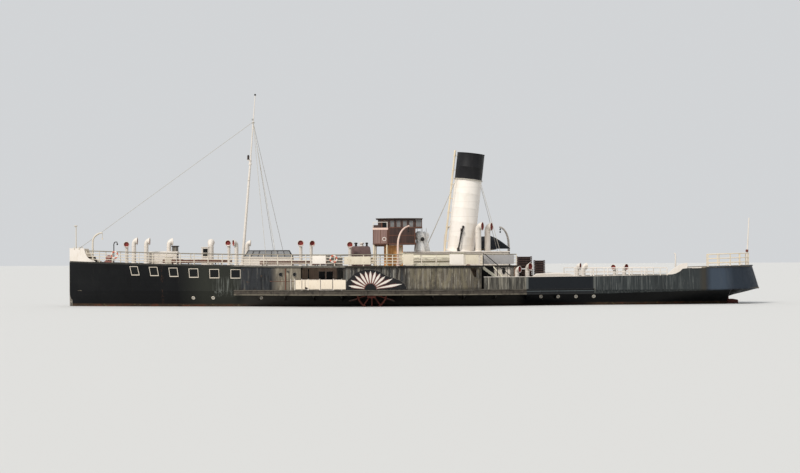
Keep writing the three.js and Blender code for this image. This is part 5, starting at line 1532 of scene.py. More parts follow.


# Wall behind the gangway: brown boards, a pair of windows in pale frames, light boards beside the box. The
# brown boards and the frames are painted much lighter than their own colours, as painted light in the shade
# under the promenade deck, and the black sheet in the doorway is painted shade
def makeGangwayWall():
    y0, y1 = 4.852, 4.9
    addBox((-9.48, y0, onMainDeck), (-8.62, y1, 3.49), 0)
    addBox((-8.62, y0, onMainDeck), (-6.95, y1, 2.42), 0)
    addBox((-8.62, y0, 3.12), (-6.95, y1, 3.49), 0)
    for x0, x1 in ((-8.05, -7.9), (-7.34, -6.95)):
        addBox((x0, y0, 2.42), (x1, y1, 3.12), 0)
    # The frames take the pale pink paint, lighter than their red trim, as painted light in the shade under
    # the deck
    for x0 in (-8.67, -7.96):  # pale window frames
        for u0, u1, z0, z1, y in ((0, 0.07, 2.4, 3.16, 4.93), (0.62, 0.69, 2.4, 3.16, 4.93),
                (0, 0.69, 3.12, 3.19, 4.93), (0, 0.69, 2.36, 2.42, 4.94)):
            addBox((x0 + u0, 4.9, z0), (x0 + u1, y, z1), 1)
        addBox((x0 + 0.04, 4.87, 2.4), (x0 + 0.65, 4.88, 3.14), 2)
    for i in range(4):
        x = -6.95 + i * 0.16
        addBox((x + 0.005, 4.86, onMainDeck), (x + 0.155, 4.93 + random.uniform(0, 0.015), 3.49), 3)
    # Black sheet inside the doorway: painted shade of the room behind it
    addBox((-10.1, 4.72, onMainDeck), (-9.4, 4.76, 3.4), 4)  # dark inside the doorway


# White wall with an oval light beside the stair, shut over the after doorway
def makeStairWall():
    addBox((7.17, 4.852, onMainDeck), (8.64, 4.89, 3.49))
    addBox((8.44, 4.88, onMainDeck), (8.58, 4.92, 3.49))
    # Black panel forward of the white wall: painted shade of the dark opening under the stair
    addBox((6.0, 4.84, onMainDeck), (7.16, 4.88, 3.49), 1)
    addBox((8.66, 4.9, onMainDeck), (8.92, 5.02, 3.49), 2)
    for x in (7.19, 8.36):
        addBox((x, 4.88, 1.6), (x + 0.03, 4.9, 3.44), 1)
    oval = [(8.05 + 0.18 * c, 3.1 + 0.33 * s) for c, s in circle(24)]
    addLoft([[(x, y, z) for x, z in oval] for y in (4.87, 4.9)], 1)
    addTube([(x, 4.9, z) for x, z in oval], 0.025, 6, loop=True)


# Portholes, pipe and seam on the forward houses, and the canvas that runs on over their after end
forwardHouse = {"portholes": [(-11.91, 2.88, 0.19), (-10.63, 2.88, 0.19), (-11.22, 3.12, 0.09)],
    "pipe": -11.48, "seam": 2.28}


def makeForwardHouseFittings():
    for x, z, radius in forwardHouse["portholes"]:
        lean = (edgeHalf(x + 0.1) - edgeHalf(x - 0.1)) / 0.2
        out = Vector((-lean, 1, 0)).normalized()
        centre = Vector((x, edgeHalf(x) - 0.1, z))
        addDisc(centre, out, radius * 0.85, 0.04, tone=1)
        addRing(centre + out * 0.03, out, radius, 0.03)
    x = forwardHouse["pipe"]
    addTube([(x, edgeHalf(x) - 0.04, z) for z in (1.52, 3.4)], 0.05, 8, tone=2)
    seam = [(x, edgeHalf(x) - 0.09, forwardHouse["seam"]) for x in (-12.9, -11.0, -10.05)]
    addTube(seam, 0.02, 6, tone=2)
    for x in (-10.98, -10.62):
        addTube([(x, edgeHalf(x) - 0.03, z) for z in (1.5, 2.5)], 0.03, 8, tone=3)


def makePromenade():
    makePromenadeDeck()
    sidePieces("PromenadeEdge", makeDeckEdge, "deckEdge", "grey_plating", sharpness=30)
    makeVents()
    makeForwardCompanion()
    makeSaloonSkylight()
    makeDeckGear()
    sidePieces("SlattedSeats", makeSeats, ["teak", "iron"], "dark_wood", bevel=0.004)
    sidePieces("PromenadeRail", makePromenadeRail, ["worn", "railWood"], "white_paint", ["{}_promenade_rail"])
    makeDodgers()
    makeLifebuoys()
    sidePieces("DeckLocker", makeSideLocker, "greyBoards", "grey_plating", bevel=0.01)
    makeGangways()
    sidePieces("GangwayWall", makeGangwayWall, ["brownWall", "pinkish", "glass", "greyBoards", "black"],
        "varnished_wood", bevel=0.006)
    sidePieces("StairWall", makeStairWall, ["white", "black", "greyBoards"], "white_paint", bevel=0.006)
    sidePieces("ForwardHouseFittings", makeForwardHouseFittings, ["stem", "glass", "teak", "white"],
        "grey_plating")
    print("promenade deck and gangways made")


makePromenade()


# Boiler casing: steel house with a roof, tall ventilators, covered engine gear and a signal pole
casing = {"x0": -0.88, "x1": 8.68, "half": 1.68, "roof": 4.8, "top": 4.9}


def makeCasing():
    x0, x1, half, roof, top = casing.values()
    addBox((x0, -half, onPromenade), (x1, half, roof))
    addBox((x0 - 0.1, -half - 0.1, roof), (x1 + 0.1, half + 0.1, top))
    for shape["side"] in bothSides:
        for x in spread(x0 + 0.7, x1 - 0.7, 8):  # seams and a handrail
            addBox((x - 0.03, half - 0.01, 3.65), (x + 0.03, half + 0.02, roof))
        addTube([(x, half + 0.09, 4.55) for x in (x0 + 0.3, x1 - 0.3)], 0.02, 8)
        for x in spread(x0 + 0.3, x1 - 0.3, 9):
            addTube([(x, half - 0.01, 4.55), (x, half + 0.09, 4.55)], 0.015, 6)
    newPiece("boilerCasing", "white", "white_paint", replaces=["boiler_casing"], bevel=0.015)

    for i, (x, y) in enumerate(((5.92, -1.1), (6.87, 1.1))):
        addCowl(x, y, top, 7.1, 0.27, 0.38, astern - 0.4, 28)
        newPiece(f"tallVentilator{i + 1}", ["white", "darkRed"], "white_paint", sharpness=50)

    # Engine gear under tied grey covers, painted near white as painted light against the shade between them
    gear = ((0.5, -0.9), (1.0, 0.9))
    for x, y in gear:
        profile = [(0, 0), (0.46, 0.02), (0.5, 0.12), (0.44, 0.4), (0.4, 0.65), (0.28, 0.95), (0.27, 1.02),
            (0.4, 1.3), (0.42, 1.5), (0.36, 1.72), (0.2, 1.86), (0, 1.9)]
        addTurned(profile, (x, y, 4.88), sides=26)
        for lean in (-0.22, 0.18):
            addTube([(x + lean, y, 6.5), (x + lean * 0.9, y, 7.1)], 0.025, 6)
    for i, (x, y, z) in enumerate(shape["points"]):
        centre = gear[0] if y < 0 else gear[1]
        turn = atan2(y - centre[1], x - centre[0])
        swell = 1 + 0.06 * sin(5 * turn + 3 * z) + 0.04 * sin(9 * turn - 5 * z)
        shape["points"][i] = (centre[0] + (x - centre[0]) * swell, centre[1] + (y - centre[1]) * swell, z)
    for x, y in gear:
        addRing((x, y, 5.87), (0, 0, 1), 0.3, 0.025, sides=26)
    addTurned([(0, 0), (0.16, 0.03), (0.19, 0.1), (0.16, 0.2), (0, 0.22)], (0.78, -1.1, 6.04), (0, -1, 0), 18,
        1)
    newPiece("coveredGear", ["greyGear", "iron"], "canvas", sharpness=70)

    addTube([(4.08, -1.5, 4.88), (4.36, -1.5, 6.95)], [0.055, 0.04], 10)
    addBox((4.28, -1.58, 6.72), (4.46, -1.42, 7.0))
    addCollar((4.08, -1.5, 4.9), 0.045, 0.12, 0.14, 0.18, sides=14)
    newPiece("signalPole", "iron", "dark_iron")
    print("casing made")


# Funnel: plated, with its black top, a rim, the stays and the steam pipe
funnel = {"foot": (4.33, 0, 4.92), "head": (5.34, 0, 13.96), "radius": 1.255, "skin": 1.275, "black": 0.735}


def onFunnel(height, forward=0.0, across=0.0):
    foot, head = Vector(funnel["foot"]), Vector(funnel["head"])
    along = (head - foot).normalized()
    return foot + along * height + Vector((-along.z, 0, along.x)) * forward + Vector((0, across, 0))


def makeFunnel():
    foot, head = Vector(funnel["foot"]), Vector(funnel["head"])
    along = head - foot
    length = along.length
    black = length * funnel["black"]
    r, skin = funnel["radius"], funnel["skin"]
    laps = spread(0.0, black, 6)
    profile = [(r - 0.08, 0.35), (r - 0.08, -0.05), (r, -0.05)]
    for a, b in zip(laps, laps[1:]):
        profile += [(r, a + 0.03), (r, b - 0.03), (r + 0.014, b - 0.03)]
    profile += [(r + 0.014, black - 0.003), (r - 0.08, black - 0.003), (r - 0.08, 0.35)]
    addTurned(profile, foot, along, 64)
    addTurned([(r, -0.1), (r + 0.1, -0.1), (r + 0.1, 0.04), (r + 0.03, 0.1), (r, 0.1)], foot, along, 64)
    shape["points"] = [(x, y, max(z, 4.902)) for x, y, z in shape["points"]]
    newPiece("funnelShell", "funnel", "funnel_white", replaces=["funnel"], sharpness=40)

    profile = [(r - 0.08, black), (r + 0.004, black), (r + 0.004, black + 1.1), (r + 0.012, black + 1.12),
        (r + 0.004, black + 1.14), (r + 0.004, length - 0.1), (r + 0.018, length - 0.09),
        (r + 0.018, length - 0.01), (r - 0.04, length - 0.005), (r - 0.08, length - 0.05), (r - 0.08, black)]
    addTurned(profile, foot, along, 64)
    newPiece("funnelCrown", "black", "funnel_black", replaces=["funnel_top"], sharpness=40)

    inner = skin / cos(pi / 24)
    band = black - 0.1
    addTurned(hoop(r, inner + 0.05, band, band + 0.08), foot, along, 48)
    for turn, x, y in ((35, 0.4, 2.7), (-35, 0.4, -2.7), (145, 8.2, 2.6), (-145, 8.2, -2.6)):
        angle = radians(turn)
        lug = onFunnel(band + 0.04, cos(angle) * (inner + 0.03), sin(angle) * (inner + 0.03))
        end = Vector((x, y, 3.62))
        addTube([lug, end + (lug - end).normalized() * 0.5], 0.02, 6)
        addTube([end, end + (lug - end).normalized() * 0.55], 0.035, 8)  # bottle screw
    newPiece("funnelStays", "wire", "rigging_wire", replaces=["funnel_stays"])

    pipeHead = length + 0.15
    stations = spread(0.0, pipeHead, 12)
    path = [onFunnel(h, skin + 0.22) for h in stations]
    path[0] = Vector((path[0].x, 0, 4.905))
    addTube(path, 0.09, 14)
    for h in spread(0.8, pipeHead - 0.5, 7):  # clips and pipe joints
        addTube([onFunnel(h, 1.25), onFunnel(h, 1.5)], 0.03, 8)
        addTube([onFunnel(h - 0.05, 1.495), onFunnel(h + 0.05, 1.495)], 0.115, 14)
    for across in (-0.16, 0.16):  # ladder beside the pipe
        addTube([onFunnel(h, 1.27 + 0.16, across * 1.9) for h in (0.15, length - 0.6)], 0.022, 6, tone=1)
    for h in spread(0.4, length - 0.8, 26):
        addTube([onFunnel(h, 1.43, -0.3), onFunnel(h, 1.43, 0.3)], 0.014, 6, tone=1)
    newPiece("steamPipe", ["cream", "worn"], "rusty_iron", replaces=["steam_pipe"])

    # Small pipe and lamp bracket on the port side
    path = [onFunnel(0.1, 0.3, -skin * 0.985), onFunnel(0.2, 0.3, -skin * 1.02),
        onFunnel(2.1, 0.05, -skin * 1.03), onFunnel(2.35, 0.05, -skin)]
    addTube(path, 0.05, 10)
    for h, forward in ((0.15, 0.3), (2.2, 0.05)):
        addTube([onFunnel(h + up, forward, -skin * 1.02) for up in (-0.1, 0.12)], 0.1, 12)
    newPiece("funnelDrain", "iron", "dark_iron")
    print("funnel made")


# Bridge: deck boards, posts, house beneath, wheelhouse, wings and lights
bridge = {"x0": -3.7, "x1": -2.35, "half": 8.2, "top": 5.6, "midX": 0.2, "midHalf": 2.5}


def makeBridge():
    x0, x1, half, top, midX, midHalf = bridge.values()
    under = top - 0.1
    addBox((x0, -half, under + 0.04), (x1, half, top - 0.002))
    addBox((x1, -midHalf, under + 0.04), (midX, midHalf, top - 0.002))
    for y in spread(-half + 0.2, half - 0.2, 21):  # beams under the deck
        addBox((x0 + 0.05, y - 0.03, under - 0.06), (x1 - 0.05, y + 0.03, under + 0.05))
    for x in (x0 + 0.03, x1 - 0.09):
        addBox((x, -half, under - 0.02), (x + 0.06, half, under + 0.06))
    for y in (-8.05, -5.2, 5.2, 8.05):
        for x in (x0 + 0.1, x1 - 0.1):
            addPost(x, y, 3.6, under + 0.02, 0.06, 12, tone=1)
            addCollar((x, y, 3.6), 0.06, 0.12, 0.04, 0.07, sides=14, tone=1)
            inner = -0.35 if y > 0 else 0.35
            addTube([(x, y, under - 0.4), (x, y + inner, under - 0.02)], 0.03, 8, tone=1)
    newPiece("bridgeDeck", ["teak", "cream"], "dark_wood", replaces=["bridge_deck"], bevel=0.006)

    # House under the bridge: panelled walls, port door and shutters, in a light orange varnish that carries
    # painted sunlight into the shade under the bridge
    x0, x1, half, z0, z1 = -2.74, -1.03, 1.89, onPromenade, 5.497
    addPanel([x0, -2.2, -1.5, x1], [z0, 3.7, 5.3, z1],
        lambda x, z, back: (x, -(half - (0.06 if back else 0)), z), [(1, 1)])
    addBox((-2.2, -half + 0.03, 3.7), (-1.5, -half + 0.055, 5.3))
    addPanel([x0, x1], [z0, z1], lambda x, z, back: (x, half - (0.06 if back else 0), z))
    for x, sign in ((x0, 1), (x1, -1)):
        addPanel([-half + 0.06, half - 0.06], [z0, z1],
            lambda y, z, back: (x + (sign * 0.06 if back else 0), y, z))
    for y in spread(-half, half, 6):
        for x in (x0 - 0.015, x1 - 0.005):
            addBox((x, y - 0.04 if y < half else y - 0.08, z0),
                (x + 0.02, y + 0.04 if y > -half else y + 0.08, z1))
    for shape["side"] in bothSides:
        for x in (x0, -2.28, -1.5, x1 - 0.08):
            addBox((x, half - 0.005, z0), (x + 0.08, half + 0.012, z1))
        for z in (z0, 5.3, z1 - 0.08):
            addBox((x0, half - 0.005, z), (x1, half + 0.01, z + 0.08))
    addBox((-1.47, -half - 0.008, 3.61), (-1.03, -half + 0.01, 5.49), 1)
    newPiece("bridgeDeckhouse", ["orange", "cream"], "varnished_wood", replaces=["bridge_deckhouse"],
        bevel=0.006)


wheelhouse = {"x0": -3.3, "x1": 0.12, "half": 2.05, "sill": 7.12, "head": 7.76, "doorX": (-3.02, -2.37),
    "sideWindows": [-2.2, -1.62, -1.04, -0.46], "sideWidth": 0.42, "endWindows": [-1.9, -1.1, -0.3, 0.5, 1.3],
    "endWidth": 0.6}


# Sash bars round an opening, and the glass in it, on a wall across x or y
def addSash(at, low, high, z0, z1, acrossX, bar=0.035):
    def place(u, d, z):
        return (at + d, u, z) if acrossX else (u, at + d, z)

    for u0, u1, w0, w1 in ((low, low + bar, z0, z1), (high - bar, high, z0, z1), (low, high, z0, z0 + bar),
            (low, high, z1 - bar, z1)):
        addBox((u0, -0.02, w0), (u1, 0.02, w1), 0, place)
    addBox((low + bar, -0.004, z0 + bar), (high - bar, 0.004, z1 - bar), 1, place)


def makeWheelhouse():
    x0, x1, half, sill, head, doorX, sideWindows, sideWidth, endWindows, endWidth = wheelhouse.values()
    wall = 0.07
    edges = [x0, doorX[0], doorX[1]]
    for x in sideWindows:
        edges += [x, x + sideWidth]
    edges.append(x1)
    rows = [onBridge, sill, head, 7.8, 7.879]
    openings = [(x, x + sideWidth, sill, head) for x in sideWindows]
    openings.append((*doorX, 5, 7.8))
    for side in bothSides:
        addPanel(edges, rows, lambda x, z, back: (x, side * (half - (wall if back else 0)), z),
            insideCells(edges, rows, openings))
    ends = [-half + wall]
    for y in endWindows:
        ends += [y, y + endWidth]
    ends.append(half - wall)
    openings = [(y, y + endWidth, sill, head) for y in endWindows]
    rows = [onBridge, sill, head, 7.879]
    for x, sign in ((x0, 1), (x1, -1)):
        addPanel(ends, rows, lambda y, z, back: (x + (sign * wall if back else 0), y, z),
            insideCells(ends, rows, openings))
    newPiece("wheelhouseWalls", "dark", "dark_wood", replaces=["wheelhouse"], bevel=0.004)

    # Mouldings, sashes and glass
    mouldings = (5.61, 6.35, 7.05)
    for side in bothSides:
        y = side * (half - 0.03)
        for x in sideWindows:
            addSash(y, x, x + sideWidth, sill, head, False)
        for x in [x0 + 0.03, -2.3, -1.1, x1 - 0.05]:
            addBox((x - 0.03, side * (half - 0.01), 5.61), (x + 0.03, side * (half + 0.018), 7.05), 2)
        for z in mouldings:
            addBox((-2.33, side * (half - 0.01), z), (x1, side * (half + 0.022), z + 0.06), 2)
    for x, out in ((x0, -1), (x1, 1)):
        for y in endWindows:
            addSash(x - out * 0.03, y, y + endWidth, sill, head, True)
        for z in mouldings:
            addBox((x - 0.01, -half, z), (x + out * 0.022 + 0.01, half, z + 0.06), 2)
        for y in spread(-half + 0.04, half - 0.04, 6):
            addBox((x - 0.01, y - 0.03, 5.61), (x + out * 0.018 + 0.01, y + 0.03, 7.05), 2)
    for side in bothSides:  # glazed bay under the after end of the roof
        y = side * (half - 0.04)
        addBox((x1, y - 0.03, 7.06), (0.76, y + 0.03, 7.14), 2)
        addSash(y, x1 + 0.03, 0.72, 7.14, 7.87, False)
    addBox((0.7, -half + 0.01, 7.06), (0.76, half - 0.01, 7.14), 2)
    for y0, y1 in ((-2.0, -0.7), (-0.66, 0.66), (0.7, 2.0)):
        addSash(0.73, y0, y1, 7.14, 7.87, True)
    newPiece("wheelhouseSashes", ["teak", "skyGlass", "teak"], "varnished_wood", bevel=0.004)

    # Cambered roof with a drip edge and hand rail
    rings = []
    for x, rise in ((-3.5, 0.0), (-3.42, 0.03), (-2.4, 0.1), (-1.35, 0.13), (-0.3, 0.1), (0.72, 0.03),
            (0.8, 0.0)):
        rings.append([(x, -2.3, 7.885), (x, 2.3, 7.885), (x, 2.3, 7.94), (x, 1.4, 7.955 + rise * 0.25),
            (x, 0, 7.96 + rise * 0.4), (x, -1.4, 7.955 + rise * 0.25), (x, -2.3, 7.94)])
    addLoft(rings)
    newPiece("wheelhouseRoof", "roof", "dark_wood", replaces=["wheelhouse_roof"], bevel=0.01)

    # Helm and telegraph
    addTurned(hoop(0.5, 0.56, -0.03, 0.03), (-2.55, 0, 6.65), (1, 0, 0), 32)
    addTurned(drum(0.1, -0.06, 0.06), (-2.55, 0, 6.65), (1, 0, 0), 16)
    for c, s in circle(8):
        addTube([(-2.55, 0.06 * c, 6.65 + 0.06 * s), (-2.55, 0.74 * c, 6.65 + 0.74 * s)], [0.02, 0.016], 6)
    addTurned([(0, 0), (0.2, 0), (0.12, 0.1), (0.1, 0.95), (0.14, 1.05), (0, 1.1)], (-2.4, 0, 5.6), sides=16)
    addTurned([(0, 0), (0.14, 0), (0.07, 0.08), (0.06, 0.9), (0.17, 0.98), (0.17, 1.2), (0, 1.3)],
        (-2.6, -1.2, 5.6), sides=16, tone=1)
    newPiece("helm", ["teak", "brass"], "varnished_wood")


def makeDoor():
    w = wheelhouse
    x0, x1 = w["doorX"][0] + 0.014, w["doorX"][1] - 0.014
    edges, rows = [x0, x0 + 0.11, x1 - 0.11, x1], [5.64, 7.1, 7.66, 7.775]
    addPanel(edges, rows, lambda x, z, back: (x, w["half"] - (0.05 if back else 0.006), z), [(1, 1)])
    addBox((x0 + 0.1, w["half"] - 0.035, 7.09), (x1 - 0.1, w["half"] - 0.027, 7.67), 1)
    for z0, z1 in ((5.75, 6.3), (6.42, 6.98)):
        addBox((x0 + 0.12, w["half"] - 0.02, z0), (x1 - 0.12, w["half"] - 0.001, z1))
    addTube([(x1 - 0.07, w["half"] - 0.02, 6.6), (x1 - 0.07, w["half"] + 0.004, 6.6)], 0.02, 8, tone=2)
    addPost(x0, w["half"], 5.603, 5.8, 0.011, 8, tone=2)


# Bridge wings: panelled screens with a teak cap, stanchions and a roof bar
def makeWing():
    b = bridge
    x0, x1, inner, outer = b["x0"] + 0.03, b["x1"] - 0.03, 5.95, b["half"] - 0.02
    thick = 0.05
    addPanel([x0, x1], [onBridge, 6.9], lambda x, z, back: (x, outer - (thick if back else 0), z))
    for x, sign in ((x0, 1), (x1, -1)):
        addPanel([inner, outer - thick], [onBridge, 6.9],
            lambda y, z, back: (x + (sign * thick if back else 0), y, z))
    for y in spread(inner + 0.03, outer - 0.05, 6):
        for x in (x0 - 0.012, x1 - 0.008):
            addBox((x, y - 0.03, 5.62), (x + 0.02, y + 0.03, 6.88), 1)
    for x in (x0, (x0 + x1) / 2, x1 - 0.06):
        addBox((x, outer - 0.01, 5.62), (x + 0.06, outer + 0.012, 6.88), 1)
    addBox((b["x0"], b["half"] - 0.12, 6.8), (b["x1"], b["half"], 6.98), 2)
    addBox((b["x0"] + 0.02, b["half"] - 0.3, 6.98), (b["x0"] + 0.6, b["half"] - 0.04, 7.22), 4)
    for x in (b["x0"], b["x1"] - 0.12):
        addBox((x, inner - 0.02, 6.9), (x + 0.12, b["half"] - 0.12, 6.98), 2)
    for x in (b["x0"] + 0.06, b["x1"] - 0.06):
        addPost(x, b["half"] - 0.06, 6.95, 7.5, 0.03, 8, tone=3)
    addTube([(x, b["half"] - 0.06, 7.47) for x in (b["x0"] + 0.06, b["x1"] - 0.06)], 0.025, 8, tone=3)
    centre = Vector((-2.67, outer, 5.98))
    addTube([centre + Vector((c, 0, s)) * 0.15 for c, s in circle(28)], 0.03, 6, loop=True, tone=3)


# Boats. A station is a share of the length
boat = {"length": 5.5, "half": 0.85, "depth": 0.82, "strakes": 9, "port": (1.65, -7.05, 3.76),
    "starboard": (5.55, 3.7, 5.02), "coveredLength": 4.5}


def boatRing(share, inset, count):
    fullness = sin(pi * (0.03 + 0.94 * share)) ** 0.55
    sheer = 0.16 * (2 * share - 1) ** 2
    beam = max(boat["half"] * fullness - inset, 0.03)
    top = boat["depth"] + sheer
    low = inset + 0.1 * (2 * share - 1) ** 4
    points = []
    for i in range(count + 1):
        t = i / count
        y = beam * min(1.0, 1.06 * sin(pi / 2 * t ** 0.72))
        points.append((y, low + (top - low) * t ** 1.5))
    return points


# Clinker skin: each strake laps the one below it
def addBoat(centre, length):
    cx, cy, cz = centre
    shares = [0, 0.02, 0.06, 0.12, 0.2, 0.3, 0.4, 0.5, 0.6, 0.7, 0.8, 0.88, 0.94, 0.98, 1]
    n = boat["strakes"]
    for sign in bothSides:
        for s in range(n):
            rings = []
            for share in shares:
                ring = boatRing(share, 0.0, n)
                (y0, z0), (y1, z1) = ring[s], ring[s + 1]
                lap = 0.018 * min(1, 8 * min(share, 1 - share) + 0.2)
                x = cx + length * (share - 0.5)
                rings.append([(x, cy + sign * y0, cz + z0), (x, cy + sign * max(y1 - lap, 0.0), cz + z1),
                    (x, cy + sign * max(y1 - lap - 0.03, 0.0), cz + z1),
                    (x, cy + sign * max(y0 - 0.03, 0.0), cz + z0 + 0.01)])
            addLoft(rings)
        gunwale = []
        for share in shares:
            y, z = boatRing(share, 0.0, n)[-1]
            gunwale.append((cx + length * (share - 0.5), cy + sign * (y - 0.01), cz + z))
        addTube(gunwale, 0.038, 8, tone=1)
    keel = [(cx + length * (share - 0.5), cy, cz + boatRing(share, 0.0, n)[0][1] - 0.01) for share in shares]
    addTube(keel, 0.035, 6, tone=0)
    for share in (0.004, 0.996):
        x = cx + length * (share - 0.5)
        top = boatRing(share, 0.0, n)[-1][1]
        addBox((x - 0.03, cy - 0.03, cz + 0.08), (x + 0.03, cy + 0.03, cz + top + 0.02))


def makePortBoat():
    cx, cy, cz = boat["port"]
    addBoat(boat["port"], boat["length"])
    addBox((-0.1, -8.24, 3.6), (3.07, -8.2, 3.86))
    for x in (-1.5, -0.3, 0.9, 1.8):
        addBox((cx + x, cy - 0.72, cz + 0.6), (cx + x + 0.2, cy + 0.72, cz + 0.65), 1)
    for t in spread(0.14, 0.86, 15):
        for sign in bothSides:
            ring = boatRing(t, 0.045, 10)
            x = cx + boat["length"] * (t - 0.5)
            addTube([(x, cy + sign * y, cz + z) for y, z in ring[1:]], 0.016, 5)
    newPiece("portLifeboat", ["creamBoat", "boatWood"], "white_paint", replaces=["port_lifeboat"],
        sharpness=45)

    # Chocks, gripes and the boat's grab line, which is fast to it all the way
    for x in (cx - 1.3, cx + 1.3):
        for y0, y1, z1 in ((-0.42, -0.12, 4.02), (0.12, 0.42, 4.02), (-0.14, 0.14, 3.75)):
            addBox((x - 0.07, cy + y0, onPromenade), (x + 0.07, cy + y1, z1))
        gripe = [(x + 0.2, cy + y, z) for y, z in ((-0.62, 3.61), (-0.88, 4.2), (-0.88, 4.5), (-0.7, 4.66))]
        addTube(gripe, 0.02, 6, tone=1)
    grabLine = []
    for t in spread(0.1, 0.9, 57):
        loop = 0.05 * sin(pi * ((t - 0.1) * 7 % 1))
        grabLine.append((cx + boat["length"] * (t - 0.5), cy - boatRing(t, -0.02, 10)[7][0],
            cz + boatRing(t, 0, 10)[7][1] - loop))
    addTube(grabLine, 0.014, 6, tone=1)
    newPiece("boatChocks", ["dark", "rope"], "dark_wood", bevel=0.006)


def makeStarboardBoat():
    cx, cy, cz = boat["starboard"]
    length = boat["coveredLength"]
    addBoat(boat["starboard"], length)
    for x in (cx - 1.3, cx + 1.3):
        addBox((x - 0.1, cy - 0.5, onPromenade), (x + 0.1, cy + 0.5, cz - 0.02), 1)
        for y in (-0.42, 0.18):
            addBox((x - 0.1, cy + y, cz - 0.05), (x + 0.1, cy + y + 0.24, cz + 0.26), 1)
    addBox((9.0, cy - 0.25, onPromenade), (9.08, cy + 0.25, cz + 0.06), 1)  # crutch under the cover's tail
    newPiece("starboardLifeboat", ["creamBoat", "dark"], "white_paint", replaces=["starboard_lifeboat"],
        sharpness=45)

    # Cover laced over a ridge pole: level forward, its tail drawn down aft to the deck
    rows, columns = 25, 60
    tail = 1.35  # past the stern
    grid = []
    for j in range(columns):
        x = cx - length / 2 + 0.03 + (length + tail - 0.06) * j / (columns - 1)
        share = min((x - cx) / length + 0.5, 1.0)
        y, z = boatRing(share, -0.03, 10)[-1]
        y = max(y, 0.3) if share > 0.5 else y
        fall = (max(0.0, x - 7.2) / (cx + length / 2 + tail - 7.2)) ** 1.25
        ridge = z + 0.42 * min(1, share / 0.12) ** 0.5
        ridge = ridge + (0.12 - ridge) * fall
        side = min(z, ridge)
        line = []
        for i in range(rows):
            v = 2 * i / (rows - 1) - 1
            over = max(0.0, (abs(v) - 0.6) / 0.4)
            out = min(abs(v) / 0.6, 1.0)
            fold = abs(sin(pi * share * 14))
            height = side + (ridge - side) * (1 - out ** 1.2) - 0.03 * sin(pi * out) * fold
            height -= over * max(side - 0.1 + 0.05 * fold, 0.0)
            across = y * out + 0.03 * min(over * 6, 1)
            line.append((x, cy + across * (1 if v > 0 else -1), cz + height + 0.03))
        grid.append(line)
    addFaces([p for line in grid for p in line],
        [(j * rows + i, j * rows + i + 1, (j + 1) * rows + i + 1, (j + 1) * rows + i)
        for j in range(columns - 1) for i in range(rows - 1)])
    for corners in shape["faces"]:
        p, q, r, s = (Vector(shape["points"][k]) for k in corners)
    cover = newPiece("boatCover", "tarpaulin", "canvas", sharpness=80)
    girth = max(sum((Vector(p) - Vector(q)).length for p, q in zip(line, line[1:])) for line in grid)
    run = max(sum((Vector(a[i]) - Vector(b[i])).length for a, b in zip(grid, grid[1:])) for i in range(rows))


# Davits: a tapered post bent over the boat, with a ball foot, cleat, block and falls
# Columns: x, y, reach in x and y, top
davits = {
    "port_forward_davit": (-1.47, -8.3, 0.95, 1.2, 7.14),
    "starboard_forward_davit": (2.95, 4.85, 0.75, -1.1, 7.5),
    "starboard_after_davit": (9.05, 4.75, -0.85, -1.0, 7.2),
}


def smoothPath(points, steps):
    points = [Vector(p) for p in points]
    path = []
    for i in range(len(points) - 1):
        p0, p1, p2 = points[max(i - 1, 0)], points[i], points[i + 1]
        p3 = points[min(i + 2, len(points) - 1)]
        for k in range(steps):
            t = k / steps
            path.append(0.5 * (2 * p1 + (p2 - p0) * t + (2 * p0 - 5 * p1 + 4 * p2 - p3) * t * t
                + (3 * p1 - 3 * p2 + p3 - p0) * t ** 3))
    return path + [points[-1]]


def makeDavits():
    for name, (x, y, reachX, reachY, top) in davits.items():
        bends = [(0, onPromenade), (0, top - 2.6), (0, top - 1.7), (0.06, top - 1.15), (0.26, top - 0.6),
            (0.6, top - 0.2), (1, top)]
        path = smoothPath([(x + s * reachX, y + s * reachY, z) for s, z in bends], 6)
        thick = 0.125 if name == "starboard_after_davit" else 0.105
        radii = [thick - 0.045 * (i / (len(path) - 1)) for i in range(len(path))]
        addTube(path, radii, 14)
        addTurned([(0.1, 0.3), (0.16, 0.26), (0.16, 0.06), (0.2, 0.0), (0, 0)], (x, y, onPromenade), sides=20)
        head = Vector((x + reachX, y + reachY, top))
        addTurned([(0, -0.08), (0.08, -0.05), (0.1, 0), (0.08, 0.05), (0, 0.08)], head, sides=14)
        addTube([head, head - Vector((0, 0, 0.16))], 0.02, 8, tone=1)
        for drop in (0.16, 0.4):
            low = head - Vector((0, 0, drop + 0.13))
            addTurned([(0, -0.065), (0.075, -0.065), (0.085, -0.02), (0.085, 0.02), (0.075, 0.065),
                (0, 0.065)], low + Vector((0, 0, 0.065)), (1, 0, 0), 16, tone=1)
        addTube([(x + 0.12, y, 4.6), (x - 0.12, y, 4.6)], 0.03, 8, tone=1)
        side, place, _ = name.split("_")
        newPiece(side + place.title() + "Davit", ["pinkish" if side == "port" else "white", "iron"],
            "white_paint", name, [name])


# Mast: tapered, with hoops, cap, topmast, truck and lantern; stays of wire with their screws
mast = {"foot": (-15.9, 3.7), "lower": (-15.11, 13.3), "top": (-14.65, 19.5)}


def mastAt(z):
    (x0, z0), (x1, z1), (x2, z2) = mast["foot"], mast["lower"], mast["top"]
    return x0 + (x1 - x0) * (z - z0) / (z1 - z0) if z < z1 else x1 + (x2 - x1) * (z - z1) / (z2 - z1)


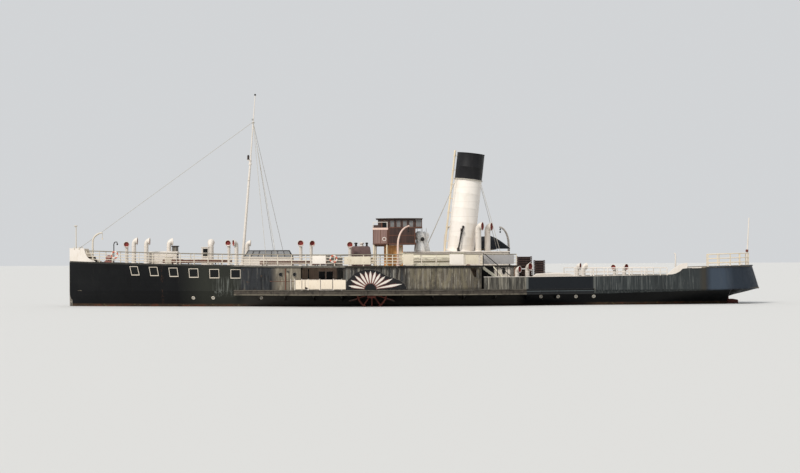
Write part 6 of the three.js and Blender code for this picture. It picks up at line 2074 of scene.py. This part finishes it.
def makeMast():
    z0 = promenadeAt(-15.98)
    addTube([(mastAt(z), 0, z) for z in (z0, 6, 10, 13.35)], [0.135, 0.13, 0.11, 0.09], 24)
    addTurned([(0.13, 0), (0.3, 0), (0.3, 0.06), (0.2, 0.14), (0.13, 0.14)], (mastAt(z0), 0, z0 + 0.002),
        sides=24)
    for z in (5.0, 8.2, 11.6):
        addRing((mastAt(z), 0, z), (0, 0, 1), 0.12, 0.025, sides=24)
    addTurned([(0, 0), (0.15, 0), (0.15, 0.12), (0.1, 0.16), (0.1, 0.3), (0.13, 0.34), (0.13, 0.4), (0, 0.4)],
        (mastAt(13.0), 0, 13.0), sides=24)
    addTube([(mastAt(z), 0, z) for z in (13.2, 15, 17.5, 19.5)], [0.065, 0.06, 0.048, 0.034], 16)
    addTurned([(0, -0.1), (0.085, -0.06), (0.085, 0.05), (0, 0.1)], (mastAt(19.5), 0, 19.5), sides=16, tone=2)
    addBox((-15.4, -0.14, 13.42), (-15.0, 0.14, 13.47))
    addTurned([(0, 0), (0.12, 0), (0.12, 0.05), (0.1, 0.05), (0.1, 0.32), (0.12, 0.34), (0.06, 0.44),
        (0, 0.46)], (-15.3, 0, 13.47), sides=18, tone=2)
    addTurned([(0, -0.1), (0.09, -0.07), (0.09, 0.07), (0, 0.1)], (mastAt(17.2) - 0.08, 0, 17.2), sides=14,
        tone=1)
    for z in spread(4.6, 12.6, 22):  # steps up the mast
        side = 1 if int(z * 10) % 2 else -1
        addTube([(mastAt(z), side * 0.08, z), (mastAt(z), side * 0.3, z)], 0.014, 5)
    newPiece("mastPole", ["white", "lampGlass", "iron"], "white_paint", replaces=["mast"])

    x, z = mastAt(16.9), 16.9
    addTurned(hoop(0.04, 0.13, -0.05, 0.05), (x, 0, z), sides=18)
    ends = [((x - 0.12, 0, z), (-31.13, 0, 5.22))]
    for foot in (-13.2, -12.2):
        for side in bothSides:
            y = side * (edgeHalf(foot) - 0.25)
            ends.append(((x, side * 0.12, z), (foot, y, promenadeAt(foot) + 0.02)))
    for start, end in ends:
        start, end = Vector(start), Vector(end)
        up = (start - end).normalized()
        addTube([start, end + up * 0.4], 0.018, 6)
        addTube([end, end + up * 0.5], 0.032, 8)
        addTurned([(0.03, 0), (0.08, 0), (0.08, 0.02), (0.03, 0.04)], end, up, 10)
    newPiece("mastStays", "wire", "rigging_wire", replaces=["mast_stays"])


# Stairs to the after deck: sloping strings, treads and dark hand rails
stair = {"x0": 6.13, "x1": 8.73, "y0": 5.45, "y1": 6.25, "treads": 9}


def makeStair():
    x0, x1, y0, y1, treads = stair.values()
    for y in (y0, y1 - 0.045):
        addLoft([[(x0, at, 3.57), (x0, at, 3.27), (x1 - 0.25, at, onMainDeck), (x1, at, onMainDeck),
            (x1, at, 1.66)] for at in (y, y + 0.045)])
    addLoft([[(7.1, at, 3.56), (7.1, at, 3.4), (7.9, at, 2.5), (8.02, at, 2.5)] for at in (5.2, 5.27)])
    slope = 2.0 / (x1 - x0)
    for i in range(1, treads):
        x = x0 + (x1 - x0) * i / treads
        z = 3.5 - (x - x0) * slope
        addBox((x - 0.13, y0 + 0.01, z - 0.05), (x + 0.13, y1 - 0.01, z - 0.015))
    for y in (y0 + 0.02, y1 - 0.02):
        line = [(x0 + 0.02, y, 4.66), (x0 + 0.2, y, 4.6), (x1 - 0.1, y, 2.62), (x1, y, 2.54)]
        addTube(line, 0.025, 8, tone=1)
        for x, z0, z1 in ((x0 + 0.03, 3.5, 4.5), (x0 + 1.3, 2.6, 3.62), (x1 - 0.05, 1.51, 2.43)):
            addPost(x, y, z0, z1, 0.02, 8, tone=1)


def makeUpperWorks():
    makeCasing()
    makeFunnel()
    makeBridge()
    makeWheelhouse()
    sidePieces("WheelhouseDoor", makeDoor, ["teak", "glass", "brass"], "varnished_wood",
        ["{}_wheelhouse_door"], body="{}_door", bevel=0.004)
    sidePieces("BridgeWing", makeWing, ["pinkBrown", "teak", "pinkish", "white", "dark"], "varnished_wood",
        ["{}_bridge_wing"], bevel=0.005)
    makePortBoat()
    makeStarboardBoat()
    makeDavits()
    makeMast()
    # The stair takes the boat's lighter cream paint, as painted light on strings that stand in shade
    sidePieces("Stair", makeStair, ["creamBoat", "iron"], "white_paint", ["{}_stair"], bevel=0.006)
    print("upper works made")


makeUpperWorks()


# After body: bulwarks with their fairing up to the poop, stern, poop deck and rails
# Columns: x, top of the bulwark
bulwarkTops = [(6.1, 2.6), (10, 2.59), (16.2, 2.62), (20.5, 2.68), (22.8, 2.7), (25.05, 2.7)]
# Columns: x, lower edge, upper edge
fairing = [(22.79, 2.7, 2.73), (23.2, 2.72, 3.12), (23.56, 2.79, 3.38), (23.97, 2.99, 3.62),
    (24.19, 3.22, 3.68), (24.65, 3.27, 3.76)]


def bulwarkY(x, z):
    foot = edgeHalf(x) - 0.03 if x < 16.2 else mainHalf(x)
    return foot - (0.03 if x > 16 else 0) * (z - 1.5) / 1.2


def makeAfterBulwark():
    columns = sorted(set(spread(6.1, 25.09, 60) + [8, 11.5, 14, 16.2]))

    def place(x, share, back):
        foot = 1.37 if x > 16.2 else onMainDeck
        z = foot + share * (min(smoothAt(bulwarkTops, x), 2.7) - foot)
        return (x, bulwarkY(x, z) - (0.06 if back else 0), z)

    addPanel(columns, spread(0, 1, 4), place)
    addLoft([[(x, bulwarkY(x, 2.6) + out, smoothAt(bulwarkTops, x) + up)
        for out, up in ((-0.1, -0.02), (0.025, -0.02), (0.03, 0.0), (0.025, 0.02), (-0.1, 0.02))]
        for x in columns if x < 22.95], 1)
    for x in spread(7.2, 24.0, 14):  # stays inside
        y = bulwarkY(x, 2.5) - 0.06
        addLoft([[(x + d, y + 0.01, 2.5), (x + d, y - 0.03, 2.5), (x + d, y - 0.4, 1.5),
            (x + d, y + 0.01, 1.5)] for d in (-0.02, 0.02)])
    number = ceil(6.12 / 0.2)
    while (number + 1) * 0.2 < 10.05:  # boards outside, as far as the house's planking runs
        x0, x1 = number * 0.2 + 0.005, (number + 1) * 0.2 - 0.005
        depth = random.uniform(0.008, 0.022)
        addFaces([(x0, bulwarkY(x0, 1.5) - 0.01, onMainDeck), (x1, bulwarkY(x1, 1.5) - 0.01, onMainDeck),
            (x1, bulwarkY(x1, 1.5) + depth, onMainDeck), (x0, bulwarkY(x0, 1.5) + depth, onMainDeck),
            (x0, bulwarkY(x0, 2.5) - 0.01, 2.56), (x1, bulwarkY(x1, 2.5) - 0.01, 2.56),
            (x1, bulwarkY(x1, 2.5) + depth, 2.56), (x0, bulwarkY(x0, 2.5) + depth, 2.56)], boxFaces)
        number += 1


# White fairing board that sweeps up from the port bulwark to the poop, and the plate behind its foot
def makeFairing():
    rings = []
    for x in spread(fairing[0][0], fairing[-1][0], 24):
        y = -bulwarkY(x, 2.6)
        low, high = straightAt(fairing, x), straightAt(fairing, x, 2)
        rings.append([(x, y + 0.07, low), (x, y - 0.015, low), (x, y - 0.015, high), (x, y + 0.07, high)])
    addLoft(rings)
    post = [(23.62, -4.0, 2.7), (23.64, -4.0, 4.45), (23.6, -4.0, 4.58), (23.5, -4.0, 4.62)]
    addTube(post, 0.07, 10)
    newPiece("poopFairing", "white", "white_paint", bevel=0.01)

    def place(x, share, back):
        z0 = smoothAt(bulwarkTops, x)
        z = z0 + share * max(straightAt(fairing, x) + 0.02 - z0, 0.01)
        return (x, -bulwarkY(x, 2.6) + (0.06 if back else 0), z)

    addPanel(spread(22.9, 25.08, 20), spread(0, 1, 3), place)
    newPiece("fairingPlate", "bulwark", "grey_plating")


# Rails above the after bulwarks. Columns: x
bulwarkPosts = [14.35, 15.88, 16.13, 17.07, 17.41, 19.37, 20.48, 20.76, 22.16, 22.78]


def makeBulwarkRails():
    def point(x, z):
        return (x, bulwarkY(x, 2.6) - 0.05, z)

    for z, radius in ((3.33, 0.04), (2.95, 0.034)):
        addTube([point(x, z) for x in spread(bulwarkPosts[0], bulwarkPosts[-1], 20)], radius, 8)
    for x in bulwarkPosts:
        addTube([point(x, 2.6), point(x, 3.33)], 0.042, 8)
        addCollar(point(x, 2.63), 0.03, 0.07, 0.03, 0.05, sides=10)


def poopX(x):
    return x + 0.18 * max(0.0, (x - 28) / 3) ** 2


def sternSkin(i, share, back):
    fx, fy, hx, hy = sternCurve[i]
    hx = poopX(hx)
    z = 1.37 + share * (poopAt(hx) - 0.125 - 1.37)
    inward = 0.07 if back else 0.0
    x, y = fx - 0.01 + (hx - fx + 0.01) * share, fy + (hy - fy) * share
    before, after = sternCurve[max(i - 1, 0)], sternCurve[min(i + 1, len(sternCurve) - 1)]
    along = Vector((after[0] - before[0], after[1] - before[1]))
    along = along.normalized() if along.length > 1e-6 else Vector((0, -1))
    if i == len(sternCurve) - 1:
        return Vector((x - inward, 0, z))
    return Vector((x + along.y * inward, y - along.x * inward, z))


def makeStern():
    last = len(sternCurve) - 1
    run = [(i, 1) for i in range(last + 1)] + [(i, -1) for i in range(last - 1, -1, -1)]

    def place(k, share, back):
        i, sign = run[int(k)]
        p = sternSkin(i, share, back)
        return (p.x, sign * max(p.y, 0.0), p.z)

    addPanel(list(range(len(run))), spread(0, 1, 5), place)
    rows, columns = [onMainDeck, 3.0, 3.22], [-4.25, -1.7, -0.9, 0.9, 1.7, 4.25]
    addPanel(columns, rows, lambda y, z, back: (25.12 + (0.07 if back else 0), y, z), [(3, 0)])
    newPiece("sternSides", "bulwark", "grey_plating", replaces=["stern_sides"], sharpness=40)

    # Poop deck planks with a bull-nosed edge
    edge = [(25.06, 4.28)] + [(poopX(c[2]) + 0.03, max(c[3] + 0.02, 0.0)) for c in sternCurve[4:-1]]
    edge.append((poopX(sternCurve[-1][2]) + 0.03, 0.0))
    outline = edge + [(x, -y) for x, y in reversed(edge) if y > 1e-6]
    addLoft([[(x, y, poopAt(x) + up) for x, y in outline] for up in (-0.118, 0.0)])
    newPiece("poopPlanks", "deck", "deck_planks", replaces=["poop_deck"], bevel=0.012)

    addTube([(x, y, poopAt(x) - 0.04) for x, y in outline[:-1]], 0.045, 8)
    for x0, x1 in ((24.7, 25.3), (25.3, 25.95)):
        line = [(x, -(straightAt([(c[2], c[3]) for c in sternCurve], x) + 0.05), poopAt(x) - 0.06)
            for x in (x0, x1)]
        addTube(line, 0.05, 8, tone=1)
    newPiece("poopMoulding", ["bulwark", "white"], "white_paint")


def makeSternRail():
    curve = [(c[2] - 0.14, max(c[3] - 0.14, 0.0)) for c in sternCurve]
    side = [c for c in curve if c[0] > 26.4]
    far = [c for c in side if c[0] > 27.6]
    posts = [(x, -straightAt(side, x)) for x in (side[0][0], 27.5, 28.75, 29.7, 30.45)] + [side[-1]]
    posts += [(x, straightAt(side, x)) for x in (far[0][0], 28.75, 29.7, 30.45)]
    whole = [(x, -y) for x, y in side] + list(reversed(far[:-1]))
    up = Vector((0, 0, 1))
    base = [Vector((x, y, poopAt(x))) for x, y in whole]
    addTube([p + up * 1.1 for p in base], 0.042, 8, tone=1)
    for bar in (0.7, 0.3):
        addTube([p + up * bar for p in base], 0.032, 6, tone=1)
    for x, y in posts:
        p = Vector((x, y, poopAt(x)))
        addTube([p, p + up * 1.1], 0.042, 8, tone=1)
        addCollar(p, 0.03, 0.08, 0.03, 0.05, sides=10)
        for bar in (0.7, 0.3):
            addTurned([(0, -0.05), (0.04, -0.03), (0.05, 0), (0.04, 0.03), (0, 0.05)], p + up * bar, sides=8)
    staff = [(30.8, 0, poopAt(30.9)), (31.04, 0, 7.88)]
    addTube(staff, [0.08, 0.05], 12)
    addTurned([(0.05, 0), (0.13, 0.02), (0.13, 0.22), (0.05, 0.24)], (30.84, 0, 4.72), sides=14, tone=2)
    for x in (27.48, 28.42, 29.9):
        addTurned([(0, -0.11), (0.1, -0.06), (0.1, 0.06), (0, 0.11)],
            (x, -straightAt(side, x) - 0.12, poopAt(x) + 0.1), sides=12)
    addTurned([(0, 0), (0.06, 0.02), (0.06, 0.07), (0, 0.09)], (31.06, 0, 7.8), sides=12)
    addCollar((30.86, 0, 3.52), 0.05, 0.11, 0.12, 0.16, sides=14)
    newPiece("sternRail", ["white", "cream", "redLead"], "white_paint", replaces=["stern_rail"])


# Main deck planks, hatch, capstan and the gear on it
def makeMainDeck():
    columns = spread(-31.3, 25.1, 60) + [c[0] for c in sternCurve[2:46:2] if c[0] > 25.3]

    def place(x, share, back):
        y = share * max(mainHalf(x) - (0.05 if x > 16.2 else 0.012), 0.01)
        return (x, y, ship["mainDeckUnder"] + 0.004 if back else 1.497)

    addPanel(columns, [-1, -0.5, 0, 0.5, 1], place)
    newPiece("mainDeckPlanks", "deck", "deck_planks", replaces=["main_deck"])

    addLocker((12.43, -0.97, 1.49), (14.17, 0.97, 2.09), 0.06)
    for y in (-0.5, 0, 0.5):
        addBox((12.5, y - 0.03, 2.08), (14.1, y + 0.03, 2.1))
    addLoft([[(x, -0.75, 2.1), (x, 0.1, 2.1), (x, 0.1, z), (x, -0.1, z + 0.05), (x, -0.6, z + 0.05),
        (x, -0.75, z)] for x, z in ((11.1, 2.6), (11.7, 2.82), (12.6, 2.86), (13.8, 2.84), (14.3, 2.7),
        (14.45, 2.5))], 1)
    newPiece("afterHatch", ["teak", "white"], "varnished_wood", bevel=0.03)

    # Covered gangway on trestles
    addLoft([[(x, -3.15, 2.12), (x, -2.45, 2.12), (x, -2.45, z), (x, -2.6, z + 0.05), (x, -3.0, z + 0.05),
        (x, -3.15, z)] for x, z in ((10.72, 2.5), (11.1, 2.78), (12.6, 2.84), (14.1, 2.82), (14.5, 2.66),
        (14.65, 2.5))])
    for x in (11.3, 13.9):
        addBox((x, -3.05, 1.502), (x + 0.12, -2.55, 2.13), 1)
    newPiece("coveredGangway", ["white", "greyBoards"], "white_paint", bevel=0.02)

    addTurned([(0, 0), (0.32, 0), (0.3, 0.08), (0.22, 0.2), (0.18, 0.45), (0.2, 0.6), (0.3, 0.7), (0.3, 0.78),
        (0, 0.78)], (22.6, 0, 1.48), sides=24)
    for c, s in circle(8):
        addTube([(22.6 + 0.24 * c, 0.24 * s, 1.66), (22.6 + 0.2 * c, 0.2 * s, 2.06)], 0.025, 6)
    newPiece("capstan", "iron", "dark_iron")


def makeStackedSeats():
    for x0, x1, y0, y1, z0, z1 in ((9.4, 10.84, -2.28, -0.52, onMainDeck, 3.3),
            (9.42, 10.78, -2.18, -0.62, 3.3, 4.44), (11.02, 11.98, -2.08, -0.72, onMainDeck, 4.08)):
        z = z0
        # Black block inside each stack: painted shade in the gaps between the seats
        addBox((x0 + 0.12, y0 + 0.12, z0), (x1 - 0.12, y1 - 0.12, z1 - 0.08), 2)
        while z < z1 - 0.12:
            for y in spread(y0, y1 - 0.12, 6):
                shift = random.uniform(-0.03, 0.03)
                addBox((x0 + 0.02, y + shift, z + 0.05), (x1 - 0.02, y + 0.1 + shift, z + 0.125))
            for x in (x0 + 0.1, x1 - 0.18):
                addBox((x, y0 + 0.02, z), (x + 0.07, y1 - 0.02, z + 0.055), 1)
            z += 0.16
        for x in (x0, x1 - 0.06):
            for y in (y0, y1 - 0.06):
                addBox((x, y, z0), (x + 0.06, y + 0.06, z1 - 0.02))
    newPiece("stackedSeats", ["dark", "iron", "black"], "dark_wood", replaces=["stacked_seats"])


def makeAnchorDavit():
    x, head = -29.56, -28.68
    z0 = promenadeAt(x)
    bends = [(0, z0), (0, 5.2), (0, 5.9), (0.1, 6.3), (0.35, 6.58), (0.65, 6.72), (0.88, 6.75)]
    path = smoothPath([(x + out, -1.05, z) for out, z in bends], 5)
    addTube(path, [0.09 - 0.03 * i / (len(path) - 1) for i in range(len(path))], 14)
    addTurned([(0.09, 0.14), (0.15, 0.1), (0.15, 0.02), (0.19, 0), (0, 0)], (x, -1.05, z0 + 0.002), sides=18)
    addPost(head, -1.05, 6.72, 6.25, 0.025, 8)
    addTurned([(0, -0.05), (0.075, -0.05), (0.08, 0.05), (0, 0.05)], (head, -1.05, 6.2), (0, 1, 0), 14)
    newPiece("anchorDavit", "worn", "white_paint", replaces=["anchor_davit"])


def makeRudder():
    addPost(29.02, 0, -1.36, 1.09, 0.095, 18)
    rings = []
    for x, half in ((28.99, 0.07), (29.2, 0.09), (29.5, 0.075), (29.9, 0.035), (29.99, 0.02)):
        bulge = 0.0 if x < 29.5 else 0.12 * ((x - 29.5) / 0.5) ** 2
        rings.append([(x, -half, -1.31 + bulge), (x, half, -1.31 + bulge), (x, half, 0.41 - bulge),
            (x, -half, 0.41 - bulge)])
    addLoft(rings)
    for z in (-1.05, -0.4, 0.2):
        for shape["side"] in bothSides:
            addBox((28.95, 0.06, z - 0.06), (29.85, 0.098, z + 0.06))
    newPiece("rudderBlade", "redLead", "rusty_iron", "rudder", ["rudder"], bevel=0.012)


# Paddle wheels: hub, two frames of arms and rims, wooden floats on brackets
wheel = {"x": -3.8, "z": 1.15, "inner": 5.35, "outer": 7.75, "rim": 1.28, "floatCircle": 1.9, "floats": 10}


def makePaddleWheel():
    x, z, inner, outer, rim, floatCircle, floats = wheel.values()
    out = (0, 1, 0)
    addTurned([(0, 0), (0.3, 0), (0.3, 0.25), (0.24, 0.3), (0.24, 2.05), (0.3, 2.1), (0.3, 2.4), (0, 2.4)],
        (x, inner, z), out, 24)
    addTurned(drum(0.12, 0, 0.55), (x, outer - 0.01, z), out, 24)
    frames = (inner + 0.3, outer - 0.38)
    for y in frames:
        addTurned(hoop(rim - 0.06, rim + 0.06, 0, 0.08), (x, y, z), out, 48)
        addTurned(hoop(0.24, 0.42, -0.03, 0.11), (x, y, z), out, 24)
    for i in range(floats):
        angle = tau * (i + 0.5) / floats
        c, s = cos(angle), sin(angle)

        def place(r, y, t):
            return (x + c * r - s * t, y, z + s * r + c * t)

        for y in frames:
            addBox((0.3, y + 0.01, -0.045), (floatCircle, y + 0.065, 0.045), 0, place)
        slant = angle + 0.28 * sin(angle)
        middle = floatCircle - 0.14
        mx, mz = x + c * middle, z + s * middle
        ca, sa = cos(slant), sin(slant)

        def onFloat(r, y, t):
            return (mx + ca * r - sa * t, y, mz + sa * r + ca * t)

        for k in range(3):
            addBox((-0.36 + 0.24 * k + 0.004, inner + 0.005, -0.028),
                (-0.12 + 0.24 * k - 0.004, outer - 0.005, 0.028), 1, onFloat)
        for y in (frames[0] - 0.12, frames[0] + 0.14, frames[1] - 0.12, frames[1] + 0.14):
            addBox((-0.3, y, 0.024), (0.3, y + 0.05, 0.06), 0, onFloat)


def makeAfterBody():
    makeMainDeck()
    sidePieces("AfterBulwark", makeAfterBulwark, ["bulwark", "white"], "grey_plating", ["{}_after_bulwark"],
        sharpness=30)
    makeFairing()
    sidePieces("BulwarkRails", makeBulwarkRails, "white", "white_paint")
    makeStern()
    makeSternRail()
    makeStackedSeats()
    makeAnchorDavit()
    makeRudder()
    sidePieces("PaddleWheel", makePaddleWheel, ["redLead", "wetTimber"], "rusty_iron", ["{}_paddle_wheel"],
        body="paddle_wheels", bevel=0.004)
    print("after body, wheels and rudder made")


makeAfterBody()


# Camera, floor and light
view = {"x": -1.29, "away": 175.0, "height": 4.1, "focus": 1890, "horizonBelowCentre": 23.8, "roll": 0.26}
light = {"sky": (0.86, 0.88, 0.9), "skyStrength": 0.75, "sun": 2.6, "sunAngle": 14, "sunTurn": (48, 0, -38)}


def makeStage():
    camera = bpy.data.cameras.new("photoCamera")
    camera.sensor_width = 36
    camera.lens = 36 * view["focus"] / 800  # focus in pixels of the 800 wide photograph
    camera.clip_end = 2000
    holder = placed("photoCamera", camera)
    holder.location = [c * shipScale for c in (view["x"], -view["away"], view["height"])]
    tilt = atan(view["horizonBelowCentre"] / view["focus"])
    holder.rotation_euler = (radians(90) + tilt, radians(view["roll"]), 0)
    bpy.context.scene.camera = holder

    floor = bpy.data.meshes.new("floor")
    far = 900
    floor.from_pydata([(-far, -far, 0), (far, -far, 0), (far, far, 0), (-far, far, 0)], [], [(0, 1, 2, 3)])
    pale = bpy.data.materials.new("paleFloor")
    pale.use_nodes = True
    setInputs(pale.node_tree.nodes["Principled BSDF"], Base_Color=(0.62, 0.62, 0.61, 1), Roughness=0.85)
    floor.materials.append(pale)
    placed("floor", floor)

    world = bpy.data.worlds.new("studio")
    bpy.context.scene.world = world
    world.use_nodes = True
    setInputs(world.node_tree.nodes["Background"], Color=(*light["sky"], 1), Strength=light["skyStrength"])
    sun = bpy.data.lights.new("keyLight", "SUN")
    sun.energy = light["sun"]
    sun.angle = radians(light["sunAngle"])
    sun.color = (1.0, 0.96, 0.9)
    placed("keyLight", sun).rotation_euler = [radians(a) for a in light["sunTurn"]]
    bpy.context.scene.view_settings.view_transform = "Standard"


makeStage()

# Finish of the frame's own pieces, by their slot, or by name where it differs
slotPaint = {
    "hull_black": "hull", "grey_plating": "box", "white_paint": "white", "funnel_white": "funnel",
    "funnel_black": "black", "deck_planks": "deck", "varnished_wood": "orange", "dark_wood": "dark",
    "rusty_iron": "redLead", "dark_iron": "iron", "rigging_wire": "wire", "canvas": "tarpaulin",
}
nodePaint = {"main_deckhouse": "brownWall", "port_forward_house": "forwardHouse",
    "starboard_forward_house": "forwardHouse"}
slotOf = {row["node"]: row["material_slot"] for row in frame["record"]["subparts"]}
for name, obj in frame["nodes"].items():
    obj.data.materials.clear()
    obj.data.materials.append(paints[nodePaint.get(name, slotPaint[slotOf[name]])])
print("stage set and the frame's pieces painted")
